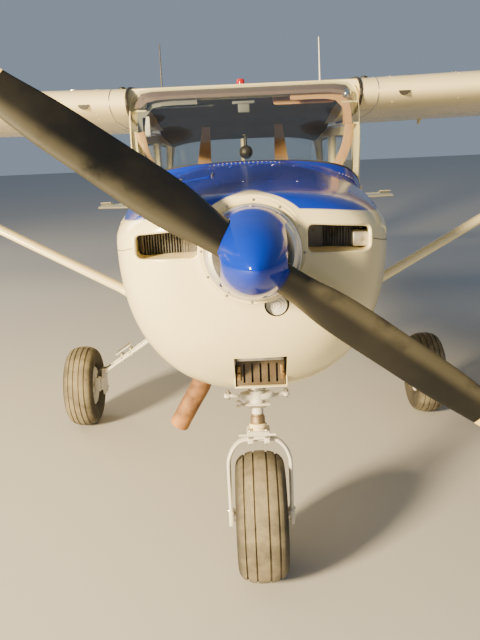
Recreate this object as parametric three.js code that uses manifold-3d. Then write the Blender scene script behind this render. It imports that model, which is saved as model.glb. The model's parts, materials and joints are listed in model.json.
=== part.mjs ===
// Two-seat high-wing light aircraft with tricycle gear, parked on its wheels.
// Millimetres, +Z up, nose towards -Y. Stations (y) are counted aft from the main-wheel axle;
// the whole group is then shifted so that its origin lies under the middle of the overall length.
import * as THREE from 'three';
import { mergeVertices } from 'three/addons/utils/BufferGeometryUtils.js';
import Module from 'manifold-3d';

const wasm = await Module();
wasm.setup();

// Overall sizes
const NOSE_TIP_Y = -2270;
const TAIL_END_Y = 4310;
const MIDDLE_Y = (NOSE_TIP_Y + TAIL_END_Y) / 2;
const HALF_SPAN = 5050;
const SEAM = 0.3;          // gap between two fixed panels that touch
const RUNNING_GAP = 6;     // gap round everything that moves
const SIDES = [['left', 1], ['right', -1]];

// Fuselage skin. Each row is one cross section, in millimetres:
// y station, half width, height of the widest line, top, bottom, and how square it is above and below
const HULL_COLUMNS = ['y', 'half', 'wide', 'top', 'bottom', 'crown', 'bilge'];
const HULL_ROWS = [
  [-2003, 144, 1275, 1419, 1131, 2.0, 2.0],
  [-1988, 226, 1276, 1421, 1062, 2.1, 2.1],
  [-1955, 304, 1279, 1423, 985, 2.2, 2.2],
  [-1890, 362, 1283, 1426, 905, 2.2, 2.3],
  [-1810, 392, 1287, 1430, 842, 2.2, 2.4],
  [-1720, 405, 1290, 1434, 806, 2.2, 2.4],
  [-1450, 434, 1282, 1448, 790, 2.3, 2.5],
  [-1190, 452, 1240, 1460, 780, 2.4, 2.7],
  [-1000, 455, 1200, 1468, 765, 2.5, 3.0],
  [-900, 459, 1180, 1570, 757, 2.8, 3.4],
  [-800, 466, 1165, 1662, 750, 4.6, 3.8],
  [-700, 488, 1150, 1738, 745, 10, 4.2],
  [-600, 498, 1140, 1784, 741, 18, 4.5],
  [-400, 499, 1130, 1815, 738, 18, 4.5],
  [-190, 499, 1125, 1821, 737, 16, 4.5],
  [135, 499, 1120, 1790, 737, 12, 4.5],
  [460, 494, 1115, 1736, 740, 7.0, 4.2],
  [790, 468, 1105, 1662, 746, 5.0, 3.8],
  [1100, 425, 1085, 1510, 756, 3.4, 3.4],
  [1400, 376, 1060, 1330, 768, 2.7, 3.0],
  [2300, 250, 1010, 1205, 800, 2.3, 2.6],
  [3200, 128, 950, 1075, 828, 2.2, 2.3],
  [3900, 42, 905, 985, 846, 2.2, 2.2],
];
const HULL = HULL_ROWS.map((row) => Object.fromEntries(HULL_COLUMNS.map((name, i) => [name, row[i]])));
const BOWL_FRONT_Y = -2003;
const BOWL_REAR_Y = -1720;
const FIREWALL_Y = -1190;
const COWL_SPLIT_Z = 1258;
const COWL_WALL = 6;
const CABIN_WALL = 30;
const REAR_WALL = 16;
const TAIL_WALL = 10;
const TAIL_BAY_END_Y = 3700;
const GLASS = 7;
const BOOT_REAR_Y = -800;
const FLOOR_SEAM_Z = 845;
const FLOOR_TOP_Z = 800;
const ROOF_SEAM_Z = 1604;
const CABIN_REAR_Y = 700;
const CABIN_END_Y = 1400;
const TAIL_CONE_END_Y = 3900;

// Side-view outlines of the cabin openings, each a convex list of [y, z]
const WINDSHIELD_OUTLINE = [[-1100, 1532], [-800, 1330], [-600, 1784], [-500, 2000], [-1100, 2000]];
const DOOR_OUTLINE = [[-620, 862], [-620, 1380], [-588, 1598], [245, 1598], [245, 1180], [150, 862]];
const DOOR_WINDOW = [[-584, 1262], [-548, 1552], [196, 1552], [196, 1262]];
const SIDE_WINDOW = [[296, 1272], [296, 1552], [640, 1530], [668, 1272]];
const REAR_WINDOW = [[735, 1325], [765, 1590], [868, 1900], [1100, 1900], [1345, 1325]];
const WINDOW_CORNER = 45;

// Wing: a cambered section of ten per cent with a flat top, drawn as fractions of the chord
const ROOF_DEPTH = 26;         // the roof's extra depth over the headroom
const WING_ROOT_X = 500;
const WING_BREAK_X = 2540;
const WING_TIP_X = 4930;
const WING_ROOT_LE_Y = -680;
const WING_ROOT_LE_Z = 1725;
const WING_ROOT_CHORD = 1630;
const WING_TIP_CHORD = 1120;
const WING_TIP_LE_Y = -560;
const WING_DROOP = 0.0644;     // fall of the chord line per unit of chord
const DIHEDRAL = Math.tan(THREE.MathUtils.degToRad(1));
const WING_SECTION_COLUMNS = ['along', 'above', 'below'];
const WING_SECTION = [
  [0, 0, 0],
  [0.0125, 0.0215, 0.0165],
  [0.05, 0.0398, 0.0301],
  [0.12, 0.0496, 0.0392],
  [0.2, 0.0575, 0.0406],
  [0.3, 0.0625, 0.0412],
  [0.5, 0.0612, 0.0334],
  [0.7, 0.0518, 0.0214],
  [0.85, 0.0293, 0.0116],
  [1, 0.0018, 0.0018],
].map((row) => Object.fromEntries(WING_SECTION_COLUMNS.map((name, i) => [name, row[i]])));
const FLAP = { inner: 545, outer: 2505, cutY: 560, hingeY: 600, hingeDrop: 18, arms: [1057, 2200] };
const AILERON = {
  inner: 2560, outer: 4700, chord: 290, noseSlant: 26, lugs: [3000, 4300], lugWidth: 16, lugGap: 0.8,
};

// Wing strut
const STRUT = { lower: [430, -703, 845], upper: [2060, -330, 1643], chord: 100, thickness: 34 };

// Tail
const STAB = { z: 930, half: 1525, rootLe: 3255, tipLe: 3470, hinge: 3800, thick: 44 };
const ELEVATOR = { inner: 125, rootTe: 4095, tipTe: 4040, droop: 15, hornInner: 1430, hornLe: 3650 };
const FIN = { baseZ: 1000, topZ: 2085, rootLe: 3230, topLe: 3655, hinge: 3945, thick: 52 };
const RUDDER = { lugHeights: [1160, 1850], bottomZ: 838, rootTe: TAIL_END_Y, topTe: 4262 };

// Propeller and spinner
const THRUST_Z = 1275;
const BLADE_PLANE_Y = -2105;
const BLADE_REACH = 876;
const BLADE_TILT = THREE.MathUtils.degToRad(-36);
const SPINNER_REAR_Y = -2012;
const SPINNER_RADIUS = 119;

// Landing gear
const MAIN = { trackX: 972, radius: 225, width: 165, axleZ: 225 };
const NOSE = { axleY: -1500, radius: 232, width: 182, axleZ: 232, crownZ: 512, crownY: -1476 };
const STEP = { x: 712, y: 20, long: 104, deep: 84, thick: 5, stand: 26 };
const NOSE_RAKE = THREE.MathUtils.degToRad(12);
const RIM = { radius: 92, flange: 108, bore: 20 };
const AXLE_RADIUS = 19.5;

// Colours and finishes
const PAINT = { white: 0xe9e6d8, blue: 0x0f4fb4 };
const finish = (color, roughness, metalness = 0) => (
  new THREE.MeshStandardMaterial({ color, roughness, metalness }));
const whitePaint = () => finish(PAINT.white, 0.3);
const bluePaint = () => finish(PAINT.blue, 0.22);
const blackMetal = () => finish(0x1c1c1e, 0.45, 0.5);
const bareMetal = () => finish(0xb9bcc0, 0.3, 1);
const rustyMetal = () => finish(0x9a6b45, 0.8, 0.4);
const rubber = () => finish(0x5b5348, 0.95);
const tanTrim = () => finish(0xb08a5a, 0.8);
const clearGlass = () => (
  new THREE.MeshStandardMaterial({ color: 0xdfeef2, roughness: 0.05, transparent: true, opacity: 0.3 }));

const aircraft = new THREE.Group();
aircraft.name = 'light_aircraft';
aircraft.position.y = -MIDDLE_Y;

// Turns a closed geometry into a solid that can be cut, with its faces pointing out
function solid(geometry) {
  const bare = geometry.clone();
  for (const name of Object.keys(bare.attributes)) {
    if (name !== 'position') bare.deleteAttribute(name);
  }
  const merged = mergeVertices(bare, 1e-3);
  const position = merged.attributes.position;
  const triVerts = new Uint32Array(merged.index.array);
  const corner = (i) => new THREE.Vector3().fromBufferAttribute(position, triVerts[i]);
  let volume = 0;
  for (let t = 0; t < triVerts.length; t += 3) volume += corner(t).dot(corner(t + 1).cross(corner(t + 2)));
  if (volume < 0) triVerts.reverse();
  const vertProperties = new Float32Array(position.array);
  return new wasm.Manifold(new wasm.Mesh({ numProp: 3, vertProperties, triVerts }));
}

function toGeometry(body) {
  const mesh = body.getMesh();
  const geometry = new THREE.BufferGeometry();
  geometry.setAttribute('position', new THREE.BufferAttribute(new Float32Array(mesh.vertProperties), 3));
  geometry.setIndex(new THREE.BufferAttribute(new Uint32Array(mesh.triVerts), 1));
  geometry.computeVertexNormals();
  return geometry;
}

// Adds one named sub-part to a group
function piece(name, body, material, group = aircraft) {
  const mesh = new THREE.Mesh(toGeometry(body), material);
  mesh.name = name;
  group.add(mesh);
  return mesh;
}

// Closed skin over a row of rings that all have the same number of points
function loft(rings) {
  const count = rings[0].length;
  const positions = rings.flat().flatMap((p) => [p.x, p.y, p.z]);
  const index = [];
  for (let r = 0; r + 1 < rings.length; r++) {
    for (let i = 0; i < count; i++) {
      const a = r * count + i;
      const b = r * count + ((i + 1) % count);
      index.push(a, b, a + count, b, b + count, a + count);
    }
  }
  const ends = [[rings[0], 0, true], [rings.at(-1), (rings.length - 1) * count, false]];
  for (const [ring, first, flip] of ends) {
    const centre = ring.reduce((sum, p) => sum.add(p), new THREE.Vector3()).divideScalar(count);
    const hub = positions.length / 3;
    positions.push(centre.x, centre.y, centre.z);
    for (let i = 0; i < count; i++) {
      const a = first + i;
      const b = first + ((i + 1) % count);
      index.push(...(flip ? [hub, b, a] : [hub, a, b]));
    }
  }
  const geometry = new THREE.BufferGeometry();
  geometry.setAttribute('position', new THREE.Float32BufferAttribute(positions, 3));
  geometry.setIndex(index);
  return solid(geometry);
}

// Straight prism on an outline: [y, z] pairs along x, [x, z] pairs along y, [x, y] pairs along z
function prism(axis, outline, from, to) {
  const flat = axis === 'y' ? outline.map(([x, z]) => [z, x]) : outline;
  const shape = new THREE.Shape(flat.map(([u, v]) => new THREE.Vector2(u, v)));
  const geometry = new THREE.ExtrudeGeometry(shape, { depth: to - from, bevelEnabled: false });
  geometry.translate(0, 0, from);
  const [X, Y, Z] = [[1, 0, 0], [0, 1, 0], [0, 0, 1]].map((v) => new THREE.Vector3(...v));
  const turn = { x: [Y, Z, X], y: [Z, X, Y], z: [X, Y, Z] }[axis];
  geometry.applyMatrix4(new THREE.Matrix4().makeBasis(...turn));
  return solid(geometry);
}

function block([x0, x1], [y0, y1], [z0, z1]) {
  return prism('z', [[x0, y0], [x1, y0], [x1, y1], [x0, y1]], z0, z1);
}

// Solid of revolution about a line along x or y through a centre; profile rows are [radius, along]
function spun(axis, profile, centre, segments = 28) {
  const geometry = new THREE.LatheGeometry(profile.map(([r, a]) => new THREE.Vector2(r, a)), segments);
  if (axis === 'x') geometry.rotateZ(-Math.PI / 2);
  if (axis === 'z') geometry.rotateX(Math.PI / 2);
  geometry.translate(...centre);
  return solid(geometry);
}

// Round rod between two points
function rod(from, to, radius, endRadius = radius, sides = 12) {
  const start = new THREE.Vector3(...from);
  const end = new THREE.Vector3(...to);
  const geometry = new THREE.CylinderGeometry(endRadius, radius, start.distanceTo(end), sides);
  const up = new THREE.Vector3(0, 1, 0);
  const lay = new THREE.Quaternion().setFromUnitVectors(up, end.clone().sub(start).normalize());
  geometry.applyQuaternion(lay);
  geometry.translate(...start.add(end).multiplyScalar(0.5).toArray());
  return solid(geometry);
}

const union = (bodies) => bodies.reduce((sum, body) => sum.add(body));
const mirrored = (point, side) => [point[0] * side, point[1], point[2]];

// Moves every edge of a convex outline inwards (outwards when the distance is negative)
function shrink(outline, distance) {
  const points = outline.map(([u, v]) => new THREE.Vector2(u, v));
  const inward = THREE.ShapeUtils.area(points) > 0 ? 1 : -1;
  const edges = points.map((p, i) => {
    const along = points[(i + 1) % points.length].clone().sub(p).normalize();
    const start = p.clone().add(new THREE.Vector2(-along.y, along.x).multiplyScalar(inward * distance));
    return { start, along };
  });
  return edges.map((edge, i) => {
    const before = edges[(i + edges.length - 1) % edges.length];
    const gap = edge.start.clone().sub(before.start);
    const reach = gap.cross(edge.along) / before.along.cross(edge.along);
    const corner = before.start.clone().add(before.along.clone().multiplyScalar(reach));
    return [corner.x, corner.y];
  });
}

// Rounds every corner of an outline
function rounded(outline, radius, steps = 3) {
  const points = outline.map(([u, v]) => new THREE.Vector2(u, v));
  return points.flatMap((corner, i) => {
    const before = points[(i + points.length - 1) % points.length];
    const after = points[(i + 1) % points.length];
    const leave = corner.clone().add(before.clone().sub(corner).setLength(radius));
    const join = corner.clone().add(after.clone().sub(corner).setLength(radius));
    const bend = new THREE.QuadraticBezierCurve(leave, corner, join);
    return bend.getPoints(steps).map((p) => [p.x, p.y]);
  });
}

// Cross section of the fuselage at any station, between the rows of the table
function hullAt(y) {
  const next = HULL.findIndex((row) => row.y >= y);
  if (next <= 0) return { ...HULL[next === 0 ? 0 : HULL.length - 1], y };
  const [a, b] = [HULL[next - 1], HULL[next]];
  const part = (y - a.y) / (b.y - a.y);
  return Object.fromEntries(HULL_COLUMNS.map((name) => [name, THREE.MathUtils.lerp(a[name], b[name], part)]));
}

function hullRing(row, inset, count = 24) {
  return Array.from({ length: count }, (_, i) => {
    const turn = (i / count) * Math.PI * 2;
    const [across, up] = [Math.cos(turn), Math.sin(turn)];
    const power = 2 / (up >= 0 ? row.crown : row.bilge);
    const reach = up >= 0 ? row.top - row.wide : row.wide - row.bottom;
    const x = Math.sign(across) * (row.half - inset) * Math.abs(across) ** power;
    const z = row.wide + Math.sign(up) * (reach - inset) * Math.abs(up) ** power;
    return new THREE.Vector3(x, row.y, z);
  });
}

// Solid between two stations under the skin, shrunk by an inset
function hullSlice(from, to, inset = 0) {
  const inner = HULL.filter((row) => row.y > from + 1 && row.y < to - 1);
  const rows = [hullAt(from), ...inner, hullAt(to)];
  return loft(rows.map((row) => hullRing(row, inset)));
}

// Open-ended skin of a given wall between two stations
function hullShell(from, to, wall) {
  const over = 1;
  const first = { ...hullAt(from), y: from - over };
  const last = { ...hullAt(to), y: to + over };
  const inner = HULL.filter((row) => row.y > from + over && row.y < to - over);
  const core = loft([first, ...inner, last].map((row) => hullRing(row, wall)));
  return hullSlice(from, to).subtract(core);
}

// Nose cowl: bowl, upper and lower halves
const INLET = { inner: 151, outer: 322, low: 1246, highInner: 1334, highOuter: 1320, corner: 20 };
const inletOutline = (side) => rounded([
  [side * INLET.inner, INLET.low],
  [side * INLET.outer, INLET.low],
  [side * INLET.outer, INLET.highOuter],
  [side * INLET.inner, INLET.highInner]], INLET.corner);
const COLLAR_OPENING = 118;
const FILTER = { x: 10, z: 908, width: 142, height: 86, frontY: -1866, depth: 128, gap: 2 };
const FILTER_SLOTS = { count: 5, pitch: 25, width: 7, low: 872, high: 930, depth: 30 };
const STARTER = { x: 57, z: 1134, hole: 33, nose: 26, frontY: -1972 };
const EXHAUST = { x: -174, y: -1600, radius: 32, bore: 28, hole: 48 };
const NOSE_LEG_HOLE = { half: 75, from: -1480 };
const DUCT_RADIUS = 30;

function makeCowl() {
  const ahead = -2100;
  let bowl = hullShell(BOWL_FRONT_Y, BOWL_REAR_Y - SEAM, COWL_WALL);
  const face = hullSlice(BOWL_FRONT_Y, BOWL_FRONT_Y + COWL_WALL);
  const collar = rod([0, ahead, THRUST_Z], [0, -1900, THRUST_Z], COLLAR_OPENING, COLLAR_OPENING, 32);
  bowl = bowl.add(face).subtract(collar);
  for (const [, side] of SIDES) bowl = bowl.subtract(prism('y', inletOutline(side), ahead, -1800));
  const [w, h] = [FILTER.width / 2 + FILTER.gap, FILTER.height / 2 + FILTER.gap];
  bowl = bowl.subtract(block([FILTER.x - w, FILTER.x + w], [ahead, -1740], [FILTER.z - h, FILTER.z + h]));
  const starterHole = rod([STARTER.x, ahead, STARTER.z], [STARTER.x, -1900, STARTER.z], STARTER.hole);
  piece('nose_bowl', bowl.subtract(starterHole), whitePaint());

  const shell = hullShell(BOWL_REAR_Y, FIREWALL_Y - SEAM, COWL_WALL);
  const wide = [-700, 700];
  const long = [-1800, -1100];
  const upper = shell.intersect(block(wide, long, [COWL_SPLIT_Z + SEAM, 1700]));
  piece('cowl_top', upper, bluePaint());
  const legHole = block([-NOSE_LEG_HOLE.half, NOSE_LEG_HOLE.half], [NOSE_LEG_HOLE.from, -1100], [600, 900]);
  const { x: pipeX, y: pipeY, hole } = EXHAUST;
  const pipeHole = rod([pipeX, pipeY, 900], [pipeX, pipeY, 700], hole, hole, 16);
  const lower = shell.intersect(block(wide, long, [500, COWL_SPLIT_Z]));
  piece('cowl_bottom', lower.subtract(legHole).subtract(pipeHole), whitePaint());
}

// Engine block with its two banks of finned cylinders, sump, starter and crankshaft flange
const ENGINE = {
  front: -1872, rear: -1245, caseHalf: 190, caseLow: 1085, caseHigh: 1356,
  bankFront: -1850, bankRear: -1300, bankHalf: 325, bankLow: 1120, bankHigh: 1340,
  headHalf: 345, headHigh: 1290, sumpLow: 930,
};
const FINS = { count: 9, first: 178, pitch: 15, width: 5, proud: 14, low: 1168, high: 1332 };

function makePowerplant() {
  const crankcase = block([-ENGINE.caseHalf, ENGINE.caseHalf], [ENGINE.front, ENGINE.rear],
    [ENGINE.caseLow, ENGINE.caseHigh]);
  const bankLength = [ENGINE.bankFront, ENGINE.bankRear];
  const banks = block([-ENGINE.bankHalf, ENGINE.bankHalf], bankLength, [ENGINE.bankLow, ENGINE.bankHigh])
    .add(block([-ENGINE.headHalf, ENGINE.headHalf], bankLength, [ENGINE.bankLow, ENGINE.headHigh]));
  const flange = rod([0, -2014.7, THRUST_Z], [0, ENGINE.front + 5, THRUST_Z], 62, 62, 20);
  const sump = block([-125, 170], [-1735, -1330], [ENGINE.sumpLow, ENGINE.caseLow + 5]);
  const mounts = [-150, 150].map((x) =>
    block([x - 18, x + 18], [ENGINE.rear - 5, FIREWALL_Y - SEAM], [1180, 1230]));
  const starter = rod([STARTER.x, STARTER.frontY, STARTER.z], [STARTER.x, ENGINE.front + 5, STARTER.z],
    STARTER.nose);
  const fins = SIDES.flatMap(([, side]) => Array.from({ length: FINS.count }, (_, i) => {
    const x = side * (FINS.first + 15 + i * FINS.pitch);
    return block([x - FINS.width / 2, x + FINS.width / 2],
      [ENGINE.bankFront - FINS.proud, ENGINE.bankFront + 5], [FINS.low, FINS.high]);
  }));
  piece('engine', union([crankcase, banks, flange, sump, starter, ...mounts, ...fins]), blackMetal());
  piece('firewall', hullSlice(FIREWALL_Y, FIREWALL_Y + 8, CABIN_WALL + 2 * SEAM), bareMetal());

  const [w, h] = [FILTER.width / 2, FILTER.height / 2];
  const rearY = FILTER.frontY + FILTER.depth;
  const box = block([FILTER.x - w, FILTER.x + w], [FILTER.frontY, rearY], [FILTER.z - h, FILTER.z + h]);
  const slots = Array.from({ length: FILTER_SLOTS.count }, (_, i) => {
    const x = FILTER.x + (i - (FILTER_SLOTS.count - 1) / 2) * FILTER_SLOTS.pitch;
    return block([x - FILTER_SLOTS.width / 2, x + FILTER_SLOTS.width / 2],
      [FILTER.frontY - 1, FILTER.frontY + FILTER_SLOTS.depth], [FILTER_SLOTS.low, FILTER_SLOTS.high]);
  });
  const riserLow = FILTER.z - DUCT_RADIUS;
  const duct = rod([FILTER.x, rearY - 5, FILTER.z - 10], [FILTER.x, -1650, FILTER.z - 10], DUCT_RADIUS);
  const riser = rod([FILTER.x, -1650, riserLow], [FILTER.x, -1650, ENGINE.sumpLow - SEAM], DUCT_RADIUS);
  const filter = union([box, duct, riser]).subtract(union(slots));
  piece('air_filter', filter, finish(0x8a7358, 0.7, 0.3));

  const { x, y, radius } = EXHAUST;
  const stack = rod([x, y, ENGINE.caseLow - SEAM], [x, y, 825], radius);
  const knee = rod([x, y, 830], [x - 4, y + 2, 770], radius);
  const tail = rod([x - 4, y + 2, 790], [x - 92, y + 25, 632], radius);
  const bore = rod([x - 45.2, y + 12.8, 716], [x - 100.9, y + 27.3, 616], EXHAUST.bore);
  piece('exhaust_pipe', union([stack, knee, tail]).subtract(bore), rustyMetal());
}

// Cabin: panels are cut out of one skin
function makeCabin() {
  const far = [-700, 700];
  const skin = hullShell(FIREWALL_Y, CABIN_END_Y, CABIN_WALL);
  const windshieldHole = prism('x', WINDSHIELD_OUTLINE, -700, 700);
  const rearHole = prism('x', rounded(REAR_WINDOW, 40), -700, 700);
  const boot = skin.intersect(block(far, [FIREWALL_Y, BOOT_REAR_Y - SEAM], [600, 2000]));
  piece('boot_cowl', boot.subtract(windshieldHole), bluePaint());
  const floorRange = block(far, [BOOT_REAR_Y, CABIN_REAR_Y - SEAM], [600, FLOOR_SEAM_Z]);
  const board = hullSlice(BOOT_REAR_Y, CABIN_REAR_Y - SEAM, CABIN_WALL - 1)
    .intersect(block(far, [-900, 900], [600, FLOOR_TOP_Z]));
  const floor = skin.intersect(floorRange).add(board);
  piece('cabin_floor', floor, whitePaint());
  for (const [name, side] of SIDES) {
    const half = side > 0 ? [0, 700] : [-700, 0];
    const doorHole = prism('x', rounded(DOOR_OUTLINE, 40), ...half);
    const windowHole = prism('x', rounded(SIDE_WINDOW, WINDOW_CORNER), ...half);
    const wall = skin.intersect(block(half, [BOOT_REAR_Y, CABIN_REAR_Y - SEAM],
      [FLOOR_SEAM_Z + SEAM, ROOF_SEAM_Z]));
    const leaves = DOOR_HINGE.heights.map((z) => hingeLeaf(side, -1, z - DOOR_HINGE.length, z - SEAM / 2));
    const panel = wall.subtract(windshieldHole).subtract(doorHole).subtract(windowHole);
    piece(`cabin_side_${name}`, union([panel, ...leaves]), whitePaint());
    const glassSkin = hullShell(BOOT_REAR_Y, CABIN_REAR_Y, GLASS);
    const pane = prism('x', rounded(shrink(SIDE_WINDOW, SEAM), WINDOW_CORNER), ...half);
    piece(`side_window_${name}`, glassSkin.intersect(pane), clearGlass());
  }
  const glassSkin = hullShell(FIREWALL_Y, CABIN_END_Y, GLASS);
  const screen = glassSkin.intersect(prism('x', shrink(WINDSHIELD_OUTLINE, SEAM), -700, 700));
  piece('windshield', screen, clearGlass());
  const rear = hullShell(CABIN_REAR_Y, CABIN_END_Y - SEAM, REAR_WALL)
    .intersect(block(far, [CABIN_REAR_Y, CABIN_END_Y], [600, ROOF_SEAM_Z]));
  piece('cabin_rear', rear.subtract(rearHole), whitePaint());
  piece('rear_window', glassSkin.intersect(prism('x', rounded(shrink(REAR_WINDOW, SEAM), 40), -700, 700))
    .intersect(block(far, [CABIN_REAR_Y, CABIN_END_Y], [1000, ROOF_SEAM_Z - SEAM])), clearGlass());
  const roofBox = wingSlice(-WING_ROOT_X + SEAM, WING_ROOT_X - SEAM)
    .intersect(block(far, [-700, CABIN_REAR_Y + 230], [ROOF_SEAM_Z + SEAM, 2000]));
  const headroom = hullSlice(-900, CABIN_REAR_Y + 60, CABIN_WALL + ROOF_DEPTH);
  piece('cabin_roof', roofBox.subtract(windshieldHole).subtract(headroom), whitePaint());
  piece('tail_cone', tailCone(), whitePaint());
}

function tailCone() {
  const cone = hullSlice(CABIN_END_Y, TAIL_CONE_END_Y);
  const hollow = hullSlice(CABIN_END_Y - 1, TAIL_BAY_END_Y, TAIL_WALL);
  const tubeHole = rod([-200, STAB.hinge, STAB.z], [200, STAB.hinge, STAB.z], 17, 17, 16);
  const stabSlot = block([-400, 400], [STAB.rootLe - 15, STAB.hinge - 21],
    [STAB.z - STAB.thick / 2 - SEAM, STAB.z + STAB.thick / 2 + SEAM]);
  const ring = block([-5, 5], [3760, 3800], [812, 862]);
  return cone.subtract(hollow).subtract(tubeHole).subtract(stabSlot).add(ring);
}

// Doors hang at their front edge; the window is cut and glazed
const DOOR_HINGE = { x: 503, y: -628, knuckle: 5.5, heights: [960, 1290], length: 40 };

// One hinge leaf on the skin; way is -1 ahead of the hinge line and +1 behind it
function hingeLeaf(side, way, fromZ, toZ) {
  const { x, y, knuckle } = DOOR_HINGE;
  const across = (a, b) => (side > 0 ? [a, b] : [-b, -a]);
  const along = (a, b) => (way > 0 ? [y + a, y + b] : [y - b, y - a]);
  const pin = rod([side * x, y, fromZ], [side * x, y, toZ], knuckle);
  const strap = block(across(x - 5.5, x - 2), along(0, 34), [fromZ, toZ]);
  const foot = block(across(x - 18, x - 2), along(16, 34), [fromZ, toZ]);
  return union([pin, strap, foot]);
}

function makeDoors() {
  const skin = hullShell(-900, 400, CABIN_WALL);
  const glassSkin = hullShell(-900, 400, GLASS);
  for (const [name, side] of SIDES) {
    const half = side > 0 ? [0, 700] : [-700, 0];
    const leaf = prism('x', rounded(shrink(DOOR_OUTLINE, RUNNING_GAP), 36), ...half);
    const opening = prism('x', rounded(DOOR_WINDOW, WINDOW_CORNER), ...half);
    const leaves = DOOR_HINGE.heights.map((z) => hingeLeaf(side, 1, z + SEAM / 2, z + DOOR_HINGE.length));
    piece(`door_${name}`, union([skin.intersect(leaf).subtract(opening), ...leaves]), whitePaint());
    const pane = prism('x', rounded(shrink(DOOR_WINDOW, SEAM), WINDOW_CORNER), ...half);
    piece(`door_window_${name}`, glassSkin.intersect(pane), clearGlass());
  }
}

// Wing section ring at a span station, leading edge first, over the top and back underneath
function wingRing(x, leY, leZ, chord) {
  const upper = WING_SECTION.map((row) => [row.along, row.above]);
  const lower = WING_SECTION.slice(1).reverse().map((row) => [row.along, -row.below]);
  return [...upper, ...lower].map(([along, off]) => new THREE.Vector3(
    x, leY + along * chord, leZ - along * chord * WING_DROOP + off * chord));
}

function wingStation(x) {
  const out = Math.abs(x);
  const part = THREE.MathUtils.clamp((out - WING_BREAK_X) / (WING_TIP_X - WING_BREAK_X), 0, 1);
  return {
    leY: THREE.MathUtils.lerp(WING_ROOT_LE_Y, WING_TIP_LE_Y, part),
    leZ: WING_ROOT_LE_Z + Math.max(0, out - WING_ROOT_X) * DIHEDRAL,
    chord: THREE.MathUtils.lerp(WING_ROOT_CHORD, WING_TIP_CHORD, part),
  };
}

// Height of one face of the wing section above its chord line, as a fraction of the chord
function wingFace(face, along) {
  const next = Math.max(1, WING_SECTION.findIndex((row) => row.along >= along));
  const [a, b] = [WING_SECTION[next - 1], WING_SECTION[next]];
  return THREE.MathUtils.lerp(a[face], b[face], (along - a.along) / (b.along - a.along));
}

// Ring round the rear part of the wing section; its nose slants aft from the top skin down
function movableRing(x, depth, noseSlant) {
  const { leY, leZ, chord } = wingStation(x);
  const top = 1 - depth / chord;
  const low = top + noseSlant / chord;
  const stops = [top, (2 * top + 1) / 3, 1];
  const over = stops.map((along) => [along, wingFace('above', along)]);
  const under = [1, (2 * low + 1) / 3, low].map((along) => [along, -wingFace('below', along)]);
  return [...over, ...under].map(([along, off]) => new THREE.Vector3(
    x, leY + along * chord, leZ - along * chord * WING_DROOP + off * chord));
}

// Wing between two span stations
function wingSlice(from, to, lift = 0) {
  const breaks = [WING_BREAK_X, -WING_BREAK_X].filter((x) => x > from && x < to);
  const stops = [from, ...breaks, to].sort((a, b) => a - b);
  return loft(stops.map((x) => {
    const { leY, leZ, chord } = wingStation(x);
    return wingRing(x, leY, leZ + lift, chord);
  }));
}

// Bracket plate under the wing (or on the flap) that meets its twin at the flap's hinge line
function flapArm(side, x, onFlap) {
  const { leY, leZ, chord } = wingStation(x);
  const { hingeY, cutY } = FLAP;
  const along = (hingeY - leY) / chord;
  const low = leZ - along * chord * WING_DROOP - wingFace('below', along) * chord;
  const pinZ = low - FLAP.hingeDrop;
  const movingOutline = [[hingeY - 12, low + 6], [hingeY + 60, low + 6], [hingeY + 10, pinZ - 8],
    [hingeY - 8, pinZ - 8]];
  const fixedOutline = [[cutY - 80, low + 8], [cutY - 8, low + 8], [cutY, low - 6], [hingeY + 12, pinZ + 7],
    [hingeY + 12, pinZ - 8], [hingeY - 10, pinZ - 10]];
  const [near, far] = onFlap ? [SEAM, 6] : [-6, -SEAM];
  const range = side > 0 ? [x + near, x + far] : [-x - far, -x - near];
  return prism('x', onFlap ? movingOutline : fixedOutline, ...range);
}

// Lugs on the wing's rear face that reach into notches in the aileron's nose
function aileronLugs(side, gap) {
  return AILERON.lugs.map((x) => {
    const { leY, leZ, chord } = wingStation(x);
    const faceY = leY + chord - AILERON.chord;
    const along = 1 - AILERON.chord / chord;
    const top = leZ - along * chord * WING_DROOP + wingFace('above', along) * chord;
    const half = AILERON.lugWidth / 2 + gap;
    return block([side * x - half, side * x + half], [faceY - 3 - 5 * gap, faceY + 14 + 8 * gap],
      [top - 18 - 60 * gap, top - 4 + 20 * gap]);
  });
}

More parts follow.
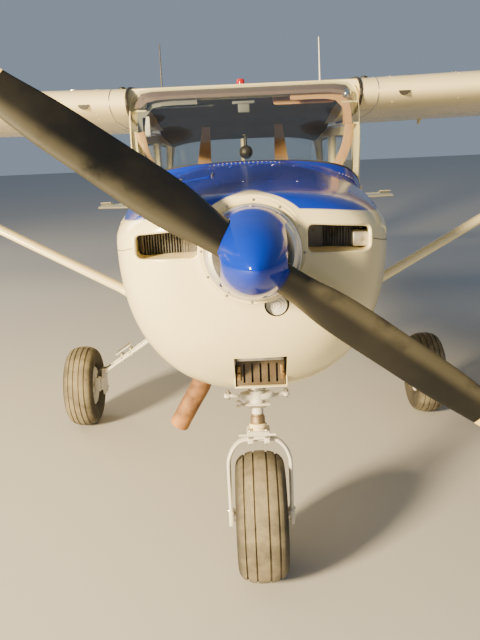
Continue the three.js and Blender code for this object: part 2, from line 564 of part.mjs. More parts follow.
function makeWings() {
  for (const [name, side] of SIDES) {
    const span = (a, b) => (side > 0 ? [a, b] : [-b, -a]);
    const [from, to] = span(WING_ROOT_X, WING_TIP_X);
    const tip = wingStation(WING_TIP_X);
    const end = wingStation(HALF_SPAN);
    const tipRings = [wingRing(side * (WING_TIP_X - 1), tip.leY, tip.leZ, tip.chord),
      wingRing(side * (WING_TIP_X + 80), tip.leY + 45, tip.leZ + 4, tip.chord * 0.93)
        .map((p) => new THREE.Vector3(p.x, p.y, THREE.MathUtils.lerp(tip.leZ - 20, p.z, 0.72))),
      wingRing(side * HALF_SPAN, end.leY + 130, end.leZ, tip.chord * 0.78)
        .map((p) => new THREE.Vector3(p.x, p.y, THREE.MathUtils.lerp(tip.leZ - 20, p.z, 0.3)))];
    let wing = wingSlice(from, to).add(loft(tipRings));

    const flapCut = block(span(FLAP.inner, FLAP.outer), [FLAP.cutY, 1100], [1500, 2000]);
    const flapBody = wingSlice(...span(FLAP.inner + RUNNING_GAP, FLAP.outer - RUNNING_GAP))
      .intersect(block([-6000, 6000], [FLAP.cutY + RUNNING_GAP + 2, 1100], [1500, 2000]));
    const flapArms = FLAP.arms.map((x) => flapArm(side, x, true));
    piece(`flap_${name}`, union([flapBody, ...flapArms]), whitePaint());

    const hingeY = (x) => {
      const { leY, chord } = wingStation(x);
      return leY + chord - AILERON.chord;
    };
    const wedge = (near, far) => prism('z', [[side * near, hingeY(near)], [side * far, hingeY(far)],
      [side * far, 1200], [side * near, 1200]], 1500, 2100);
    const aileronSpan = [AILERON.inner, AILERON.outer];
    const aileron = loft([AILERON.inner + RUNNING_GAP, AILERON.outer - RUNNING_GAP].map((x) =>
      movableRing(side * x, AILERON.chord - RUNNING_GAP, AILERON.noseSlant)));
    piece(`aileron_${name}`, aileron.subtract(union(aileronLugs(side, AILERON.lugGap))), whitePaint());
    const wingArms = FLAP.arms.map((x) => flapArm(side, x, false));
    wing = wing.subtract(flapCut).subtract(wedge(...aileronSpan));
    wing = union([wing, ...wingArms, ...aileronLugs(side, 0)]);
    piece(`wing_${name}`, wing, whitePaint());
  }
}

// Faired tube from the fuselage's lower corner to the wing's front spar
function makeStruts() {
  for (const [name, side] of SIDES) {
    const [a, b] = [STRUT.lower, STRUT.upper].map((p) => new THREE.Vector3(...mirrored(p, side)));
    const ring = (centre) => Array.from({ length: 16 }, (_, i) => {
      const turn = (i / 16) * Math.PI * 2;
      return new THREE.Vector3(
        centre.x - side * Math.sin(turn) * STRUT.thickness / 2 * 0.38,
        centre.y + Math.cos(turn) * STRUT.chord / 2,
        centre.z + Math.sin(turn) * STRUT.thickness / 2);
    });
    piece(`strut_${name}`, loft([ring(a), ring(b)]).subtract(hullSlice(-1000, -400, -SEAM)), whitePaint());
  }
}

// Flat leaf that carries each main wheel, with its step and stub axle
const LEG_COLUMNS = ['x', 'z', 'width', 'thick'];
const LEG_ROWS = [
  [180, 766, 120, 26],
  [300, 680, 116, 26],
  [420, 594, 110, 24],
  [595, 478, 100, 22],
  [770, 363, 88, 20],
  [842, 314, 84, 20],
];

// Foot plate on two short legs, standing off the upper face of the gear leg
function makeStep(side, rows) {
  const next = rows.findIndex((row) => row.x >= STEP.x);
  const [a, b] = [rows[next - 1], rows[next]];
  const slope = Math.atan2(b.z - a.z, b.x - a.x);
  const z = THREE.MathUtils.lerp(a.z, b.z, (STEP.x - a.x) / (b.x - a.x));
  const top = a.thick / 2 + STEP.stand;
  const plan = (x0, x1, y0, y1, low, high) => {
    const part = toGeometry(block([x0, x1], [y0, y1], [low, high]));
    part.rotateY(-side * slope);
    part.translate(side * STEP.x, STEP.y, z);
    return solid(part);
  };
  const [l, d] = [STEP.long / 2, STEP.deep / 2];
  const plate = plan(-l, l, -d, d, top, top + STEP.thick);
  const stands = [-0.6, 0.6].map((part) => plan(part * l - 4, part * l + 4, -20, 20, 0, top + 1));
  return union([plate, ...stands]);
}

function makeMainGear() {
  for (const [name, side] of SIDES) {
    const rows = LEG_ROWS.map((row) => Object.fromEntries(LEG_COLUMNS.map((key, i) => [key, row[i]])));
    const rings = rows.map((row, i) => {
      const before = rows[Math.max(0, i - 1)];
      const after = rows[Math.min(rows.length - 1, i + 1)];
      const along = new THREE.Vector2(after.x - before.x, after.z - before.z).normalize();
      const [nx, nz] = [-along.y * row.thick / 2, along.x * row.thick / 2];
      return [[1, 1], [-1, 1], [-1, -1], [1, -1]].map(([across, up]) => new THREE.Vector3(
        side * (row.x + up * nx), across * row.width / 2, row.z + up * nz));
    });
    const leg = loft(rings).add(makeStep(side, rows));
    piece(`gear_leg_${name}`, leg.subtract(hullSlice(-400, 400, -SEAM)), whitePaint());
    const bracket = block(side > 0 ? [847.7, 862] : [-862, -847.7], [-46, 46], [180, 330]);
    const axle = rod([side * 857, 0, MAIN.axleZ], [side * 1010, 0, MAIN.axleZ], AXLE_RADIUS, AXLE_RADIUS, 16);
    const caliper = block(side > 0 ? [861, 895] : [-895, -861], [-108, -58], [218, 300])
      .add(block(side > 0 ? [847.7, 862] : [-862, -847.7], [-90, -40], [225, 290]));
    piece(`axle_${name}`, union([bracket, axle, caliper]), whitePaint());
    makeWheel(`main_wheel_${name}`, `main_tyre_${name}`, side * MAIN.trackX, 0, MAIN);
  }
}

// Wheel and tyre of one size about an axle along x
function makeWheel(wheelName, tyreName, x, y, size) {
  const half = size.width / 2;
  const shoulder = half * 0.78;
  const { bore, flange, radius } = RIM;
  const centre = [x, y, size.axleZ];
  const wheelSide = [[bore, 0.62, half], [44, 0.62, half], [50, 0.28, half], [radius - 14, 0.28, half],
    [radius - 6, 0.7, half], [flange, 0.7, half], [radius, 0.54, half]];
  piece(wheelName, spun('x', bothSides(wheelSide), centre, 20), whitePaint());
  const reach = size.radius;
  const tyreSide = [[radius + 0.4, 0.52, half], [flange + 2, 0.69, half], [reach * 0.76, 1, half],
    [reach * 0.91, 1.04, shoulder], [reach * 0.98, 0.62, shoulder], [reach, 0.25, shoulder]];
  piece(tyreName, spun('x', bothSides(tyreSide), centre, 20), rubber());
}

// Closed profile of [radius, along] from one side's rows of [radius, share, of what width]
function bothSides(rows) {
  const near = rows.map(([r, share, of]) => [r, -share * of]);
  const far = rows.map(([r, share, of]) => [r, share * of]).reverse();
  return [...near, ...far, near[0]];
}

// Nose leg: fixed upper cylinder, and the steered fork below it
const FORK = { reach: 110, barWide: 15, barDeep: 30, clampHalf: 34 };
const STEERING = { up: 141, armReach: 104, armRadius: 8, collar: 27, armAft: 40 };

function makeNoseGear() {
  const down = new THREE.Vector3(0, -Math.sin(NOSE_RAKE), -Math.cos(NOSE_RAKE));
  const crown = new THREE.Vector3(0, NOSE.crownY, NOSE.crownZ);
  const onAxis = (up, x = 0, aft = 0) => crown.clone().addScaledVector(down, -up)
    .add(new THREE.Vector3(x, aft, 0)).toArray();
  const bore = 17.8;
  const boreRod = rod(onAxis(160), onAxis(340), bore, bore, 18);
  const upper = rod(onAxis(176), onAxis(415), 31, 31, 18).subtract(boreRod);
  const mount = block([-60, 60], [-1290, FIREWALL_Y - SEAM], [826, 866]);
  const lug = block([-22, 22], [-1400, -1280], [836, 856]);
  piece('nose_strut', union([upper, mount, lug]), whitePaint());

  const piston = rod(onAxis(8), onAxis(330), 17, 17, 16);
  const boss = rod(onAxis(8), onAxis(62), 23, 22, 16);
  const flange = rod([0, NOSE.crownY, NOSE.crownZ + 12], onAxis(24), 30, 30, 16);
  const { crownY, crownZ, axleY, axleZ } = NOSE;
  const clamp = block([-FORK.clampHalf, FORK.clampHalf], [crownY - 34, crownY + 34],
    [crownZ - 12, crownZ + 16]);
  const side = [[FORK.reach, axleY, axleZ - 22], [FORK.reach, axleY, 424], [FORK.reach - 4, axleY + 4, 454],
    [FORK.reach - 15, axleY + 11, 480], [FORK.reach - 33, axleY + 19, 499], [56, crownY, crownZ - 2],
    [36, crownY, crownZ]];
  const otherSide = side.map(([x, y, z]) => [-x, y, z]);
  const bar = flatBar([...otherSide, ...side.reverse()], FORK.barWide, FORK.barDeep);
  const axleEnd = FORK.reach + 22;
  const axle = rod([-axleEnd, axleY, axleZ], [axleEnd, axleY, axleZ], AXLE_RADIUS, AXLE_RADIUS, 16);
  const { up, collar: collarRadius } = STEERING;
  const collar = rod(onAxis(up - 16), onAxis(up + 16), collarRadius, collarRadius, 16);
  const ends = [-1, 1].map((way) => onAxis(STEERING.up, way * STEERING.armReach, STEERING.armAft));
  const arms = ends.map((end) => rod(onAxis(STEERING.up), end, 11, STEERING.armRadius, 8));
  const studs = ends.map(([x, y, z]) => rod([x, y, z - 14], [x, y, z + 18], 7, 7, 8));
  const fork = [piston, boss, flange, clamp, bar, axle, collar, ...arms, ...studs];
  piece('nose_fork', union([...fork, torqueLinks(crownY, crownZ)]), whitePaint());
  makeWheel('nose_wheel', 'nose_tyre', 0, axleY, NOSE);
}

// Pair of scissor links behind the piston, from the boss up to the steering collar
const LINKS = { spread: 18, thick: 8, wide: 22, lowUp: 40, highUp: 118, kneeAft: 96, kneeUp: 84 };
function torqueLinks(crownY, crownZ) {
  const low = [crownY + 14, crownZ + LINKS.lowUp];
  const high = [crownY + 30, crownZ + LINKS.highUp];
  const knee = [crownY + LINKS.kneeAft, crownZ + LINKS.kneeUp];
  const link = (from, to, x) => {
    const along = new THREE.Vector2(to[0] - from[0], to[1] - from[1]).normalize().multiplyScalar(8);
    const across = new THREE.Vector2(-along.y, along.x);
    const outline = [[from[0] - along.x - across.x, from[1] - along.y - across.y],
      [to[0] + along.x - across.x, to[1] + along.y - across.y],
      [to[0] + along.x + across.x, to[1] + along.y + across.y],
      [from[0] - along.x + across.x, from[1] - along.y + across.y]];
    return prism('x', outline, x - LINKS.thick / 2, x + LINKS.thick / 2);
  };
  const pin = ([y, z]) => rod([-LINKS.wide, y, z], [LINKS.wide, y, z], 7, 7, 8);
  const sides = [-LINKS.spread, LINKS.spread].flatMap((x) => [link(low, knee, x), link(high, knee, x)]);
  return union([...sides, pin(low), pin(high), pin(knee)]);
}

// Bar of oval section bent through points that lie across the aircraft
function flatBar(points, wide, deep) {
  const path = points.map((p) => new THREE.Vector3(...p));
  return loft(path.map((point, i) => {
    const before = path[Math.max(0, i - 1)];
    const after = path[Math.min(path.length - 1, i + 1)];
    const along = after.clone().sub(before).setY(0).normalize();
    const out = new THREE.Vector3(-along.z, 0, along.x);
    return Array.from({ length: 8 }, (_, k) => {
      const turn = ((k + 0.5) / 8) * Math.PI * 2;
      return point.clone().addScaledVector(out, Math.cos(turn) * wide / 2 * 1.08)
        .add(new THREE.Vector3(0, Math.sin(turn) * deep / 2, 0));
    });
  }));
}

// Two-bladed propeller with its pointed spinner.
// Blade rows: reach from the hub, chord, thickness, pitch in degrees; dome rows: radius, station
const BLADE_ROWS = [[0, 84, 76, 50], [110, 114, 46, 48], [240, 140, 27, 38], [420, 126, 18, 29],
  [560, 117, 14, 24], [690, 95, 11, 20], [BLADE_REACH - 40, 78, 8, 18], [BLADE_REACH - 8, 60, 6, 17],
  [BLADE_REACH, 38, 5, 17]];
const SPINNER_DOME = [[SPINNER_RADIUS, SPINNER_REAR_Y - 4], [SPINNER_RADIUS - 3, -2042], [102, -2098],
  [86, -2158], [66, -2205], [38, -2245], [0, NOSE_TIP_Y]];
const SPINNER_WALL = 5;
function makePropeller() {
  const [tiltCos, tiltSin] = [Math.cos(BLADE_TILT), Math.sin(BLADE_TILT)];
  const ring = (out, chord, thick, pitch) => Array.from({ length: 12 }, (_, i) => {
    const turn = (i / 12) * Math.PI * 2;
    const across = Math.cos(turn) * chord / 2;
    const deep = Math.sin(turn) * thick / 2;
    const v = across * Math.cos(pitch) - deep * Math.sin(pitch);
    const y = across * Math.sin(pitch) + deep * Math.cos(pitch);
    const [x, z] = [out * tiltCos - v * tiltSin, out * tiltSin + v * tiltCos];
    return new THREE.Vector3(x, BLADE_PLANE_Y + y, THRUST_Z + z);
  });
  const blade = (way, rows, spare = 0) => loft(rows.map(([out, chord, thick, pitch]) =>
    ring(way * out, chord + spare, thick, -way * THREE.MathUtils.degToRad(pitch))));
  const hub = rod([0, -2150, THRUST_Z], [0, SPINNER_REAR_Y - 3, THRUST_Z], 62, 62, 20);
  piece('propeller', union([blade(1, BLADE_ROWS), blade(-1, BLADE_ROWS), hub]), blackMetal());

  const outside = [[0, SPINNER_REAR_Y - 4], ...SPINNER_DOME];
  const inside = [[0, -2000], [SPINNER_RADIUS - SPINNER_WALL, -2000],
    ...SPINNER_DOME.slice(1).map(([r, y]) => [Math.max(0, r - SPINNER_WALL - 1), y + 4])];
  const centre = [0, 0, THRUST_Z];
  const cone = spun('y', outside, centre, 24).subtract(spun('y', inside, centre, 24));
  const rootRows = [[60, 104, 60, 50], [180, 134, 66, 45]];
  const bladeRoom = union([blade(1, rootRows, 14), blade(-1, rootRows, 14)]);
  const plateRadius = SPINNER_RADIUS - 4;
  const plate = rod([0, -2016, THRUST_Z], [0, -2020, THRUST_Z], plateRadius, plateRadius, 24)
    .subtract(rod([0, -2010, THRUST_Z], [0, -2030, THRUST_Z], 62.4, 62.4, 20));
  piece('spinner', cone.subtract(bladeRoom).add(plate), bluePaint());
}

// Thin symmetric surface through rings across the span or up the fin
function leaf(rows, place) {
  const upper = [[0, 0], [0.06, 0.5], [0.3, 1], [0.7, 0.78], [1, 0.16]];
  const section = [...upper, ...upper.slice(1).reverse().map(([along, off]) => [along, -off])];
  return loft(rows.map((row) => section.map(([along, off]) =>
    place(row, THREE.MathUtils.lerp(row.le, row.te, along), off * row.thick / 2))));
}

function makeTail() {
  // Stabiliser: one piece through the tail cone
  const flat = (row, y, off) => new THREE.Vector3(row.x, y, STAB.z + off);
  const tipThick = 30;
  const stabRows = [[-STAB.half, STAB.tipLe, tipThick], [-100, STAB.rootLe, STAB.thick],
    [100, STAB.rootLe, STAB.thick], [STAB.half, STAB.tipLe, tipThick]]
    .map(([x, le, thick]) => ({ x, le, te: STAB.hinge - 24, thick }));
  let stab = leaf(stabRows, flat);
  for (const [, side] of SIDES) {
    const horn = side > 0 ? [ELEVATOR.hornInner - 8, 1700] : [-1700, -ELEVATOR.hornInner + 8];
    stab = stab.subtract(block(horn, [ELEVATOR.hornLe - 14, 4000], [700, 1100]));
  }
  piece('stabilizer', stab, whitePaint());

  // Elevator halves on one tube, drooped on their lower stop
  const halves = SIDES.map(([, side]) => {
    const rows = [[ELEVATOR.inner, ELEVATOR.rootTe, 40], [ELEVATOR.hornInner, ELEVATOR.tipTe, 30]]
      .map(([x, te, thick]) => ({ x: side * x, le: STAB.hinge - 16, te, thick }));
    const horn = [[ELEVATOR.hornInner - 1, ELEVATOR.tipTe, 29], [STAB.half + 12, ELEVATOR.tipTe - 20, 22]]
      .map(([x, te, thick]) => ({ x: side * x, le: ELEVATOR.hornLe, te, thick }));
    return leaf(rows, flat).add(leaf(horn, flat));
  });
  const tubeReach = ELEVATOR.inner + 30;
  const tube = rod([-tubeReach, STAB.hinge, STAB.z], [tubeReach, STAB.hinge, STAB.z], 16, 16, 12);
  const level = toGeometry(union([...halves, tube]));
  level.translate(0, -STAB.hinge, -STAB.z);
  const elevator = new THREE.Mesh(level, whitePaint());
  elevator.name = 'elevator';
  elevator.position.set(0, STAB.hinge, STAB.z);
  elevator.rotation.x = -THREE.MathUtils.degToRad(ELEVATOR.droop);
  aircraft.add(elevator);

  // Fin and rudder
  const upright = (row, y, off) => new THREE.Vector3(off, y, row.z);
  const finRows = [[FIN.baseZ - 40, FIN.rootLe, FIN.thick], [FIN.topZ, FIN.topLe, 40]]
    .map(([z, le, thick]) => ({ z, le, te: FIN.hinge - 34, thick }));
  const fin = leaf(finRows, upright).subtract(hullSlice(CABIN_END_Y, TAIL_CONE_END_Y, -SEAM))
    .intersect(block([-200, 200], [3000, 4100], [960, 2200]));
  const lugs = RUDDER.lugHeights.map((z) => block([-6, 6], [FIN.hinge - 45, FIN.hinge], [z - 12, z + 12])
    .add(rod([0, FIN.hinge, z - 12], [0, FIN.hinge, z + 12], 6)));
  piece('fin', union([fin, ...lugs]), whitePaint());
  const rudderRows = [[RUDDER.bottomZ, RUDDER.rootTe, 46], [FIN.topZ, RUDDER.topTe, 34]]
    .map(([z, te, thick]) => ({ z, le: FIN.hinge - 16, te, thick }));
  const notches = RUDDER.lugHeights.map((z) => block([-60, 60], [FIN.hinge - 45, FIN.hinge + 8],
    [z - 12 - SEAM, z + 12 + SEAM]));
  piece('rudder', leaf(rudderRows, upright).subtract(union(notches)), whitePaint());
  const lens = [[0, 0], [30, 0], [36, 10], [34, 52], [20, 74], [0, 80]];
  piece('beacon', spun('z', lens, [0, 3800, FIN.topZ + SEAM], 18), finish(0xc2182a, 0.25));
}

// What shows through the glass
const YOKE = { x: 220, z: 1200, from: -965, to: -800, tube: 11, half: 105, bar: 22, hornTop: 1280 };
const SEAT_SIDE = [[-470, 860], [60, 860], [130, 1390], [62, 1400], [-10, 1060], [-470, 1040]];
const SEAT = { x: 228, half: 188, pedestalHalf: 110 };
const COMPASS = { y: -885, z: 1503, radius: 27, stemTop: 1571.8 };

function makeInterior() {
  const panel = block([-440, 440], [-985, -960], [1080, 1400])
    .intersect(hullSlice(-1000, -900, CABIN_WALL + SEAM));
  const yokes = SIDES.flatMap(([, side]) => {
    const x = side * YOKE.x;
    const deep = [YOKE.to - 6, YOKE.to + 16];
    const horn = (a, b) => block([x + a, x + b], deep, [YOKE.z - 12, YOKE.hornTop]);
    return [
      rod([x, YOKE.from, YOKE.z], [x, YOKE.to, YOKE.z], YOKE.tube, YOKE.tube, 10),
      block([x - YOKE.half + 10, x + YOKE.half - 10], deep, [YOKE.z - 12, YOKE.z + 12]),
      horn(-YOKE.half, -YOKE.half + YOKE.bar),
      horn(YOKE.half - YOKE.bar, YOKE.half)];
  });
  piece('instrument_panel', union([panel, ...yokes]), blackMetal());
  for (const [name, side] of SIDES) {
    const x = side * SEAT.x;
    const seat = prism('x', rounded(SEAT_SIDE, 20), x - SEAT.half, x + SEAT.half);
    const pedestal = block([x - SEAT.pedestalHalf, x + SEAT.pedestalHalf], [-400, 0],
      [FLOOR_TOP_Z + SEAM, 870]);
    piece(`seat_${name}`, seat.add(pedestal), tanTrim());
  }
  const ball = new THREE.SphereGeometry(COMPASS.radius, 12, 8).rotateX(Math.PI / 2)
    .translate(0, COMPASS.y, COMPASS.z);
  const stem = rod([0, COMPASS.y, COMPASS.z + 7], [0, COMPASS.y, COMPASS.stemTop], 5, 5, 8);
  piece('compass', solid(ball).add(stem), blackMetal());
}

// Whips on the roof, one pale and one dark, and the pitot tube under the left wing
const WHIPS = [['left', 393, 0xe8e8e8], ['right', -409, 0x222222]];
const WHIP = { footY: -60, footZ: 1770, tipY: -25, tipZ: 2035, foot: 5, tip: 2.5 };
const PITOT = { x: 2250, postY: -330, elbowY: -380, tipY: -640, topZ: 1690, z: 1610 };

function makeAerials() {
  for (const [name, x, colour] of WHIPS) {
    const whip = rod([x, WHIP.footY, WHIP.footZ], [x, WHIP.tipY, WHIP.tipZ], WHIP.foot, WHIP.tip, 8);
    piece(`antenna_${name}`, whip.subtract(wingSlice(-WING_ROOT_X, WING_ROOT_X, SEAM)), finish(colour, 0.5));
  }
  const post = rod([PITOT.x, PITOT.postY, PITOT.topZ], [PITOT.x, PITOT.elbowY, PITOT.z], 9, 9, 8);
  const tube = rod([PITOT.x, PITOT.elbowY + 10, PITOT.z], [PITOT.x, PITOT.tipY, PITOT.z - 4], 8, 8, 8);
  piece('pitot_tube', union([post, tube]).subtract(wingSlice(WING_ROOT_X, 2500, -SEAM)), bareMetal());
}

makeCowl();
makePowerplant();
makeCabin();
makeDoors();
makeWings();
makeStruts();
makeMainGear();
makeNoseGear();
makePropeller();
makeTail();
makeInterior();
makeAerials();

export default aircraft;
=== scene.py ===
"""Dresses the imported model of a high-winged light aircraft: skins, glazing, gear, cabin and finishes.

Shapes are drawn in millimetres at the aircraft's stations: x to its left side, y aft from the main
axle and z up from the ground. Form.mesh() turns them into metres in the row frame.
"""
import json
import logging
import math
from dataclasses import dataclass, field
from enum import Enum
from typing import Callable, Iterable, Sequence

import bmesh
import bpy
import numpy as np
from mathutils import Matrix, Vector

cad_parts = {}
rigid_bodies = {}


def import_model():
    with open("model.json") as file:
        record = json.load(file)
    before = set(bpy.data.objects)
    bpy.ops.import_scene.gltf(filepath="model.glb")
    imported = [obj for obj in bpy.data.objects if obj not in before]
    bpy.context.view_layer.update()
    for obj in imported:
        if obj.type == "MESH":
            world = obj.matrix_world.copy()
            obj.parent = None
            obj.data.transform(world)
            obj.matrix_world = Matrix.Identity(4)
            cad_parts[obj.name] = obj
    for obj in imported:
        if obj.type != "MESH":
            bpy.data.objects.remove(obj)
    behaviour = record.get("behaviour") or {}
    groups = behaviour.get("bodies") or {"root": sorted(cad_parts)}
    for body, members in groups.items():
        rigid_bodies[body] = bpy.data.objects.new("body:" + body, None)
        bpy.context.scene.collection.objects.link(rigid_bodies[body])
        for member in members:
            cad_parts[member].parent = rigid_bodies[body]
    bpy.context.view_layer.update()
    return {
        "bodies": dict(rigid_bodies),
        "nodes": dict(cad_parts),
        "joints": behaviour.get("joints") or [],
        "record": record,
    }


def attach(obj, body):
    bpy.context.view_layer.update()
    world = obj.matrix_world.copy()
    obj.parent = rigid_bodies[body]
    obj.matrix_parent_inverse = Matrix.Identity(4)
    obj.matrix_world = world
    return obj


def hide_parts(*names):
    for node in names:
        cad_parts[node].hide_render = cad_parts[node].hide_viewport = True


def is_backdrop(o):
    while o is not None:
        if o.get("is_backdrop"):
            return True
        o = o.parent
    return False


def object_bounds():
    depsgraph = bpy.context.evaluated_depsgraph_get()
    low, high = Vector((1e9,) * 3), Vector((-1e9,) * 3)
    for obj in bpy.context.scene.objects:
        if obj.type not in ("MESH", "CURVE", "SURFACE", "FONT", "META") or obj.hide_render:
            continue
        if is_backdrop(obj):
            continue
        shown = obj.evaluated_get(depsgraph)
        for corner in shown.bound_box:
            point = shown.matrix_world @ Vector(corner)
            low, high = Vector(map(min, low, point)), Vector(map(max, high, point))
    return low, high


log = logging.getLogger("light_aircraft")
MM = 0.001
MIDDLE_Y = 1020.0
WELD = 1e-3
EDGE_ANGLE = math.radians(30)
SIDES = (("left", 1), ("right", -1))
Path = Sequence[Sequence[float]]


# Meshes and objects

def plain_mesh(name: str, points: np.ndarray, faces: Iterable[Sequence[int]]) -> bpy.types.Mesh:
    """Returns a mesh of points and faces as they are."""
    mesh = bpy.data.meshes.new(name)
    mesh.from_pydata(points.tolist(), [], [list(face) for face in faces])
    return mesh


def welded(mesh: bpy.types.Mesh, near: float) -> bmesh.types.BMesh:
    """Returns a work mesh of a mesh, with the points that are nearer than a distance joined."""
    work = bmesh.new()
    work.from_mesh(mesh)
    bmesh.ops.remove_doubles(work, verts=work.verts, dist=near)
    return work


def points_of(mesh: bpy.types.Mesh) -> np.ndarray:
    """Returns a mesh's points, one to a row."""
    flat = np.zeros(len(mesh.vertices) * 3)
    mesh.vertices.foreach_get("co", flat)
    return flat.reshape(-1, 3)


def stand(name: str, data: bpy.types.ID) -> bpy.types.Object:
    """Returns a new object that stands in the scene."""
    thing = bpy.data.objects.new(name, data)
    bpy.context.scene.collection.objects.link(thing)
    return thing


def result_of(thing: bpy.types.Object) -> bpy.types.Mesh:
    """Returns a new mesh of what an object's modifiers make of it."""
    return bpy.data.meshes.new_from_object(thing.evaluated_get(bpy.context.evaluated_depsgraph_get()))


# Shapes

@dataclass
class Form:
    """A surface of points and faces, in millimetres at the aircraft's stations."""

    points: np.ndarray
    faces: list[tuple[int, ...]]

    @classmethod
    def join(cls, forms: Iterable["Form"]) -> "Form":
        """Returns one form that holds all the given ones."""
        points: list[np.ndarray] = []
        faces: list[tuple[int, ...]] = []
        start = 0
        for form in forms:
            points.append(form.points)
            faces.extend(tuple(i + start for i in face) for face in form.faces)
            start += len(form.points)
        return cls(np.vstack(points), faces)

    def __add__(self, other: "Form") -> "Form":
        """Returns both forms as one."""
        return Form.join((self, other))

    def moved(self, x: float = 0, y: float = 0, z: float = 0) -> "Form":
        """Returns the form moved by a distance."""
        return Form(self.points + np.array((x, y, z), float), self.faces)

    def turned(self, axis: str, degrees: float, about: Sequence[float] = (0, 0, 0)) -> "Form":
        """Returns the form turned about an axis through a point.

        Args:
            axis: The letter of the axis.
            degrees: The angle, by the right hand.
            about: A point on the axis.
        Returns:
            The turned form.
        """
        turn = np.array(Matrix.Rotation(math.radians(degrees), 3, axis.upper()))
        centre = np.array(about, float)
        return Form((self.points - centre) @ turn.T + centre, self.faces)

    def mirrored(self) -> "Form":
        """Returns the form on the other side of the aircraft, still facing outwards."""
        return Form(self.points * (-1, 1, 1), [face[::-1] for face in self.faces])

    def on(self, side: int) -> "Form":
        """Returns the form itself for the left side and its mirror image for the right."""
        return self if side > 0 else self.mirrored()

    def mesh(self, name: str, sharp: float = 32) -> bpy.types.Mesh:
        """Returns the form as a smooth mesh in metres, in the row frame.

        Args:
            name: The mesh's name.
            sharp: The angle in degrees from which an edge stays sharp.
        Returns:
            The mesh.
        """
        mesh = plain_mesh(name, (self.points - (0, MIDDLE_Y, 0)) * MM, self.faces)
        work = welded(mesh, 2e-6)
        bmesh.ops.dissolve_degenerate(work, dist=1e-6, edges=work.edges)
        work.to_mesh(mesh)
        work.free()
        mesh.shade_smooth()
        mesh.set_sharp_from_angle(angle=math.radians(sharp))
        return mesh


def outward(form: Form) -> Form:
    """Returns a closed form with its faces turned outwards."""
    corners = np.array([(face[0], face[j], face[j + 1])
                        for face in form.faces for j in range(1, len(face) - 1)])
    a, b, c = (form.points[corners[:, k]] for k in range(3))
    if np.einsum("ij,ij->i", a, np.cross(b, c)).sum() < 0:
        return Form(form.points, [face[::-1] for face in form.faces])
    return form


def loft(rings: Sequence[Path], caps: bool = True, loop: bool = False) -> Form:
    """Joins rings of equal length by a skin.

    Args:
        rings: The rings, each a closed line of points.
        caps: Whether the ends are closed.
        loop: Whether the last ring joins the first.
    Returns:
        The closed form.
    """
    count, size = len(rings), len(rings[0])
    faces: list[tuple[int, ...]] = []
    for i in range(count if loop else count - 1):
        a, b = i * size, ((i + 1) % count) * size
        faces.extend((a + j, a + (j + 1) % size, b + (j + 1) % size, b + j) for j in range(size))
    if caps and not loop:
        faces.append(tuple(reversed(range(size))))
        faces.append(tuple(range((count - 1) * size, count * size)))
    return outward(Form(np.vstack([np.asarray(ring, float) for ring in rings]), faces))


def circle(count: int, radius: float = 1.0) -> np.ndarray:
    """Returns a circle of points in a plane."""
    turn = np.arange(count) / count * math.tau
    return np.column_stack((np.cos(turn), np.sin(turn))) * radius


def unit(vectors: np.ndarray) -> np.ndarray:
    """Returns vectors brought to length one."""
    return vectors / np.maximum(np.linalg.norm(vectors, axis=-1, keepdims=True), 1e-9)


def spline(points: Path, count: int) -> np.ndarray:
    """Draws a smooth line through points, with even steps.

    Args:
        points: The points.
        count: How many points the line has.
    Returns:
        The points of the line.
    """
    p = np.asarray(points, float)
    p = np.vstack((2 * p[0] - p[1], p, 2 * p[-1] - p[-2]))
    t = np.linspace(0, 1, 12, endpoint=False)[:, None]
    parts = []
    for a, b, c, d in zip(p, p[1:], p[2:], p[3:]):
        parts.append(0.5 * (2 * b + (c - a) * t + (2 * a - 5 * b + 4 * c - d) * t**2
                            + (3 * b - a - 3 * c + d) * t**3))
    parts.append(p[-2][None])
    return even(np.vstack(parts), count)


def closed(line: Path) -> np.ndarray:
    """Returns a line that ends on its first point."""
    points = np.asarray(line, float)
    return np.vstack((points, points[:1]))


def even(line: np.ndarray, count: int, loop: bool = False) -> np.ndarray:
    """Returns a line resampled to equal steps; a closed line ends on its first point."""
    along = np.concatenate(([0], np.cumsum(np.linalg.norm(np.diff(line, axis=0), axis=1))))
    stops = np.linspace(0, along[-1], count + 1 if loop else count)
    stops = stops[:-1] if loop else stops
    return np.column_stack([np.interp(stops, along, line[:, k]) for k in range(line.shape[1])])


def sweep(path: Path, section: Path, outs: Path | None = None, loop: bool = False,
          scale: Sequence[float] | None = None) -> Form:
    """Carries a section along a path.

    Args:
        path: The path's points.
        section: The section's points, each across and out.
        outs: For each point the direction that counts as out; found without a twist if left away.
        loop: Whether the path closes.
        scale: The section's size at each point.
    Returns:
        The closed form.
    """
    p = np.asarray(path, float)
    if loop:
        tangent = unit(np.roll(p, -1, axis=0) - np.roll(p, 1, axis=0))
    else:
        tangent = unit(np.gradient(p, axis=0))
    if outs is None:
        up = np.zeros(3)
        up[int(np.argmin(np.abs(tangent[0])))] = 1
        found = []
        for way in tangent:
            up = unit(up - way * np.dot(up, way))
            found.append(up)
        out = np.array(found)
    else:
        out = np.asarray(outs, float)
        out = unit(out - tangent * np.einsum("ij,ij->i", out, tangent)[:, None])
    across = np.cross(tangent, out)
    flat = np.asarray(section, float)
    sizes = np.ones(len(p)) if scale is None else np.asarray(scale, float)
    rings = [p[i] + sizes[i] * (flat[:, :1] * across[i] + flat[:, 1:] * out[i]) for i in range(len(p))]
    return loft(rings, loop=loop)


def tube(path: Path, radius: float | Sequence[float], sides: int = 14, loop: bool = False) -> Form:
    """Returns a round bar or hose along a path, of one radius or of one for each point."""
    sizes = np.broadcast_to(np.asarray(radius, float), (len(path),))
    return sweep(path, circle(sides), loop=loop, scale=sizes)


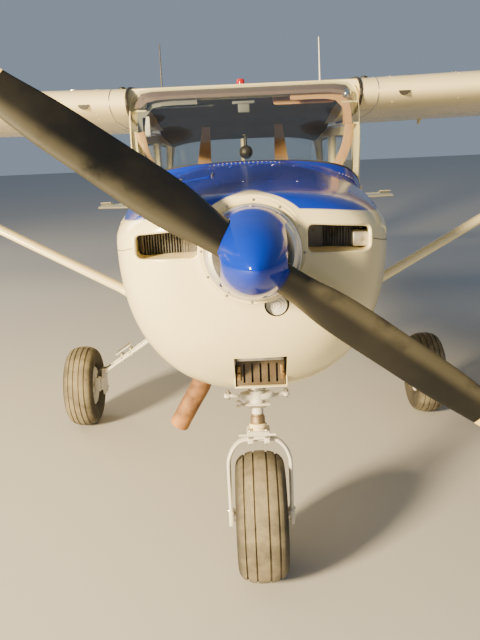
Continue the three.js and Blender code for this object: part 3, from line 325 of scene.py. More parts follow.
def rod(start: Sequence[float], end: Sequence[float], radius: float, end_radius: float | None = None,
        sides: int = 20, edge: float = 0.0) -> Form:
    """Returns a straight bar between two points.

    Args:
        start: Its first end.
        end: Its other end.
        radius: Its radius.
        end_radius: Its radius at the other end, if that differs.
        sides: How many sides it has.
        edge: The size of the chamfer at its ends.
    Returns:
        The bar.
    """
    a, b = np.asarray(start, float), np.asarray(end, float)
    last = radius if end_radius is None else end_radius
    if not edge:
        return tube((a, b), (radius, last), sides)
    way = unit(b - a) * edge
    return tube((a, a + way, b - way, b), (radius - edge, radius, last, last - edge), sides)


AXES = {"x": (1, 2, 0), "y": (2, 0, 1), "z": (0, 1, 2)}


def place(axis: str, flat: np.ndarray, along: float | np.ndarray, centre: Sequence[float]) -> np.ndarray:
    """Returns points of a plane set square to an axis, at a distance along it."""
    u, v, w = AXES[axis]
    out = np.zeros((len(flat), 3))
    out[:, u] = flat[:, 0]
    out[:, v] = flat[:, 1]
    out[:, w] = along
    return out + np.asarray(centre, float)


def lathe(profile: Path, axis: str, centre: Sequence[float] = (0, 0, 0), segments: int = 48) -> Form:
    """Spins a profile about an axis.

    Args:
        profile: Pairs of radius and distance along the axis; it closes if its ends are the same.
        axis: The letter of the axis.
        centre: A point on the axis.
        segments: How many steps there are round it.
    Returns:
        The closed form.
    """
    rows = [tuple(map(float, row)) for row in profile]
    loop = rows[0] == rows[-1]
    rows = rows[:-1] if loop else rows
    rings = [place(axis, circle(segments, max(radius, 1e-7)), along, centre) for radius, along in rows]
    return loft(rings, caps=not loop, loop=loop)


def slab(axis: str, outline: Path, low: float, high: float) -> Form:
    """Returns a plate whose outline lies square to an axis, as [y, z], [x, z] or [x, y] pairs."""
    flat = np.asarray(outline, float)
    if axis == "y":
        flat = flat[:, ::-1]
    return loft([place(axis, flat, low, (0, 0, 0)), place(axis, flat, high, (0, 0, 0))])


def bevelled(form: Form, width: float, steps: int = 2) -> Form:
    """Rounds the edges of a form.

    Args:
        form: The form.
        width: The distance that the rounding takes from each edge.
        steps: How many steps it has.
    Returns:
        The rounded form.
    """
    mesh = plain_mesh("work", form.points, form.faces)
    work = welded(mesh, WELD)
    bpy.data.meshes.remove(mesh)
    edges = [e for e in work.edges
             if len(e.link_faces) == 2 and e.calc_face_angle(0) > EDGE_ANGLE]
    bmesh.ops.bevel(work, geom=edges, offset=width, segments=steps, profile=0.5, affect="EDGES",
                    clamp_overlap=True)
    work.verts.index_update()
    points = np.array([v.co[:] for v in work.verts])
    faces = [tuple(v.index for v in f.verts) for f in work.faces]
    work.free()
    return Form(points, faces)


def block(x: Sequence[float], y: Sequence[float], z: Sequence[float], edge: float = 0,
          steps: int = 2) -> Form:
    """Returns a box between two values on each axis, with rounded edges if edge is given."""
    base = [(x[0], y[0]), (x[1], y[0]), (x[1], y[1]), (x[0], y[1])]
    form = slab("z", base, min(z), max(z))
    return bevelled(form, edge, steps) if edge else form


def rounded(outline: Path, radius: float, steps: int = 6) -> np.ndarray:
    """Returns an outline with its corners rounded."""
    p = np.asarray(outline, float)
    parts = []
    for before, corner, after in zip(np.roll(p, 1, axis=0), p, np.roll(p, -1, axis=0)):
        a = corner + unit(before - corner) * min(radius, np.linalg.norm(before - corner) / 2)
        b = corner + unit(after - corner) * min(radius, np.linalg.norm(after - corner) / 2)
        t = np.linspace(0, 1, steps + 1)[:, None]
        parts.append((1 - t) ** 2 * a + 2 * t * (1 - t) * corner + t**2 * b)
    return np.vstack(parts)


def shrink(outline: Path, distance: float) -> np.ndarray:
    """Returns a convex outline with each edge moved inwards, or outwards for a negative distance."""
    p = np.asarray(outline, float)
    after = np.roll(p, -1, axis=0)
    area = (p[:, 0] * after[:, 1] - after[:, 0] * p[:, 1]).sum()
    along = unit(after - p)
    start = p + np.column_stack((-along[:, 1], along[:, 0])) * distance * (1 if area > 0 else -1)
    found = []
    for i in range(len(p)):
        a, da, b, db = start[i - 1], along[i - 1], start[i], along[i]
        reach = np.linalg.solve(np.column_stack((da, -db)), b - a)[0]
        found.append(a + da * reach)
    return np.array(found)


class Op(Enum):
    """What a carve does with its tool."""

    AWAY = "DIFFERENCE"
    KEEP = "INTERSECT"
    WITH = "UNION"


def carve(form: Form, tool: Form, op: Op = Op.AWAY) -> Form:
    """Cuts a closed form with another one.

    Args:
        form: The form to cut.
        tool: The closed form that cuts.
        op: Whether the tool is taken away, is all that is kept, or is joined on.
    Returns:
        What is left.
    """
    pair = []
    for shape in (form, tool):
        mesh = plain_mesh("work", shape.points, shape.faces)
        work = welded(mesh, WELD)
        work.to_mesh(mesh)
        work.free()
        pair.append(stand("work", mesh))
    modifier = pair[0].modifiers.new("carve", "BOOLEAN")
    modifier.object = pair[1]
    modifier.operation = op.value
    modifier.solver = "EXACT"
    result = result_of(pair[0])
    found = Form(points_of(result), [tuple(face.vertices) for face in result.polygons])
    for thing in pair:
        old = thing.data
        bpy.data.objects.remove(thing)
        bpy.data.meshes.remove(old)
    bpy.data.meshes.remove(result)
    return found


def steady(x: np.ndarray, y: np.ndarray, at: np.ndarray) -> np.ndarray:
    """Reads a smooth curve through rows that never swings past them.

    Args:
        x: The rows' places, rising.
        y: The rows' values.
        at: Where to read.
    Returns:
        The values.
    """
    step = np.diff(x)
    rise = np.diff(y) / step
    slope = np.zeros(len(x))
    near, far = rise[:-1], rise[1:]
    same = near * far > 0
    w1, w2 = 2 * step[1:] + step[:-1], step[1:] + 2 * step[:-1]
    with np.errstate(divide="ignore", invalid="ignore"):
        slope[1:-1] = np.where(same, (w1 + w2) / (w1 / near + w2 / far), 0)
    slope[0], slope[-1] = rise[0], rise[-1]
    at = np.clip(at, x[0], x[-1])
    i = np.clip(np.searchsorted(x, at) - 1, 0, len(step) - 1)
    t = (at - x[i]) / step[i]
    return ((2 * t**3 - 3 * t**2 + 1) * y[i] + (t**3 - 2 * t**2 + t) * step[i] * slope[i]
            + (3 * t**2 - 2 * t**3) * y[i + 1] + (t**3 - t**2) * step[i] * slope[i + 1])


# Finishes

class Sock:
    """A node's value; sums, products and the like of it add Math nodes."""

    def __init__(self, wiring: "Wiring", socket: bpy.types.NodeSocket) -> None:
        """Keeps the node tree's wiring and the socket."""
        self.wiring = wiring
        self.socket = socket

    def math(self, operation: str, *others: "Sock | float", flip: bool = False) -> "Sock":
        """Returns the value of a Math node on this value and others, swapped if flip is set."""
        values = [self, *others]
        if flip:
            values.reverse()
        return self.wiring.node("ShaderNodeMath", {"operation": operation}, dict(enumerate(values)))

    def __add__(self, other: "Sock | float") -> "Sock":
        """Returns the sum."""
        return self.math("ADD", other)

    __radd__ = __add__

    def __sub__(self, other: "Sock | float") -> "Sock":
        """Returns the difference."""
        return self.math("SUBTRACT", other)

    def __rsub__(self, other: float) -> "Sock":
        """Returns a number less this value."""
        return self.math("SUBTRACT", other, flip=True)

    def __mul__(self, other: "Sock | float") -> "Sock":
        """Returns the product."""
        return self.math("MULTIPLY", other)

    __rmul__ = __mul__

    def __abs__(self) -> "Sock":
        """Returns the size without its sign."""
        return self.math("ABSOLUTE")

    def over(self, edge: float, soft: float) -> "Sock":
        """Returns 0 below an edge and 1 above it, with a soft step of the given width."""
        ends = {"Value": self, "From Min": edge - soft / 2, "From Max": edge + soft / 2}
        return self.wiring.node("ShaderNodeMapRange", {"interpolation_type": "SMOOTHSTEP"}, ends)

    def under(self, edge: float, soft: float) -> "Sock":
        """Returns 1 below an edge and 0 above it."""
        return 1 - self.over(edge, soft)

    def either(self, other: "Sock") -> "Sock":
        """Returns the larger of two masks."""
        return self.math("MAXIMUM", other)


Colour = tuple[float, float, float]
THRUST_Z = 1275.0
THRUST = THRUST_Z * MM
BLADE_TILT = -36.0


class Wiring:
    """A node tree while it is made."""

    def __init__(self, tree: bpy.types.NodeTree) -> None:
        """Keeps the tree."""
        self.tree = tree

    def node(self, kind: str, settings: dict | None = None, inputs: dict | None = None,
             output: str | int = 0) -> Sock:
        """Adds a node.

        Args:
            kind: The node's type.
            settings: Its properties, set first; "stops" are a ramp's places and colours.
            inputs: The values or links of its sockets, by name or number.
            output: The output that is returned.
        Returns:
            The output.
        """
        made = self.tree.nodes.new(kind)
        for key, value in (settings or {}).items():
            if key == "stops":
                while len(made.color_ramp.elements) < len(value):
                    made.color_ramp.elements.new(0.5)
                for element, (spot, colour) in zip(made.color_ramp.elements, value):
                    element.position = spot
                    element.color = (*colour, 1)
            else:
                setattr(made, key, value)
        for key, value in (inputs or {}).items():
            socket = made.inputs[key]
            if isinstance(value, Sock):
                self.tree.links.new(value.socket, socket)
            elif socket.type == "RGBA" and len(value) == 3:
                socket.default_value = (*value, 1)
            else:
                socket.default_value = value
        return Sock(self, made.outputs[output])


class Recipe(Wiring):
    """A material's nodes while it is made."""

    def __init__(self, name: str) -> None:
        """Makes an empty material of that name."""
        self.material = bpy.data.materials.new(name)
        self.material.use_nodes = True
        super().__init__(self.material.node_tree)
        self.tree.nodes.clear()

    def place(self) -> Sock:
        """Returns the point on the surface in the row frame."""
        return self.node("ShaderNodeTexCoord", output="Object")

    def axes(self) -> tuple[Sock, Sock, Sock]:
        """Returns the point's x, y and z."""
        split = self.node("ShaderNodeSeparateXYZ", inputs={0: self.place()})
        return tuple(Sock(self, output) for output in split.socket.node.outputs)

    def noise(self, scale: float, detail: float = 3, rough: float = 0.5, stretch: Colour = (1, 1, 1),
              swirl: float = 0) -> Sock:
        """Returns a noise value.

        Args:
            scale: Cells in a metre.
            detail: Its octaves.
            rough: The share of the finer octaves.
            stretch: How much faster it changes along each axis.
            swirl: Its distortion.
        Returns:
            The value, about 0.5 in the middle.
        """
        where = self.node("ShaderNodeMapping", inputs={"Vector": self.place(), "Scale": stretch})
        return self.node("ShaderNodeTexNoise", inputs={
            "Vector": where, "Scale": scale, "Detail": detail, "Roughness": rough, "Distortion": swirl})

    def ramp(self, value: Sock, stops: Sequence[tuple[float, Colour]]) -> Sock:
        """Returns the colour that a value has on a ramp."""
        return self.node("ShaderNodeValToRGB", {"stops": stops}, {0: value})

    def mix(self, share: Sock | float, a: Sock | Colour, b: Sock | Colour) -> Sock:
        """Returns a blend of two colours."""
        return self.node("ShaderNodeMix", {"data_type": "RGBA"}, {0: share, 6: a, 7: b}, output=2)

    def bump(self, height: Sock, depth: float) -> Sock:
        """Returns the normal that a height gives; depth is what a height of 1 stands for, in metres."""
        return self.node("ShaderNodeBump", inputs={"Strength": 1.0, "Distance": depth, "Height": height})

    def shader(self, **sockets: "Sock | float | Colour") -> bpy.types.Material:
        """Ends the recipe in one Principled shader.

        Args:
            **sockets: Its values, with an underscore for each space.
        Returns:
            The material.
        """
        named = {key.replace("_", " "): value for key, value in sockets.items()}
        return self.end(self.node("ShaderNodeBsdfPrincipled", inputs=named))

    def end(self, surface: Sock) -> bpy.types.Material:
        """Ends the recipe in a surface and returns the material."""
        output = self.tree.nodes.new("ShaderNodeOutputMaterial")
        self.tree.links.new(surface.socket, output.inputs[0])
        return self.material


def shade(red: float, green: float, blue: float) -> Colour:
    """Returns a screen colour of 0 to 255 as light."""
    parts = [c / 255 for c in (red, green, blue)]
    return tuple(c / 12.92 if c <= 0.04045 else ((c + 0.055) / 1.055) ** 2.4 for c in parts)


@dataclass(frozen=True)
class Finish:
    """A surface finish and the record's slot that it belongs to."""

    name: str
    slot: str

    def build(self, recipe: Recipe) -> bpy.types.Material:
        """Returns the finished material."""
        raise NotImplementedError


@dataclass(frozen=True)
class Enamel(Finish):
    """Glossy paint with film, streaks, chips and a faint ripple of the sheet under it."""

    colour: Colour
    gloss: float = 0.2
    film: float = 0.22
    streaks: Colour = (1, 0.16, 1)
    ripple: float = 0.0016

    def base(self, recipe: Recipe) -> Sock | Colour:
        """Returns the clean paint's colour."""
        return self.colour

    def build(self, recipe: Recipe) -> bpy.types.Material:
        """Returns the paint."""
        cloud = recipe.noise(2.6, 5, 0.62)
        streak = recipe.noise(13, 5, 0.68, self.streaks, 0.3)
        speck = recipe.noise(210, 2, 0.5)
        film = ((cloud - 0.35) * (streak + 0.25) * 1.6 * self.film).math("MAXIMUM", 0.0)
        tint = recipe.mix(film, self.base(recipe), shade(128, 112, 84))
        chips = speck.over(0.765, 0.02) * recipe.noise(8, 3, 0.6).over(0.6, 0.1)
        tint = recipe.mix(chips * 0.6, tint, shade(92, 88, 80))
        rough = recipe.noise(34, 4, 0.6) * 0.16 + film * 0.5 + chips * 0.4 + (self.gloss - 0.06)
        relief = recipe.noise(5.5, 2, 0.4) + recipe.noise(420, 1) * 0.02 - chips * 0.12
        return recipe.shader(Base_Color=tint, Roughness=rough, Normal=recipe.bump(relief, self.ripple),
                             Coat_Weight=0.25, Coat_Roughness=0.08)


@dataclass(frozen=True)
class Livery(Enamel):
    """The fuselage paint: blue over white, with a white arch round the propeller collar.

    Its places are in metres, in the row frame.
    """

    blue: Colour = (0.0, 0.022, 0.38)
    deck_z: float = 1.382
    deck_fall: float = 0.27
    deck_end: float = -1.86
    arch_radius: float = 0.149
    arch_end: float = -2.882
    arch_width: float = 0.8
    band: tuple[float, float] = (1.262, 1.357)
    pin: tuple[float, float] = (1.223, 1.238)
    fall: float = 0.083

    def base(self, recipe: Recipe) -> Sock:
        """Returns white with the blue upper deck, its arch and the band along the sides."""
        x, y, z = recipe.axes()
        soft, fine = 0.004, 0.003
        deck = (z + x * x * self.deck_fall).over(self.deck_z, soft) * y.under(self.deck_end, soft)
        away = (x * x * self.arch_width + (z - THRUST) * (z - THRUST)).math("SQRT")
        arch = away.under(self.arch_radius, soft) * y.under(self.arch_end, fine)
        drop = (y - self.deck_end) * self.fall
        upper = (z + drop).under(self.band[1], soft)
        lower = (z + drop * 0.35).over(self.band[0], soft)
        band = upper * lower * y.over(self.deck_end, soft)
        pin = (z + drop * 0.2).under(self.pin[1], fine) * (z + drop * 0.2).over(self.pin[0], fine)
        mask = (deck * (1 - arch)).either(band).either(pin * y.over(self.deck_end, soft))
        return recipe.mix(mask, self.colour, self.blue)


@dataclass(frozen=True)
class Metal(Finish):
    """Bare metal, polished or brushed, with smears of grime."""

    colour: Colour
    rough: float
    grime: float = 0.3
    grain: Colour = (1, 1, 1)

    def build(self, recipe: Recipe) -> bpy.types.Material:
        """Returns the metal."""
        line = recipe.noise(160, 3, 0.6, self.grain)
        smear = recipe.noise(11, 5, 0.65).over(0.56, 0.2) * self.grime
        tint = recipe.mix(smear, self.colour, shade(74, 66, 56))
        rough = line * 0.14 + smear * 0.5 + (self.rough - 0.05)
        return recipe.shader(Base_Color=tint, Roughness=rough, Metallic=1 - smear * 0.7,
                             Normal=recipe.bump(line, 0.0003))


@dataclass(frozen=True)
class Rust(Finish):
    """Exhaust steel burnt brown, with pale ash and dark scale."""

    def build(self, recipe: Recipe) -> bpy.types.Material:
        """Returns the rust."""
        patch = recipe.noise(24, 6, 0.66, swirl=0.6)
        _, _, z = recipe.axes()
        tint = recipe.ramp(patch, [(0.3, shade(84, 58, 38)), (0.46, shade(122, 86, 54)),
                                   (0.6, shade(146, 106, 68)), (0.75, shade(162, 124, 86))])
        tint = recipe.mix(z.under(0.668, 0.03) * 0.7, tint, shade(186, 132, 78))
        grit = recipe.noise(300, 3)
        return recipe.shader(Base_Color=tint, Roughness=patch * 0.3 + 0.55, Metallic=0.25,
                             Normal=recipe.bump(grit + patch, 0.0009))


@dataclass(frozen=True)
class BladePaint(Finish):
    """Satin black propeller paint with a little dust, a grey-olive painted highlight along each leading
    edge, and pale tips.
    """

    tip: float = 0.712

    def build(self, recipe: Recipe) -> bpy.types.Material:
        """Returns the paint."""
        x, _, z = recipe.axes()
        tilt = math.radians(BLADE_TILT)
        out = x * math.cos(tilt) + (z - THRUST) * math.sin(tilt)
        across = (z - THRUST) * math.cos(tilt) - x * math.sin(tilt)
        front = across * out.math("SIGN")
        # Painted highlight: a grey-olive band along each blade's leading edge stands for the light caught on
        # that edge.
        edge = front.over(0.016, 0.03) * recipe.noise(9, 4, 0.6).over(0.36, 0.3)
        dust = recipe.noise(5, 4, 0.55).over(0.5, 0.4)
        tint = recipe.mix(dust * 0.1, shade(12, 12, 12), shade(80, 74, 58))
        # Mixes in the grey-olive painted highlight along the leading edge.
        tint = recipe.mix(edge * 0.3, tint, shade(98, 94, 76))
        tint = recipe.mix(abs(out).over(self.tip, 0.002), tint, shade(226, 204, 128))
        rough = dust * 0.12 + edge * 0.12 + 0.34
        return recipe.shader(Base_Color=tint, Roughness=rough, Specular_IOR_Level=0.34,
                             Normal=recipe.bump(recipe.noise(22, 2), 0.0004))


@dataclass(frozen=True)
class Tyre(Finish):
    """Black rubber, grey-tan with dust on the tread and scuffed on the sidewalls."""

    axle_y: float = -2.52
    axle_z: float = 0.232
    tread: float = 0.212

    def build(self, recipe: Recipe) -> bpy.types.Material:
        """Returns the rubber."""
        _, y, z = recipe.axes()
        up, back = z - self.axle_z, y - self.axle_y
        reach = (up * up + back * back).math("SQRT")
        worn = reach.over(self.tread, 0.03)
        cloud = recipe.noise(16, 6, 0.68)
        patch = recipe.noise(7, 5, 0.7).over(0.5, 0.3)
        dust = (worn * 0.36 + 0.1) * (cloud * 0.6 + patch * 0.7 + 0.2)
        tint = recipe.mix(dust, shade(34, 32, 29), shade(176, 164, 136))
        scuff = recipe.noise(90, 4, 0.7).over(0.6, 0.12) * worn
        tint = recipe.mix(scuff * 0.35, tint, shade(96, 88, 76))
        rings = (reach * 560).math("SINE") * (1 - worn) * 0.12
        return recipe.shader(Base_Color=tint, Roughness=0.9 - cloud * 0.12,
                             Normal=recipe.bump(recipe.noise(500, 3) * 0.5 + rings, 0.0012))


@dataclass(frozen=True)
class Moulded(Finish):
    """Plastic, rubber or leathery trim with a pebbled grain."""

    colour: Colour
    rough: float = 0.6
    grain: float = 420
    depth: float = 0.0004
    dust: float = 0.2

    def build(self, recipe: Recipe) -> bpy.types.Material:
        """Returns the trim."""
        pebble = recipe.node("ShaderNodeTexVoronoi", inputs={"Vector": recipe.place(), "Scale": self.grain})
        cloud = recipe.noise(14, 5, 0.6)
        dusty = (cloud - 0.3).math("MAXIMUM", 0.0) * self.dust * 2
        tint = recipe.mix(dusty, self.colour, shade(170, 158, 136))
        return recipe.shader(Base_Color=tint, Roughness=cloud * 0.2 + self.rough - 0.1,
                             Normal=recipe.bump(pebble, self.depth))


@dataclass(frozen=True)
class Woven(Finish):
    """Woven cloth with its warp and weft, faded in patches."""

    colour: Colour
    pitch: float = 900

    def build(self, recipe: Recipe) -> bpy.types.Material:
        """Returns the cloth."""
        x, y, z = recipe.axes()
        warp = (x * self.pitch * math.tau).math("SINE")
        weft = ((y + z) * self.pitch * math.tau).math("SINE")
        weave = warp * weft * 0.5 + 0.5
        fade = recipe.noise(6, 4, 0.6)
        tint = recipe.mix(fade * 0.5 + weave * 0.2, self.colour, shade(206, 180, 138))
        return recipe.shader(Base_Color=tint, Roughness=0.86 + fade * 0.1, Sheen_Weight=0.4,
                             Normal=recipe.bump(weave + recipe.noise(60, 3), 0.0006))


@dataclass(frozen=True)
class Glass(Finish):
    """Clear acrylic that shows the cabin and mirrors the sky at a slant, with a dusty film."""

    tint: Colour = (0.955, 0.97, 0.965)

    def build(self, recipe: Recipe) -> bpy.types.Material:
        """Returns the glazing."""
        haze = recipe.noise(9, 5, 0.6).over(0.55, 0.35)
        slant = recipe.node("ShaderNodeFresnel", inputs={"IOR": 1.45})
        clear = recipe.node("ShaderNodeBsdfTransparent", inputs={"Color": self.tint})
        mirror = recipe.node("ShaderNodeBsdfPrincipled", inputs={
            "Base Color": shade(226, 230, 228), "Roughness": haze * 0.08 + 0.015, "Metallic": 1.0})
        share = slant * 0.26 + haze * 0.006
        return recipe.end(recipe.node("ShaderNodeMixShader", inputs={0: share, 1: clear, 2: mirror}))


@dataclass(frozen=True)
class Lens(Finish):
    """Coloured lamp glass with moulded ribs."""

    colour: Colour

    def build(self, recipe: Recipe) -> bpy.types.Material:
        """Returns the lens."""
        _, _, z = recipe.axes()
        ribs = (z * 900).math("SINE") * 0.5 + 0.5
        tint = recipe.mix(ribs * 0.35, self.colour, tuple(c * 0.5 for c in self.colour))
        return recipe.shader(Base_Color=tint, Roughness=recipe.noise(40) * 0.1 + 0.05,
                             Normal=recipe.bump(ribs, 0.0008), Coat_Weight=0.6)


CREAM = (0.86, 0.76, 0.46)
LIVERY = Livery("fuselage_livery", "white_paint", CREAM, gloss=0.14, film=0.12)
WHITE = Enamel("wing_white", "white_paint", CREAM, streaks=(1, 0.16, 1))
BLUE = Enamel("spinner_blue", "blue_paint", (0.0, 0.022, 0.38), gloss=0.11, film=0.03)
GEAR_WHITE = Enamel("gear_white", "gear_white", (0.78, 0.765, 0.70), gloss=0.28, film=0.6,
                    streaks=(1, 1, 0.2))
POLISHED = Metal("polished_aluminium", "bare_metal", (0.80, 0.80, 0.79), 0.16, 0.18)
SPUN = Metal("spun_aluminium", "bare_metal", (0.90, 0.87, 0.82), 0.34, 0.1)
BARE = Metal("bare_aluminium", "bare_metal", (0.66, 0.66, 0.65), 0.34, 0.35)
STEEL = Metal("plated_steel", "bare_metal", (0.56, 0.53, 0.47), 0.3, 0.45)
ENGINE = Metal("engine_castings", "engine_metal", (0.20, 0.20, 0.20), 0.5, 0.6)
BAFFLE = Metal("baffle_sheet", "engine_metal", (0.62, 0.62, 0.60), 0.36, 0.3)
BRASS = Metal("dull_brass", "bare_metal", (0.46, 0.30, 0.12), 0.36, 0.5)
RUST = Rust("burnt_steel", "rusty_steel")
BLADE = BladePaint("propeller_black", "propeller_black")
TYRE_NOSE = Tyre("nose_tyre_rubber", "tyre_rubber")
TYRE_MAIN = Tyre("main_tyre_rubber", "tyre_rubber", -1.02, 0.225, 0.205)
SEAL = Moulded("black_seal", "cabin_black", shade(24, 24, 25), 0.62, 300, 0.0003, 0.12)
BLACK = Moulded("black_trim", "cabin_black", shade(20, 20, 21), 0.5, 520, 0.0003, 0.1)
HEADER = Moulded("header_cloth", "cabin_black", shade(116, 98, 92), 0.8, 700, 0.0004, 0.1)
HEADLINER = Moulded("headliner", "cabin_black", shade(72, 54, 44), 0.85, 900, 0.0005, 0.1)
TAN = Moulded("tan_trim", "tan_fabric", shade(206, 158, 104), 0.72, 380, 0.0004, 0.2)
STRAP = Woven("strap_webbing", "tan_fabric", shade(238, 176, 98), 600)
# Grey plastic of the panel and console, and also the painted shade of the tan trim on the cabin's right
# side.
GREY_AND_SHADED_TRIM = Moulded("grey_and_shaded_trim", "cabin_black", shade(116, 118, 116), 0.7, 380, 0.0004, 0.2)
GRIP = Moulded("anti_slip", "cabin_black", shade(96, 96, 94), 0.95, 260, 0.0016, 0.5)
FILTER = Moulded("filter_housing", "filter_metal", shade(70, 56, 38), 0.6, 260, 0.0006, 0.25)
SEAT_CLOTH = Woven("seat_cloth", "tan_fabric", shade(142, 104, 66))
GLAZING = Glass("acrylic", "glazing")
RED = Lens("red_lens", "red_lens", shade(206, 22, 30))
GREEN = Lens("green_lens", "glazing", shade(20, 150, 70))
CLEAR = Lens("clear_lens", "glazing", shade(214, 220, 218))
PALE_AERIAL = Moulded("pale_aerial", "aerial_plastic", shade(222, 220, 210), 0.4, 300, 0.0002, 0.2)
BRONZE = Metal("dusty_bronze", "gear_white", (0.36, 0.27, 0.17), 0.5, 0.5)
DARK_AERIAL = Moulded("dark_aerial", "aerial_plastic", shade(34, 34, 36), 0.4, 300, 0.0002, 0.2)
DIAL = Moulded("dial_face", "cabin_black", shade(12, 12, 13), 0.3, 900, 0.0001, 0.05)
MARKS = Moulded("dial_marks", "cabin_black", shade(228, 226, 214), 0.5, 900, 0.0001, 0.05)


class Head(Enum):
    """The head of a fastener."""

    DOME = "dome"
    SCREW = "screw"
    HEX = "hex"


@dataclass
class Fasteners:
    """Rows of fastener heads for one body, set on their points by Geometry Nodes."""

    name: str
    body: str
    head: Head
    finish: Finish
    radius: float
    height: float
    seed: int = 7
    sizes: tuple[float, float] = (0.93, 1.05)
    points: list[np.ndarray] = field(default_factory=list)
    aims: list[np.ndarray] = field(default_factory=list)

    def add(self, points: Path, aims: Path) -> None:
        """Adds heads at points in millimetres, each facing its aim."""
        spots = np.atleast_2d(np.asarray(points, float))
        self.points.append(spots)
        self.aims.append(np.broadcast_to(np.asarray(aims, float), spots.shape))

    def row(self, points: np.ndarray, lift: float = 0) -> None:
        """Adds heads along the hull's skin, raised by a lift."""
        aims = HULL.normals(points)
        self.add(points + aims * lift, aims)

    def group(self) -> tuple[bpy.types.NodeTree, dict[str, str]]:
        """Returns the node group, and the identifiers of its inputs by name."""
        tree = bpy.data.node_groups.new(f"{self.name}_group", "GeometryNodeTree")
        face = tree.interface
        for title, kind in (("Geometry", "Geometry"), ("Radius", "Float"), ("Height", "Float"),
                            ("Seed", "Int"), ("Material", "Material")):
            face.new_socket(title, in_out="INPUT", socket_type=f"NodeSocket{kind}")
        face.new_socket("Geometry", in_out="OUTPUT", socket_type="NodeSocketGeometry")
        known = {item.name: item.identifier for item in face.items_tree if item.in_out == "INPUT"}
        wiring = Wiring(tree)
        entry = tree.nodes.new("NodeGroupInput")
        given = {title: Sock(wiring, entry.outputs[title]) for title in known}
        aim = wiring.node("GeometryNodeInputNamedAttribute", {"data_type": "FLOAT_VECTOR"}, {"Name": "aim"},
                          "Attribute")
        turn = wiring.node("FunctionNodeAlignRotationToVector", {"axis": "Z"}, {"Vector": aim}, "Rotation")
        vary = wiring.node("FunctionNodeRandomValue", {"data_type": "FLOAT"},
                           {2: self.sizes[0], 3: self.sizes[1], "Seed": given["Seed"]}, 1)
        spread = wiring.node("GeometryNodeInstanceOnPoints", inputs={
            "Points": given["Geometry"], "Instance": self.shape(wiring, given["Radius"], given["Height"]),
            "Rotation": turn, "Scale": vary})
        real = wiring.node("GeometryNodeRealizeInstances", inputs={0: spread})
        dressed = wiring.node("GeometryNodeSetMaterial",
                              inputs={"Geometry": real, "Material": given["Material"]})
        tree.links.new(dressed.socket, tree.nodes.new("NodeGroupOutput").inputs[0])
        return tree, known

    def shape(self, wiring: Wiring, radius: Sock, height: Sock) -> Sock:
        """Adds the nodes of one head and returns its geometry."""
        if self.head is Head.DOME:
            ball = wiring.node("GeometryNodeMeshUVSphere", inputs={"Segments": 8, "Rings": 5, "Radius": 1.0})
            size = wiring.node("ShaderNodeCombineXYZ", inputs={0: radius, 1: radius, 2: height})
            dome = wiring.node("GeometryNodeTransform", inputs={"Geometry": ball, "Scale": size})
            return wiring.node("GeometryNodeSetShadeSmooth", inputs={0: dome})
        parts = wiring.node("GeometryNodeJoinGeometry")
        for share, sides, rise in ((1.0, 6 if self.head is Head.HEX else 14, 1.0), (1.5, 14, 0.35)):
            wide = radius * share
            disc = wiring.node("GeometryNodeMeshCone", inputs={
                "Vertices": sides, "Radius Top": wide * 0.86, "Radius Bottom": wide,
                "Depth": height * (rise * 2)})
            drop = wiring.node("ShaderNodeCombineXYZ", inputs={2: height * -rise})
            lower = wiring.node("GeometryNodeTransform", inputs={"Geometry": disc, "Translation": drop})
            wiring.tree.links.new(lower.socket, parts.socket.node.inputs[0])
        return parts

    def build(self, shop: "Workshop") -> None:
        """Makes the heads as one plain piece on their body."""
        if not self.points:
            return
        mesh = plain_mesh(f"{self.name}_points", (np.vstack(self.points) - (0, MIDDLE_Y, 0)) * MM, [])
        aims = mesh.attributes.new("aim", "FLOAT_VECTOR", "POINT")
        aims.data.foreach_set("vector", unit(np.vstack(self.aims)).astype(np.float32).ravel())
        thing = stand(self.name, mesh)
        tree, known = self.group()
        modifier = thing.modifiers.new("heads", "NODES")
        modifier.node_group = tree
        values = {"Radius": self.radius * MM, "Height": self.height * MM, "Seed": self.seed,
                  "Material": shop.material(self.finish)}
        for title, value in values.items():
            modifier[known[title]] = value
        result = result_of(thing)
        thing.modifiers.remove(modifier)
        bpy.data.objects.remove(thing)
        shop.put(self.name, result, self.body, self.finish)


@dataclass
class Workshop:
    """Keeps the frame, makes each material once and puts pieces on their bodies."""

    frame: dict
    materials: dict[str, bpy.types.Material] = field(default_factory=dict)
    count: int = 0

    def material(self, finish: Finish) -> bpy.types.Material:
        """Returns a finish's material."""
        if finish.name not in self.materials:
            self.materials[finish.name] = finish.build(Recipe(finish.name))
        return self.materials[finish.name]

    def put(self, name: str, mesh: bpy.types.Mesh, body: str, finish: Finish,
            replaces: Sequence[str] = ()) -> bpy.types.Object:
        """Adds a finished mesh as a piece.

        Args:
            name: The piece's name.
            mesh: Its mesh in metres, in the row frame.
            body: The body that it rides on.
            finish: Its finish.
            replaces: The CAD nodes that it stands for.
        Returns:
            The piece.
        """
        mesh.materials.clear()
        mesh.materials.append(self.material(finish))
        thing = stand(name, mesh)
        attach(thing, body)
        if replaces:
            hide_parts(*replaces)
        self.count += 1
        log.info("%s: %d faces on %s", name, len(mesh.polygons), body)
        return thing

    def add(self, name: str, form: Form, body: str, finish: Finish, replaces: Sequence[str] = (),
            sharp: float = 32) -> bpy.types.Object:
        """Adds a form as a piece; sharp is the angle from which its edges stay sharp."""
        return self.put(name, form.mesh(name, sharp), body, finish, replaces)

    def skin(self, name: str, form: Form, body: str, finish: Finish,
             replaces: Sequence[str] = ()) -> bpy.types.Object:
        """Adds a form as a piece with the hull's own shading."""
        return self.put(name, HULL.polish(form.mesh(name)), body, finish, replaces)

    def dress(self, node: str, finish: Finish) -> None:
        """Gives a CAD node that stays in view a finish."""
        thing = self.frame["nodes"][node]
        thing.data.materials.clear()
        thing.data.materials.append(self.material(finish))


# The fuselage's outer shape

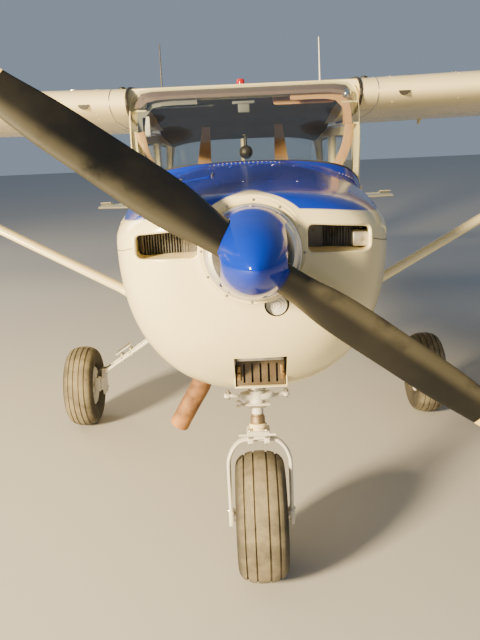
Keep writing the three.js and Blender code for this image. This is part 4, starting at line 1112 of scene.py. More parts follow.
@dataclass
class Hull:
    """The fuselage's cross sections, smooth from station to station."""

    table: tuple[tuple[float, ...], ...] = (
        (-2003, 144, 1275, 1419, 1131, 2.0, 2.0),
        (-1988, 226, 1276, 1421, 1062, 2.1, 2.1),
        (-1955, 300, 1279, 1423, 985, 2.2, 2.2),
        (-1890, 352, 1283, 1426, 905, 2.2, 2.3),
        (-1810, 379, 1287, 1430, 842, 2.2, 2.4),
        (-1720, 391, 1290, 1434, 806, 2.2, 2.4),
        (-1450, 420, 1282, 1448, 790, 2.3, 2.5),
        (-1190, 446, 1240, 1460, 780, 2.4, 2.7),
        (-1000, 455, 1200, 1468, 765, 2.5, 3.0),
        (-900, 459, 1180, 1570, 757, 2.8, 3.4),
        (-800, 466, 1165, 1662, 750, 4.6, 3.8),
        (-700, 488, 1150, 1738, 745, 10, 4.2),
        (-600, 498, 1140, 1784, 741, 18, 4.5),
        (-400, 499, 1130, 1815, 738, 18, 4.5),
        (-190, 499, 1125, 1821, 737, 16, 4.5),
        (135, 499, 1120, 1790, 737, 12, 4.5),
        (460, 494, 1115, 1736, 740, 7.0, 4.2),
        (790, 468, 1105, 1662, 746, 5.0, 3.8),
        (1100, 425, 1085, 1510, 756, 3.4, 3.4),
        (1400, 376, 1060, 1330, 768, 2.7, 3.0),
        (2300, 250, 1010, 1205, 800, 2.3, 2.6),
        (3200, 128, 950, 1075, 828, 2.2, 2.3),
        (3900, 42, 905, 985, 846, 2.2, 2.2),
    )
    quarter: int = 22

    def rows(self, y: np.ndarray) -> list[np.ndarray]:
        """Returns half, wide, top, bottom, crown and bilge at stations."""
        table = np.array(self.table)
        return [steady(table[:, 0], table[:, k], np.asarray(y, float)) for k in range(1, 7)]

    def ring(self, y: float, inset: float = 0) -> np.ndarray:
        """Returns the section at a station, shrunk by an inset, with points at even steps."""
        half, wide, top, bottom, crown, bilge = (float(v[0]) for v in self.rows(np.array([y])))
        quarters = []
        for reach, power, sign in ((top - wide, crown, 1), (wide - bottom, bilge, -1)):
            turn = np.linspace(0, math.pi / 2, 240)
            c, s = np.cos(turn), np.sin(turn)
            size = (c**power + s**power) ** (-1 / power)
            line = np.column_stack(((half - inset) * c * size, sign * (reach - inset) * s * size + wide))
            quarters.append(even(line, self.quarter + 1, False))
        upper, lower = quarters
        flip = np.array((-1, 1))
        flat = np.vstack((upper[:-1], (upper * flip)[::-1][:-1], (lower * flip)[:-1], lower[::-1][:-1]))
        return np.column_stack((flat[:, 0], np.full(len(flat), y), flat[:, 1]))

    def stations(self, start: float, end: float, step: float) -> np.ndarray:
        """Returns stations between two, dense at the nose bowl."""
        count = max(2, int(abs(end - start) / step) + 1)
        found = np.linspace(start, end, count)
        if start < -1900:
            near = -2003 + (np.linspace(0, 1, 14) ** 1.7) * 150
            found = np.concatenate((near[near >= start], found[found > -1853]))
        return found

    def slice(self, start: float, end: float, inset: float = 0, step: float = 40) -> Form:
        """Returns the solid between two stations, shrunk by an inset."""
        return loft([self.ring(y, inset) for y in self.stations(start, end, step)])

    def shell(self, start: float, end: float, wall: float, step: float = 40, lift: float = 0) -> Form:
        """Returns the open-ended skin between two stations, raised off the hull by a lift."""
        outer = [self.ring(y, -lift) for y in self.stations(start, end, step)]
        inner = [self.ring(y, wall) for y in self.stations(start, end, step)][::-1]
        return loft(outer + inner, loop=True)

    def curve(self, y: np.ndarray, z: np.ndarray) -> tuple[np.ndarray, ...]:
        """Returns half and wide, and the reach and power of the quarters that heights lie in."""
        half, wide, top, bottom, crown, bilge = self.rows(y)
        above = z >= wide
        return half, wide, np.where(above, top - wide, wide - bottom), np.where(above, crown, bilge)

    def depth(self, points: np.ndarray) -> np.ndarray:
        """Returns how far outside the hull points lie: 0 on it, negative inside."""
        half, wide, reach, power = self.curve(points[:, 1], points[:, 2])
        return np.abs(points[:, 0] / half) ** power + np.abs((points[:, 2] - wide) / reach) ** power - 1

    def normals(self, points: np.ndarray) -> np.ndarray:
        """Returns the hull's outward direction at points near it."""
        p = np.atleast_2d(np.asarray(points, float))
        steps = [self.depth(p + d) - self.depth(p - d) for d in np.eye(3) * 0.8]
        return unit(np.column_stack(steps))

    def side(self, y: float | np.ndarray, z: float | np.ndarray, side: int, lift: float = 0) -> np.ndarray:
        """Returns points on the hull's side at stations and heights."""
        y, z = np.broadcast_arrays(np.asarray(y, float), np.asarray(z, float))
        half, wide, reach, power = self.curve(y, z)
        share = np.clip(1 - np.abs((z - wide) / reach) ** power, 0, 1)
        points = np.column_stack((side * half * share ** (1 / power), y, z))
        return points + self.normals(points) * lift

    def over(self, x: float | np.ndarray, y: float | np.ndarray, lift: float = 0,
             under: bool = False) -> np.ndarray:
        """Returns points on the hull's top, or its bottom, at widths and stations."""
        x, y = np.broadcast_arrays(np.asarray(x, float), np.asarray(y, float))
        half, wide, top, bottom, crown, bilge = self.rows(y)
        reach = bottom - wide if under else top - wide
        power = bilge if under else crown
        share = np.clip(1 - np.abs(x / half) ** power, 0, 1)
        points = np.column_stack((x, y, wide + reach * share ** (1 / power)))
        return points + self.normals(points) * lift

    def front(self, x: np.ndarray, z: np.ndarray, lift: float = 0) -> np.ndarray:
        """Returns points on the nose bowl's face at widths and heights."""
        x, z = np.broadcast_arrays(np.asarray(x, float), np.asarray(z, float))
        low, high = np.full(x.shape, -2003.0), np.full(x.shape, -1200.0)
        for _ in range(40):
            middle = (low + high) / 2
            outside = self.depth(np.column_stack((x, middle, z))) > 0
            low = np.where(outside, middle, low)
            high = np.where(outside, high, middle)
        points = np.column_stack((x, low, z))
        return points + self.normals(points) * lift

    def polish(self, mesh: bpy.types.Mesh) -> bpy.types.Mesh:
        """Gives the skins' faces the hull's own normals, so that cuts don't show in the shading."""
        smooth = self.normals(points_of(mesh) / MM + (0, MIDDLE_Y, 0))
        normals = np.zeros((len(mesh.loops), 3))
        for face in mesh.polygons:
            own = np.array(face.normal)
            for loop in face.loop_indices:
                mine = smooth[mesh.loops[loop].vertex_index]
                match = float(mine @ own)
                normals[loop] = mine if match > 0.86 else -mine if match < -0.86 else own
        mesh.normals_split_custom_set(normals.tolist())
        return mesh


HULL = Hull()
FIREWALL_Y, COWL_SPLIT_Z, BOWL_REAR_Y = -1190.0, 1258.0, -1720.0
SCREW = dict(head=Head.SCREW, finish=STEEL, radius=2.9, height=1.4)
SEAM_SCREW = dict(head=Head.SCREW, radius=3.2, height=1.2)
RIVET = dict(head=Head.DOME, radius=3.4, height=1.5)


def plate_on(outline: Path, facing: Callable[[np.ndarray], np.ndarray], thick: float) -> Form:
    """Returns a thin plate with the given edge, crowned over the hull by a function of flat points."""
    edge = np.asarray(outline, float)
    centre = edge.mean(axis=0)
    rings = [facing(centre + (edge - centre) * share) for share in (0.02, 0.35, 0.7, 1.0)]
    low = [ring - HULL.normals(ring) * thick for ring in rings][::-1]
    return loft(rings + low)


@dataclass
class NoseCowl:
    """The nose bowl with its inlets and collar, and the two halves of the cowl."""

    wall: float = 6
    collar_opening: float = 118
    collar_ring: float = 137
    inlet: tuple[tuple[float, float], ...] = ((143, 1266), (309, 1261), (309, 1323), (143, 1338))
    inlet_corner: float = 17
    lip: float = 5.5
    starter: tuple[float, float, float] = (57, -1979, 1129)
    starter_hole: float = 33
    filter_box: tuple[float, float, float, float] = (10, 908, 142, 86)
    exhaust: tuple[float, float, float] = (-174, -1600, 32)

    def outline(self, side: int, grow: float = 0) -> np.ndarray:
        """Returns the edge of one inlet seen from the front, grown by a distance."""
        shape = rounded(shrink(self.inlet, -grow), self.inlet_corner + grow, 8)
        return shape * (side, 1)

    def bowl(self) -> Form:
        """Returns the bowl with its openings."""
        skin = HULL.shell(-2003, BOWL_REAR_Y - 1.2, self.wall, 24)
        face = loft([HULL.ring(-2002.9, 0.5), HULL.ring(-1996, 0)])
        form = carve(skin, face, Op.WITH)
        mouth = self.collar_opening
        plug = lathe([(0, -2100), (mouth, -2100), (mouth, -1950), (0, -1950)], "y", (0, 0, THRUST_Z), 96)
        form = carve(form, plug)
        for _, side in SIDES:
            form = carve(form, slab("y", self.outline(side, self.lip), -2100, -1790))
        x, z, wide, high = self.filter_box
        w, h = wide / 2 + 2, high / 2 + 2
        form = carve(form, block((x - w, x + w), (-2100, -1730), (z - h, z + h + 21)))
        sx, _, sz = self.starter
        return carve(form, rod((sx, -2100, sz + 5), (sx, -1900, sz + 5), self.starter_hole, sides=48))

    def lips(self, side: int) -> Form:
        """Returns the rolled edge of one inlet and the duct behind it."""
        grown = even(closed(self.outline(side, self.lip)), 96, True)
        path = HULL.front(grown[:, 0], grown[:, 1])
        inner = path - HULL.normals(path) * (self.lip - 0.2)
        back = np.column_stack((grown[:, 0], np.full(96, -1868.0), grown[:, 1]))
        front = HULL.front(grown[:, 0], grown[:, 1], -8)
        middle = grown.mean(axis=0) - grown
        slim = unit(np.column_stack((middle[:, 0], np.zeros(96), middle[:, 1]))) * 2.5
        duct = loft([front, back, back + slim, front + slim], loop=True)
        return Form.join((tube(inner, self.lip, 12, loop=True), duct))

    def build(self, shop: Workshop) -> None:
        """Makes the bowl, the cowl halves and their fittings."""
        shop.skin("nose_bowl_skin", self.bowl(), "airframe", LIVERY, ["nose_bowl"])
        shop.add("inlet_lips", self.lips(1) + self.lips(-1), "airframe", WHITE)
        mouth, rim = self.collar_opening, self.collar_ring
        profile = [(mouth - 3, -2001), (mouth, -2004.2), (rim - 13, -2004.2), (rim - 11, -2005.6),
                   (rim - 2, -2005.6), (rim, -2003.6), (rim, -1999), (mouth - 3, -1999), (mouth - 3, -2001)]
        ring = lathe(profile, "y", (0, 0, THRUST_Z), 96)
        shop.add("collar_ring", ring, "airframe", WHITE)
        self.halves(shop)
        self.starter_end(shop)
        self.filter(shop)
        self.pipe(shop)
        self.screws(shop)

    def halves(self, shop: Workshop) -> None:
        """Makes the upper and lower cowl, with the holes for the leg and the exhaust."""
        shell = HULL.shell(BOWL_REAR_Y + 1.2, FIREWALL_Y - 1.5, self.wall, 24)
        wide, long = (-700, 700), (-1800, -1100)
        upper = carve(shell, block(wide, long, (COWL_SPLIT_Z + 1, 1800)), Op.KEEP)
        shop.skin("cowl_top_skin", upper, "airframe", LIVERY, ["cowl_top"])
        lower = carve(shell, block(wide, long, (500, COWL_SPLIT_Z - 1)), Op.KEEP)
        leg_hole = rounded([(-75, -1480), (75, -1480), (75, -1150), (-75, -1150)], 30)
        lower = carve(lower, slab("z", leg_hole, 600, 900))
        x, y, radius = self.exhaust
        lower = carve(lower, rod((x, y, 600), (x, y, 900), radius + 16, sides=40))
        shop.skin("cowl_bottom_skin", lower, "airframe", LIVERY, ["cowl_bottom"])
        turn = circle(48, radius + 17)
        around = HULL.over(x + turn[:, 0], y + turn[:, 1], -1, under=True)
        leg = even(closed(leg_hole), 90, True)
        rim = HULL.over(leg[:, 0], np.minimum(leg[:, 1], FIREWALL_Y - 6), -1, under=True)
        shop.add("cowl_hole_rims", tube(around, 3.2, 8, True) + tube(rim, 3.2, 8, True), "airframe", BARE)
        door = rounded([(-235, -1500), (-120, -1500), (-120, -1385), (-235, -1385)], 12)
        flap = plate_on(door, lambda flat: HULL.over(flat[:, 0], flat[:, 1], 2.2), 1.9)
        hinge = HULL.over(np.full(12, -117.0), np.linspace(-1495, -1390, 12), 2.4)
        button = HULL.over(np.array([-222.0]), np.array([-1442.0]), 2)[0]
        aim = HULL.normals(button[None])[0]
        knob = rod(button, button + aim * 3, 9, edge=1)
        shop.add("oil_door", flap, "airframe", LIVERY)
        shop.add("oil_door_hinge", tube(hinge, 2.2, 8) + knob, "airframe", STEEL)

    def starter_end(self, shop: Workshop) -> None:
        """Makes the starter's round end cap behind its hole."""
        x, y, z = self.starter
        profile = [(0, -7), (3, -7), (4, -4), (6, -4), (7, -6.5), (10.5, -6.5), (11, -3), (13, -3),
                   (13.6, -6), (18, -6), (18.6, -3.4), (20.6, -3.4), (21.2, -5.4), (27, -5), (29.4, -2),
                   (29.4, 20), (0, 20)]
        shop.add("starter_cap", lathe(profile, "y", (x, y, z), 48), "airframe", GEAR_WHITE)
        near, far = self.starter_hole - 1.5, self.starter_hole + 0.5
        rim = closed([(near, -1996), (far, -1996), (far, -1930), (near, -1930)])
        shop.add("starter_tube", lathe(rim, "y", (x, 12, z + 5), 48), "airframe", BLACK)

    def filter(self, shop: Workshop) -> None:
        """Makes the air filter's slotted face, its bar, knobs and the duct behind it."""
        x, z, wide, high = self.filter_box
        w, h, front = wide / 2, high / 2, -1866
        body = block((x - w, x + w), (front, front + 128), (z - h, z + h + 15), 4, 3)
        for i in range(5):
            slot_x = x + (i - 2) * 23.5
            slot = block((slot_x - 3, slot_x + 3), (front - 5, front + 14), (874, 932), 2.4, 2)
            body = carve(body, slot)
        duct = rod((x, front + 123, z - 10), (x, -1650, z - 10), 30)
        duct += rod((x, -1650, 878), (x, -1650, 929), 30)
        shop.add("filter_housing", body + duct, "airframe", FILTER, ["air_filter"])
        foam = block((x - w + 8, x + w - 8), (front + 12.5, front + 20), (870, 932))
        shop.add("filter_foam", foam, "airframe", BLACK)
        bar = block((x - w + 3, x + w - 3), (front - 5, front + 1), (z + h - 10, z + h + 12), 2)
        places = [x + s * (w - 9) for s in (-1, 1)]
        clips = [block((at - 5, at + 5), (front - 4, front + 1), (z - 26, z + 18), 2) for at in places]
        knobs = [rod((at, front - 10, z - 6), (at, front - 3, z - 6), 5, edge=1.5) for at in places]
        shop.add("filter_bar", bar, "airframe", BAFFLE)
        shop.add("filter_clips", Form.join([*clips, *knobs]), "airframe", BRASS)
        sill = block((x - w - 5, x + w + 5), (front - 7, -1822), (z - h - 4.5, z - h - 1.2), 1.4, 2)
        cheeks = [block(sorted((x + s * (w + 1.8), x + s * (w + 5))), (front - 5, -1826),
                        (z - h - 4, z - 14), 1.2) for s in (-1, 1)]
        shop.add("filter_sill", Form.join([sill, *cheeks]), "airframe", WHITE)

    def pipe(self, shop: Workshop) -> None:
        """Makes the exhaust pipe's bend with its open, rolled end and clamp."""
        x, y, radius = self.exhaust
        line = spline([(x, y, 1084), (x, y, 900), (x, y, 822), (x - 6, y + 2, 785), (x - 45, y + 13, 716),
                       (x - 92, y + 25, 632)], 48)
        outer = [line[i] for i in range(48)]
        sizes = [radius] * 46 + [radius + 1.2, radius + 0.6]
        section = circle(32)
        body = sweep(outer, section, scale=sizes)
        bore = sweep([*line[26:], line[-1] + (line[-1] - line[-2]) * 3], section * (radius - 2.4))
        shop.add("exhaust_tube", carve(body, bore), "airframe", RUST, ["exhaust_pipe"])
        clamp = lathe([(radius, -7), (radius + 3, -6), (radius + 3, 6), (radius, 7), (radius, -7)],
                      "z", (x, y, 838), 40)
        ear = block((x - 5, x + 5), (y - radius - 16, y - radius + 2), (832, 844), 2)
        shop.add("exhaust_clamp", clamp + ear, "airframe", STEEL)

    def screws(self, shop: Workshop) -> None:
        """Sets the screws of the collar, the seams and the cowl's split line."""
        heads = Fasteners("cowl_screws", "airframe", **SCREW)
        pitch = 131.5
        for k in range(12):
            turn = math.radians(27 + 30 * k)
            spot = (pitch * math.cos(turn), -2005.6, THRUST_Z + pitch * math.sin(turn))
            heads.add([spot], (0, -1, 0))
        heads.build(shop)
        seams = Fasteners("seam_screws", "airframe", finish=LIVERY, **SEAM_SCREW)
        for y, count in ((BOWL_REAR_Y + 14, 30), (FIREWALL_Y - 15, 34), (FIREWALL_Y + 15, 34)):
            ring = even(closed(HULL.ring(y)), count, True)
            seams.row(ring[(np.abs(ring[:, 0]) > 95) | (ring[:, 2] > 1000)])
        for _, side in SIDES:
            for z in (COWL_SPLIT_Z - 14, COWL_SPLIT_Z + 14):
                seams.row(HULL.side(np.linspace(-1680, -1230, 7), z, side))
        seams.build(shop)
        joints = []
        for _, side in SIDES:
            across = np.linspace(317, 384, 12)
            line = HULL.front(across * side, np.interp(across, (311, 381), (1290, 1266)))
            joints.append(ribbon(line, ((-0.8, -1), (0.8, -1), (0.8, 0.5), (-0.8, 0.5))))
        shop.add("bowl_joints", Form.join(joints), "airframe", SEAL)


@dataclass
class Engine:
    """What shows of the engine through the inlets and the lower holes."""

    fin_pitch: float = 7.5

    def build(self, shop: Workshop) -> None:
        """Dresses the engine and adds its barrels' fins, baffles and bolts."""
        shop.dress("engine", ENGINE)
        shop.dress("firewall", BARE)
        for name, side in SIDES:
            fins = []
            for k in range(16):
                x = side * (176 + k * self.fin_pitch)
                ring = rounded([(-1874, 1176), (-1874, 1330), (-1856, 1340), (-1856, 1168)], 10, 3)
                fins.append(slab("x", ring, x - 1.1, x + 1.1))
            shop.add(f"cylinder_fins_{name}", Form.join(fins), "airframe", ENGINE)
            plate = block((side * 150, side * 330), (-1884, -1880.5), (1150, 1172), 1)
            wall = block((side * 322, side * 325), (-1884, -1800), (1150, 1330))
            shop.add(f"baffle_{name}", plate + wall, "airframe", BAFFLE)
        box = block((268, 312), (-1912, -1876), (1264, 1304), 4, 3)
        bolt = lathe([(0, -6), (4, -6), (5, -5), (5, -2), (8, -2), (8, 0), (0, 0)], "y",
                     (291, -1912, 1284), 6)
        shop.add("baffle_box", box, "airframe", BAFFLE)
        shop.add("baffle_bolt", bolt, "airframe", STEEL)


@dataclass
class Propeller:
    """The two blades, their hub and the pointed spinner over them."""

    tilt: float = BLADE_TILT
    plane_y: float = -2105
    rows: tuple[tuple[float, ...], ...] = (
        (0, 84, 76, 50), (110, 114, 46, 48), (240, 140, 27, 38), (420, 126, 18, 29), (560, 117, 14, 24),
        (690, 95, 11, 20), (836, 78, 8, 18), (868, 60, 6, 17), (876, 38, 5, 17))
    dome: tuple[tuple[float, float], ...] = (
        (119, -2016), (116, -2042), (102, -2098), (86, -2158), (66, -2205), (38, -2245), (12, -2267),
        (0, -2270))
    cutout: tuple[tuple[float, float], ...] = (
        (-40, -1990), (-37, -2020), (-8, -2050), (20, -2080), (27, -2120), (30, -2160), (40, -2181),
        (58, -2176), (78, -2150), (97, -2102), (110, -2058), (119, -1990))

    def blade(self, way: int, grow: float = 0, start: float = 0, end: float = 876) -> Form:
        """Returns one blade with its flat back and cambered face.

        Args:
            way: 1 or -1, for the blade's side.
            grow: What is added to its chord and thickness.
            start: Where it starts, from the hub.
            end: Where it ends.
        Returns:
            The closed blade.
        """
        table = np.array(self.rows)
        tip = np.linspace(848, 876, 8) if end > 840 else []
        stops = np.concatenate((np.linspace(start, min(end, 840), 34), tip))
        chord, thick, pitch = (steady(table[:, 0], table[:, k], stops) for k in (1, 2, 3))
        rings = []
        flat = circle(28)
        for out, c, t, p in zip(stops, chord, thick, pitch):
            blend = min(1.0, max(0.0, (out - 60) / 160))
            across = flat[:, 0] * (c + grow) / 2
            nose = 1 + 0.35 * blend * way * flat[:, 0]
            deep = flat[:, 1] * (t + grow) / 2 * nose
            deep = np.where(flat[:, 1] > 0, deep * (1 - 0.5 * blend), deep * (1 + 0.5 * blend))
            rings.append(self.stand(way * out, across, deep, math.radians(-way * p)))
        return loft(rings)

    def lean(self) -> tuple[float, float]:
        """Returns the cosine and the sine of the blade axis's tilt."""
        return math.cos(math.radians(self.tilt)), math.sin(math.radians(self.tilt))

    def stand(self, out: float, across: np.ndarray, deep: np.ndarray, pitch: float) -> np.ndarray:
        """Returns a blade section's points, turned by its pitch and set on the tilted blade axis."""
        c, s = self.lean()
        v = across * math.cos(pitch) - deep * math.sin(pitch)
        y = across * math.sin(pitch) + deep * math.cos(pitch)
        return np.column_stack((out * c - v * s, self.plane_y + y, THRUST_Z + out * s + v * c))

    def opening(self, way: int) -> Form:
        """Returns what the spinner's shell leaves open round one blade, behind its leading edge."""
        c, s = self.lean()
        flat = spline([(v, y, 0) for v, y in self.cutout], 48)[:, :2]
        rings = []
        for out in (4, 200):
            v, o = way * flat[:, 0], way * out
            rings.append(np.column_stack((o * c - v * s, flat[:, 1], THRUST_Z + o * s + v * c)))
        return loft(rings)

    def build(self, shop: Workshop) -> None:
        """Makes the blades, the spinner, its plate and the screws."""
        hub = rod((0, -2150, THRUST_Z), (0, -2015, THRUST_Z), 62, sides=48, edge=3)
        shop.add("propeller_blades", Form.join((self.blade(1), self.blade(-1), hub)), "propeller", BLADE,
                 ["propeller"], 50)
        line = spline([(r, y) for r, y in self.dome], 60)
        line[-1] = (0, self.dome[-1][1])
        centre = (0, 0, THRUST_Z)
        for name, inset, grow, finish in (("spinner_dome", 0, 7, BLUE), ("spinner_liner", 1.6, 5, POLISHED)):
            outer = [(max(0.0, r - inset), y + inset) for r, y in line]
            inner = [(max(0.0, r - inset - 1.5), y + inset + 1.5) for r, y in line][::-1]
            shell = lathe([*outer, *inner, outer[0]], "y", centre, 96)
            for way in (1, -1):
                shell = carve(carve(shell, self.blade(way, grow, 40, 240)), self.opening(way))
            shop.add(name, shell, "propeller", finish, ["spinner"] if inset == 0 else (), 28)
        rim = [(63, -2015), (118, -2015), (123.4, -2013.5), (124, -2015), (124, -2019), (122.6, -2020.5),
               (117, -2021), (112, -2030), (104, -2034), (90, -2032), (78, -2026), (63, -2024), (63, -2015)]
        shop.add("spinner_plate", lathe(rim, "y", centre, 96), "propeller", SPUN)
        heads = Fasteners("spinner_screws", "propeller", **SCREW)
        for k in range(10):
            turn = math.radians(k * 36 + self.tilt + 18)
            if abs(math.sin(turn)) < 0.72:
                continue
            aim = np.array((math.cos(turn), -0.12, math.sin(turn)))
            heads.add([aim * 118.4 + (0, -2026 - aim[1] * 118.4, THRUST_Z)], aim)
        heads.build(shop)


WINDSHIELD = ((-1100, 1532), (-800, 1330), (-600, 1784), (-500, 2000), (-1100, 2000))
DOOR = ((-620, 862), (-620, 1380), (-588, 1598), (245, 1598), (245, 1180), (150, 862))
DOOR_WINDOW = ((-584, 1262), (-548, 1552), (196, 1552), (196, 1262))
SIDE_WINDOW = ((296, 1272), (296, 1552), (640, 1530), (668, 1272))
REAR_WINDOW = ((735, 1325), (765, 1590), (868, 1900), (1100, 1900), (1345, 1325))
WINDOW_CORNER = 45
FLAT_SEAL = ((-7, -1), (7, -1), (7, 1.2), (5, 3), (-5, 3), (-7, 1.2))


def trace(line: Path, side: int, lift: float = 0, count: int = 60) -> np.ndarray:
    """Returns points on the hull's side along a line drawn in the side view."""
    ends = np.asarray(line, float)
    share = np.linspace(0, 1, 1500)[:, None]
    flat = np.vstack([a + (b - a) * share for a, b in zip(ends, ends[1:])])
    _, _, top, bottom, _, _ = HULL.rows(flat[:, 0])
    flat = flat[(flat[:, 1] < top - 0.02) & (flat[:, 1] > bottom + 0.02)]
    points = even(HULL.side(flat[:, 0], flat[:, 1], side), count, False)
    return points + HULL.normals(points) * lift


def ribbon(path: np.ndarray, section: Path, loop: bool = False) -> Form:
    """Returns a strip along a path on the hull; its section is across and out from the skin."""
    return sweep(path, section, HULL.normals(path), loop)


def window_seal(outline: Path, side: int) -> Form:
    """Returns the rubber seal round a window."""
    path = even(trace(closed(rounded(outline, WINDOW_CORNER, 8)), side, 0, 241), 120, True)
    return ribbon(path, FLAT_SEAL, True)


@dataclass
class Cabin:
    """The cabin's skins, glazing, doors and seals."""

    wall: float = 24
    glass: float = 4
    door_gap: float = 5
    roof_seam: float = 1604
    half: float = 700
    hinge_heights: tuple[float, float] = (960, 1290)

    def cut(self, form: Form, outline: Path, side: int = 0, op: Op = Op.AWAY) -> Form:
        """Cuts a form by an outline of the side view, on one side or right through."""
        low, high = (-self.half, self.half) if not side else sorted((0.0, side * self.half))
        return carve(form, slab("x", outline, low, high), op)

    def build(self, shop: Workshop) -> None:
        """Makes all the cabin's outside."""
        self.skins(shop)
        self.panes(shop)
        self.strips(shop)
        for name, side in SIDES:
            self.door(shop, name, side)
        self.rivets(shop)

    def skins(self, shop: Workshop) -> None:
        """Makes the boot cowl, belly, sides, rear cabin and tail cone."""
        boot = HULL.shell(FIREWALL_Y + 1.5, -801, self.wall, 30)
        shop.skin("boot_cowl_skin", self.cut(boot, WINDSHIELD), "airframe", LIVERY, ["boot_cowl"])
        middle = HULL.shell(-799, 699, self.wall, 50)
        low = carve(middle, block((-700, 700), (-900, 800), (600, 844)), Op.KEEP)
        board = carve(HULL.slice(-799, 699, self.wall - 1, 60), block((-700, 700), (-900, 800), (600, 800)),
                      Op.KEEP)
        shop.skin("belly_skin", carve(low, board, Op.WITH), "airframe", LIVERY, ["cabin_floor"])
        for name, side in SIDES:
            low, high = sorted((0.0, side * self.half))
            wall = carve(middle, block((low, high), (-900, 800), (846, self.roof_seam)), Op.KEEP)
            wall = self.cut(wall, WINDSHIELD)
            wall = self.cut(wall, rounded(DOOR, 40), side)
            wall = self.cut(wall, rounded(SIDE_WINDOW, WINDOW_CORNER), side)
            shop.skin(f"cabin_side_{name}_skin", wall, "airframe", LIVERY, [f"cabin_side_{name}"])
        rear = HULL.shell(701, 1399, 14, 40)
        rear = carve(rear, block((-700, 700), (600, 1500), (600, self.roof_seam)), Op.KEEP)
        rear = self.cut(rear, rounded(REAR_WINDOW, 40))
        shop.skin("cabin_rear_skin", rear, "airframe", LIVERY, ["cabin_rear"])
        cone = HULL.shell(1401, 3880, 9, 90)
        cone = carve(cone, block((-400, 400), (3236, 3780), (906, 954)))
        shop.skin("tail_cone_skin", cone, "airframe", LIVERY, ["tail_cone"])
        cap = HULL.slice(3878, 3899, 0, 10)
        ring = lathe([(15, -5), (25, -5), (25, 5), (15, 5), (15, -5)], "x", (0, 3780, 837), 28)
        shop.add("tail_cap", cap, "airframe", WHITE)
        shop.add("tie_down_ring", ring, "airframe", STEEL)

    def panes(self, shop: Workshop) -> None:
        """Makes the fixed glazing and its seals."""
        ahead = HULL.shell(-1150, -480, 1 + self.glass, 24, -1)
        pane = self.cut(ahead, shrink(WINDSHIELD, 1), 0, Op.KEEP)
        shop.skin("windshield_pane", pane, "airframe", GLAZING, ["windshield"])
        seals = []
        for name, side in SIDES:
            sheet = HULL.shell(250, 700, 4 + self.glass, 40, -4)
            pane = self.cut(sheet, rounded(shrink(SIDE_WINDOW, 0.5), WINDOW_CORNER), side, Op.KEEP)
            shop.skin(f"side_window_{name}_pane", pane, "airframe", GLAZING, [f"side_window_{name}"])
            seals.append(window_seal(SIDE_WINDOW, side))
        sheet = HULL.shell(702, 1398, 3 + self.glass, 30, -3)
        pane = self.cut(sheet, rounded(shrink(REAR_WINDOW, 0.5), 40), 0, Op.KEEP)
        pane = carve(pane, block((-700, 700), (600, 1500), (1000, self.roof_seam)), Op.KEEP)
        shop.skin("rear_window_pane", pane, "airframe", GLAZING, ["rear_window"])
        outline = rounded(REAR_WINDOW, 40)
        start = int(np.argmin(np.abs(outline[:, 1] - 1595) + (outline[:, 0] > 900) * 1000))
        line = np.roll(outline, -start, axis=0)
        line = line if line[3, 1] < line[0, 1] else line[::-1]
        seals += [ribbon(trace(line[:30], side, 0, 90), FLAT_SEAL) for _, side in SIDES]
        shop.add("window_seals", Form.join(seals), "airframe", SEAL)

    def strips(self, shop: Workshop) -> None:
        """Makes the riveted strips and rubber round the windshield."""
        heads = Fasteners("windshield_rivets", "airframe", Head.DOME, WHITE, 2.6, 1.2)
        left, right = (trace(WINDSHIELD[:2][::-1], side, 0, 60) for side in (1, -1))
        base = even(np.vstack((left, right[::-1])), 120, False)
        flat = ((-9, 0), (-9, 2.4), (37, 2.6), (40, 0))
        line = ribbon(base, flat)
        if line.points[:, 1].mean() > base[:, 1].mean():
            line = ribbon(base, [(-x, z) for x, z in flat])
        shop.add("windshield_base_strip", line, "airframe", LIVERY)
        heads.row(even(base + self.across(base) * 30, 72, False), 2.4)
        posts = []
        rubber = ribbon(base + self.across(base) * -12, ((-5, 0), (-4, 3), (4, 3), (5, 0)))
        for _, side in SIDES:
            post = trace([(-800, 1333), (-612, 1757)], side, 0, 40)
            posts.append(ribbon(post, ((-17, 0), (-16, 2.4), (16, 2.4), (17, 0))))
            heads.row(even(post, 20, False), 2.2)
        shop.add("windshield_posts", Form.join(posts), "airframe", WHITE)
        shop.add("windshield_rubber", rubber, "airframe", SEAL)
        heads.build(shop)

    def across(self, path: np.ndarray) -> np.ndarray:
        """Returns the direction on the skin, square to a path, that points forward."""
        tangent = unit(np.gradient(path, axis=0))
        found = np.cross(tangent, HULL.normals(path))
        return found * np.where(found[:, 1:2] > 0, -1, 1)

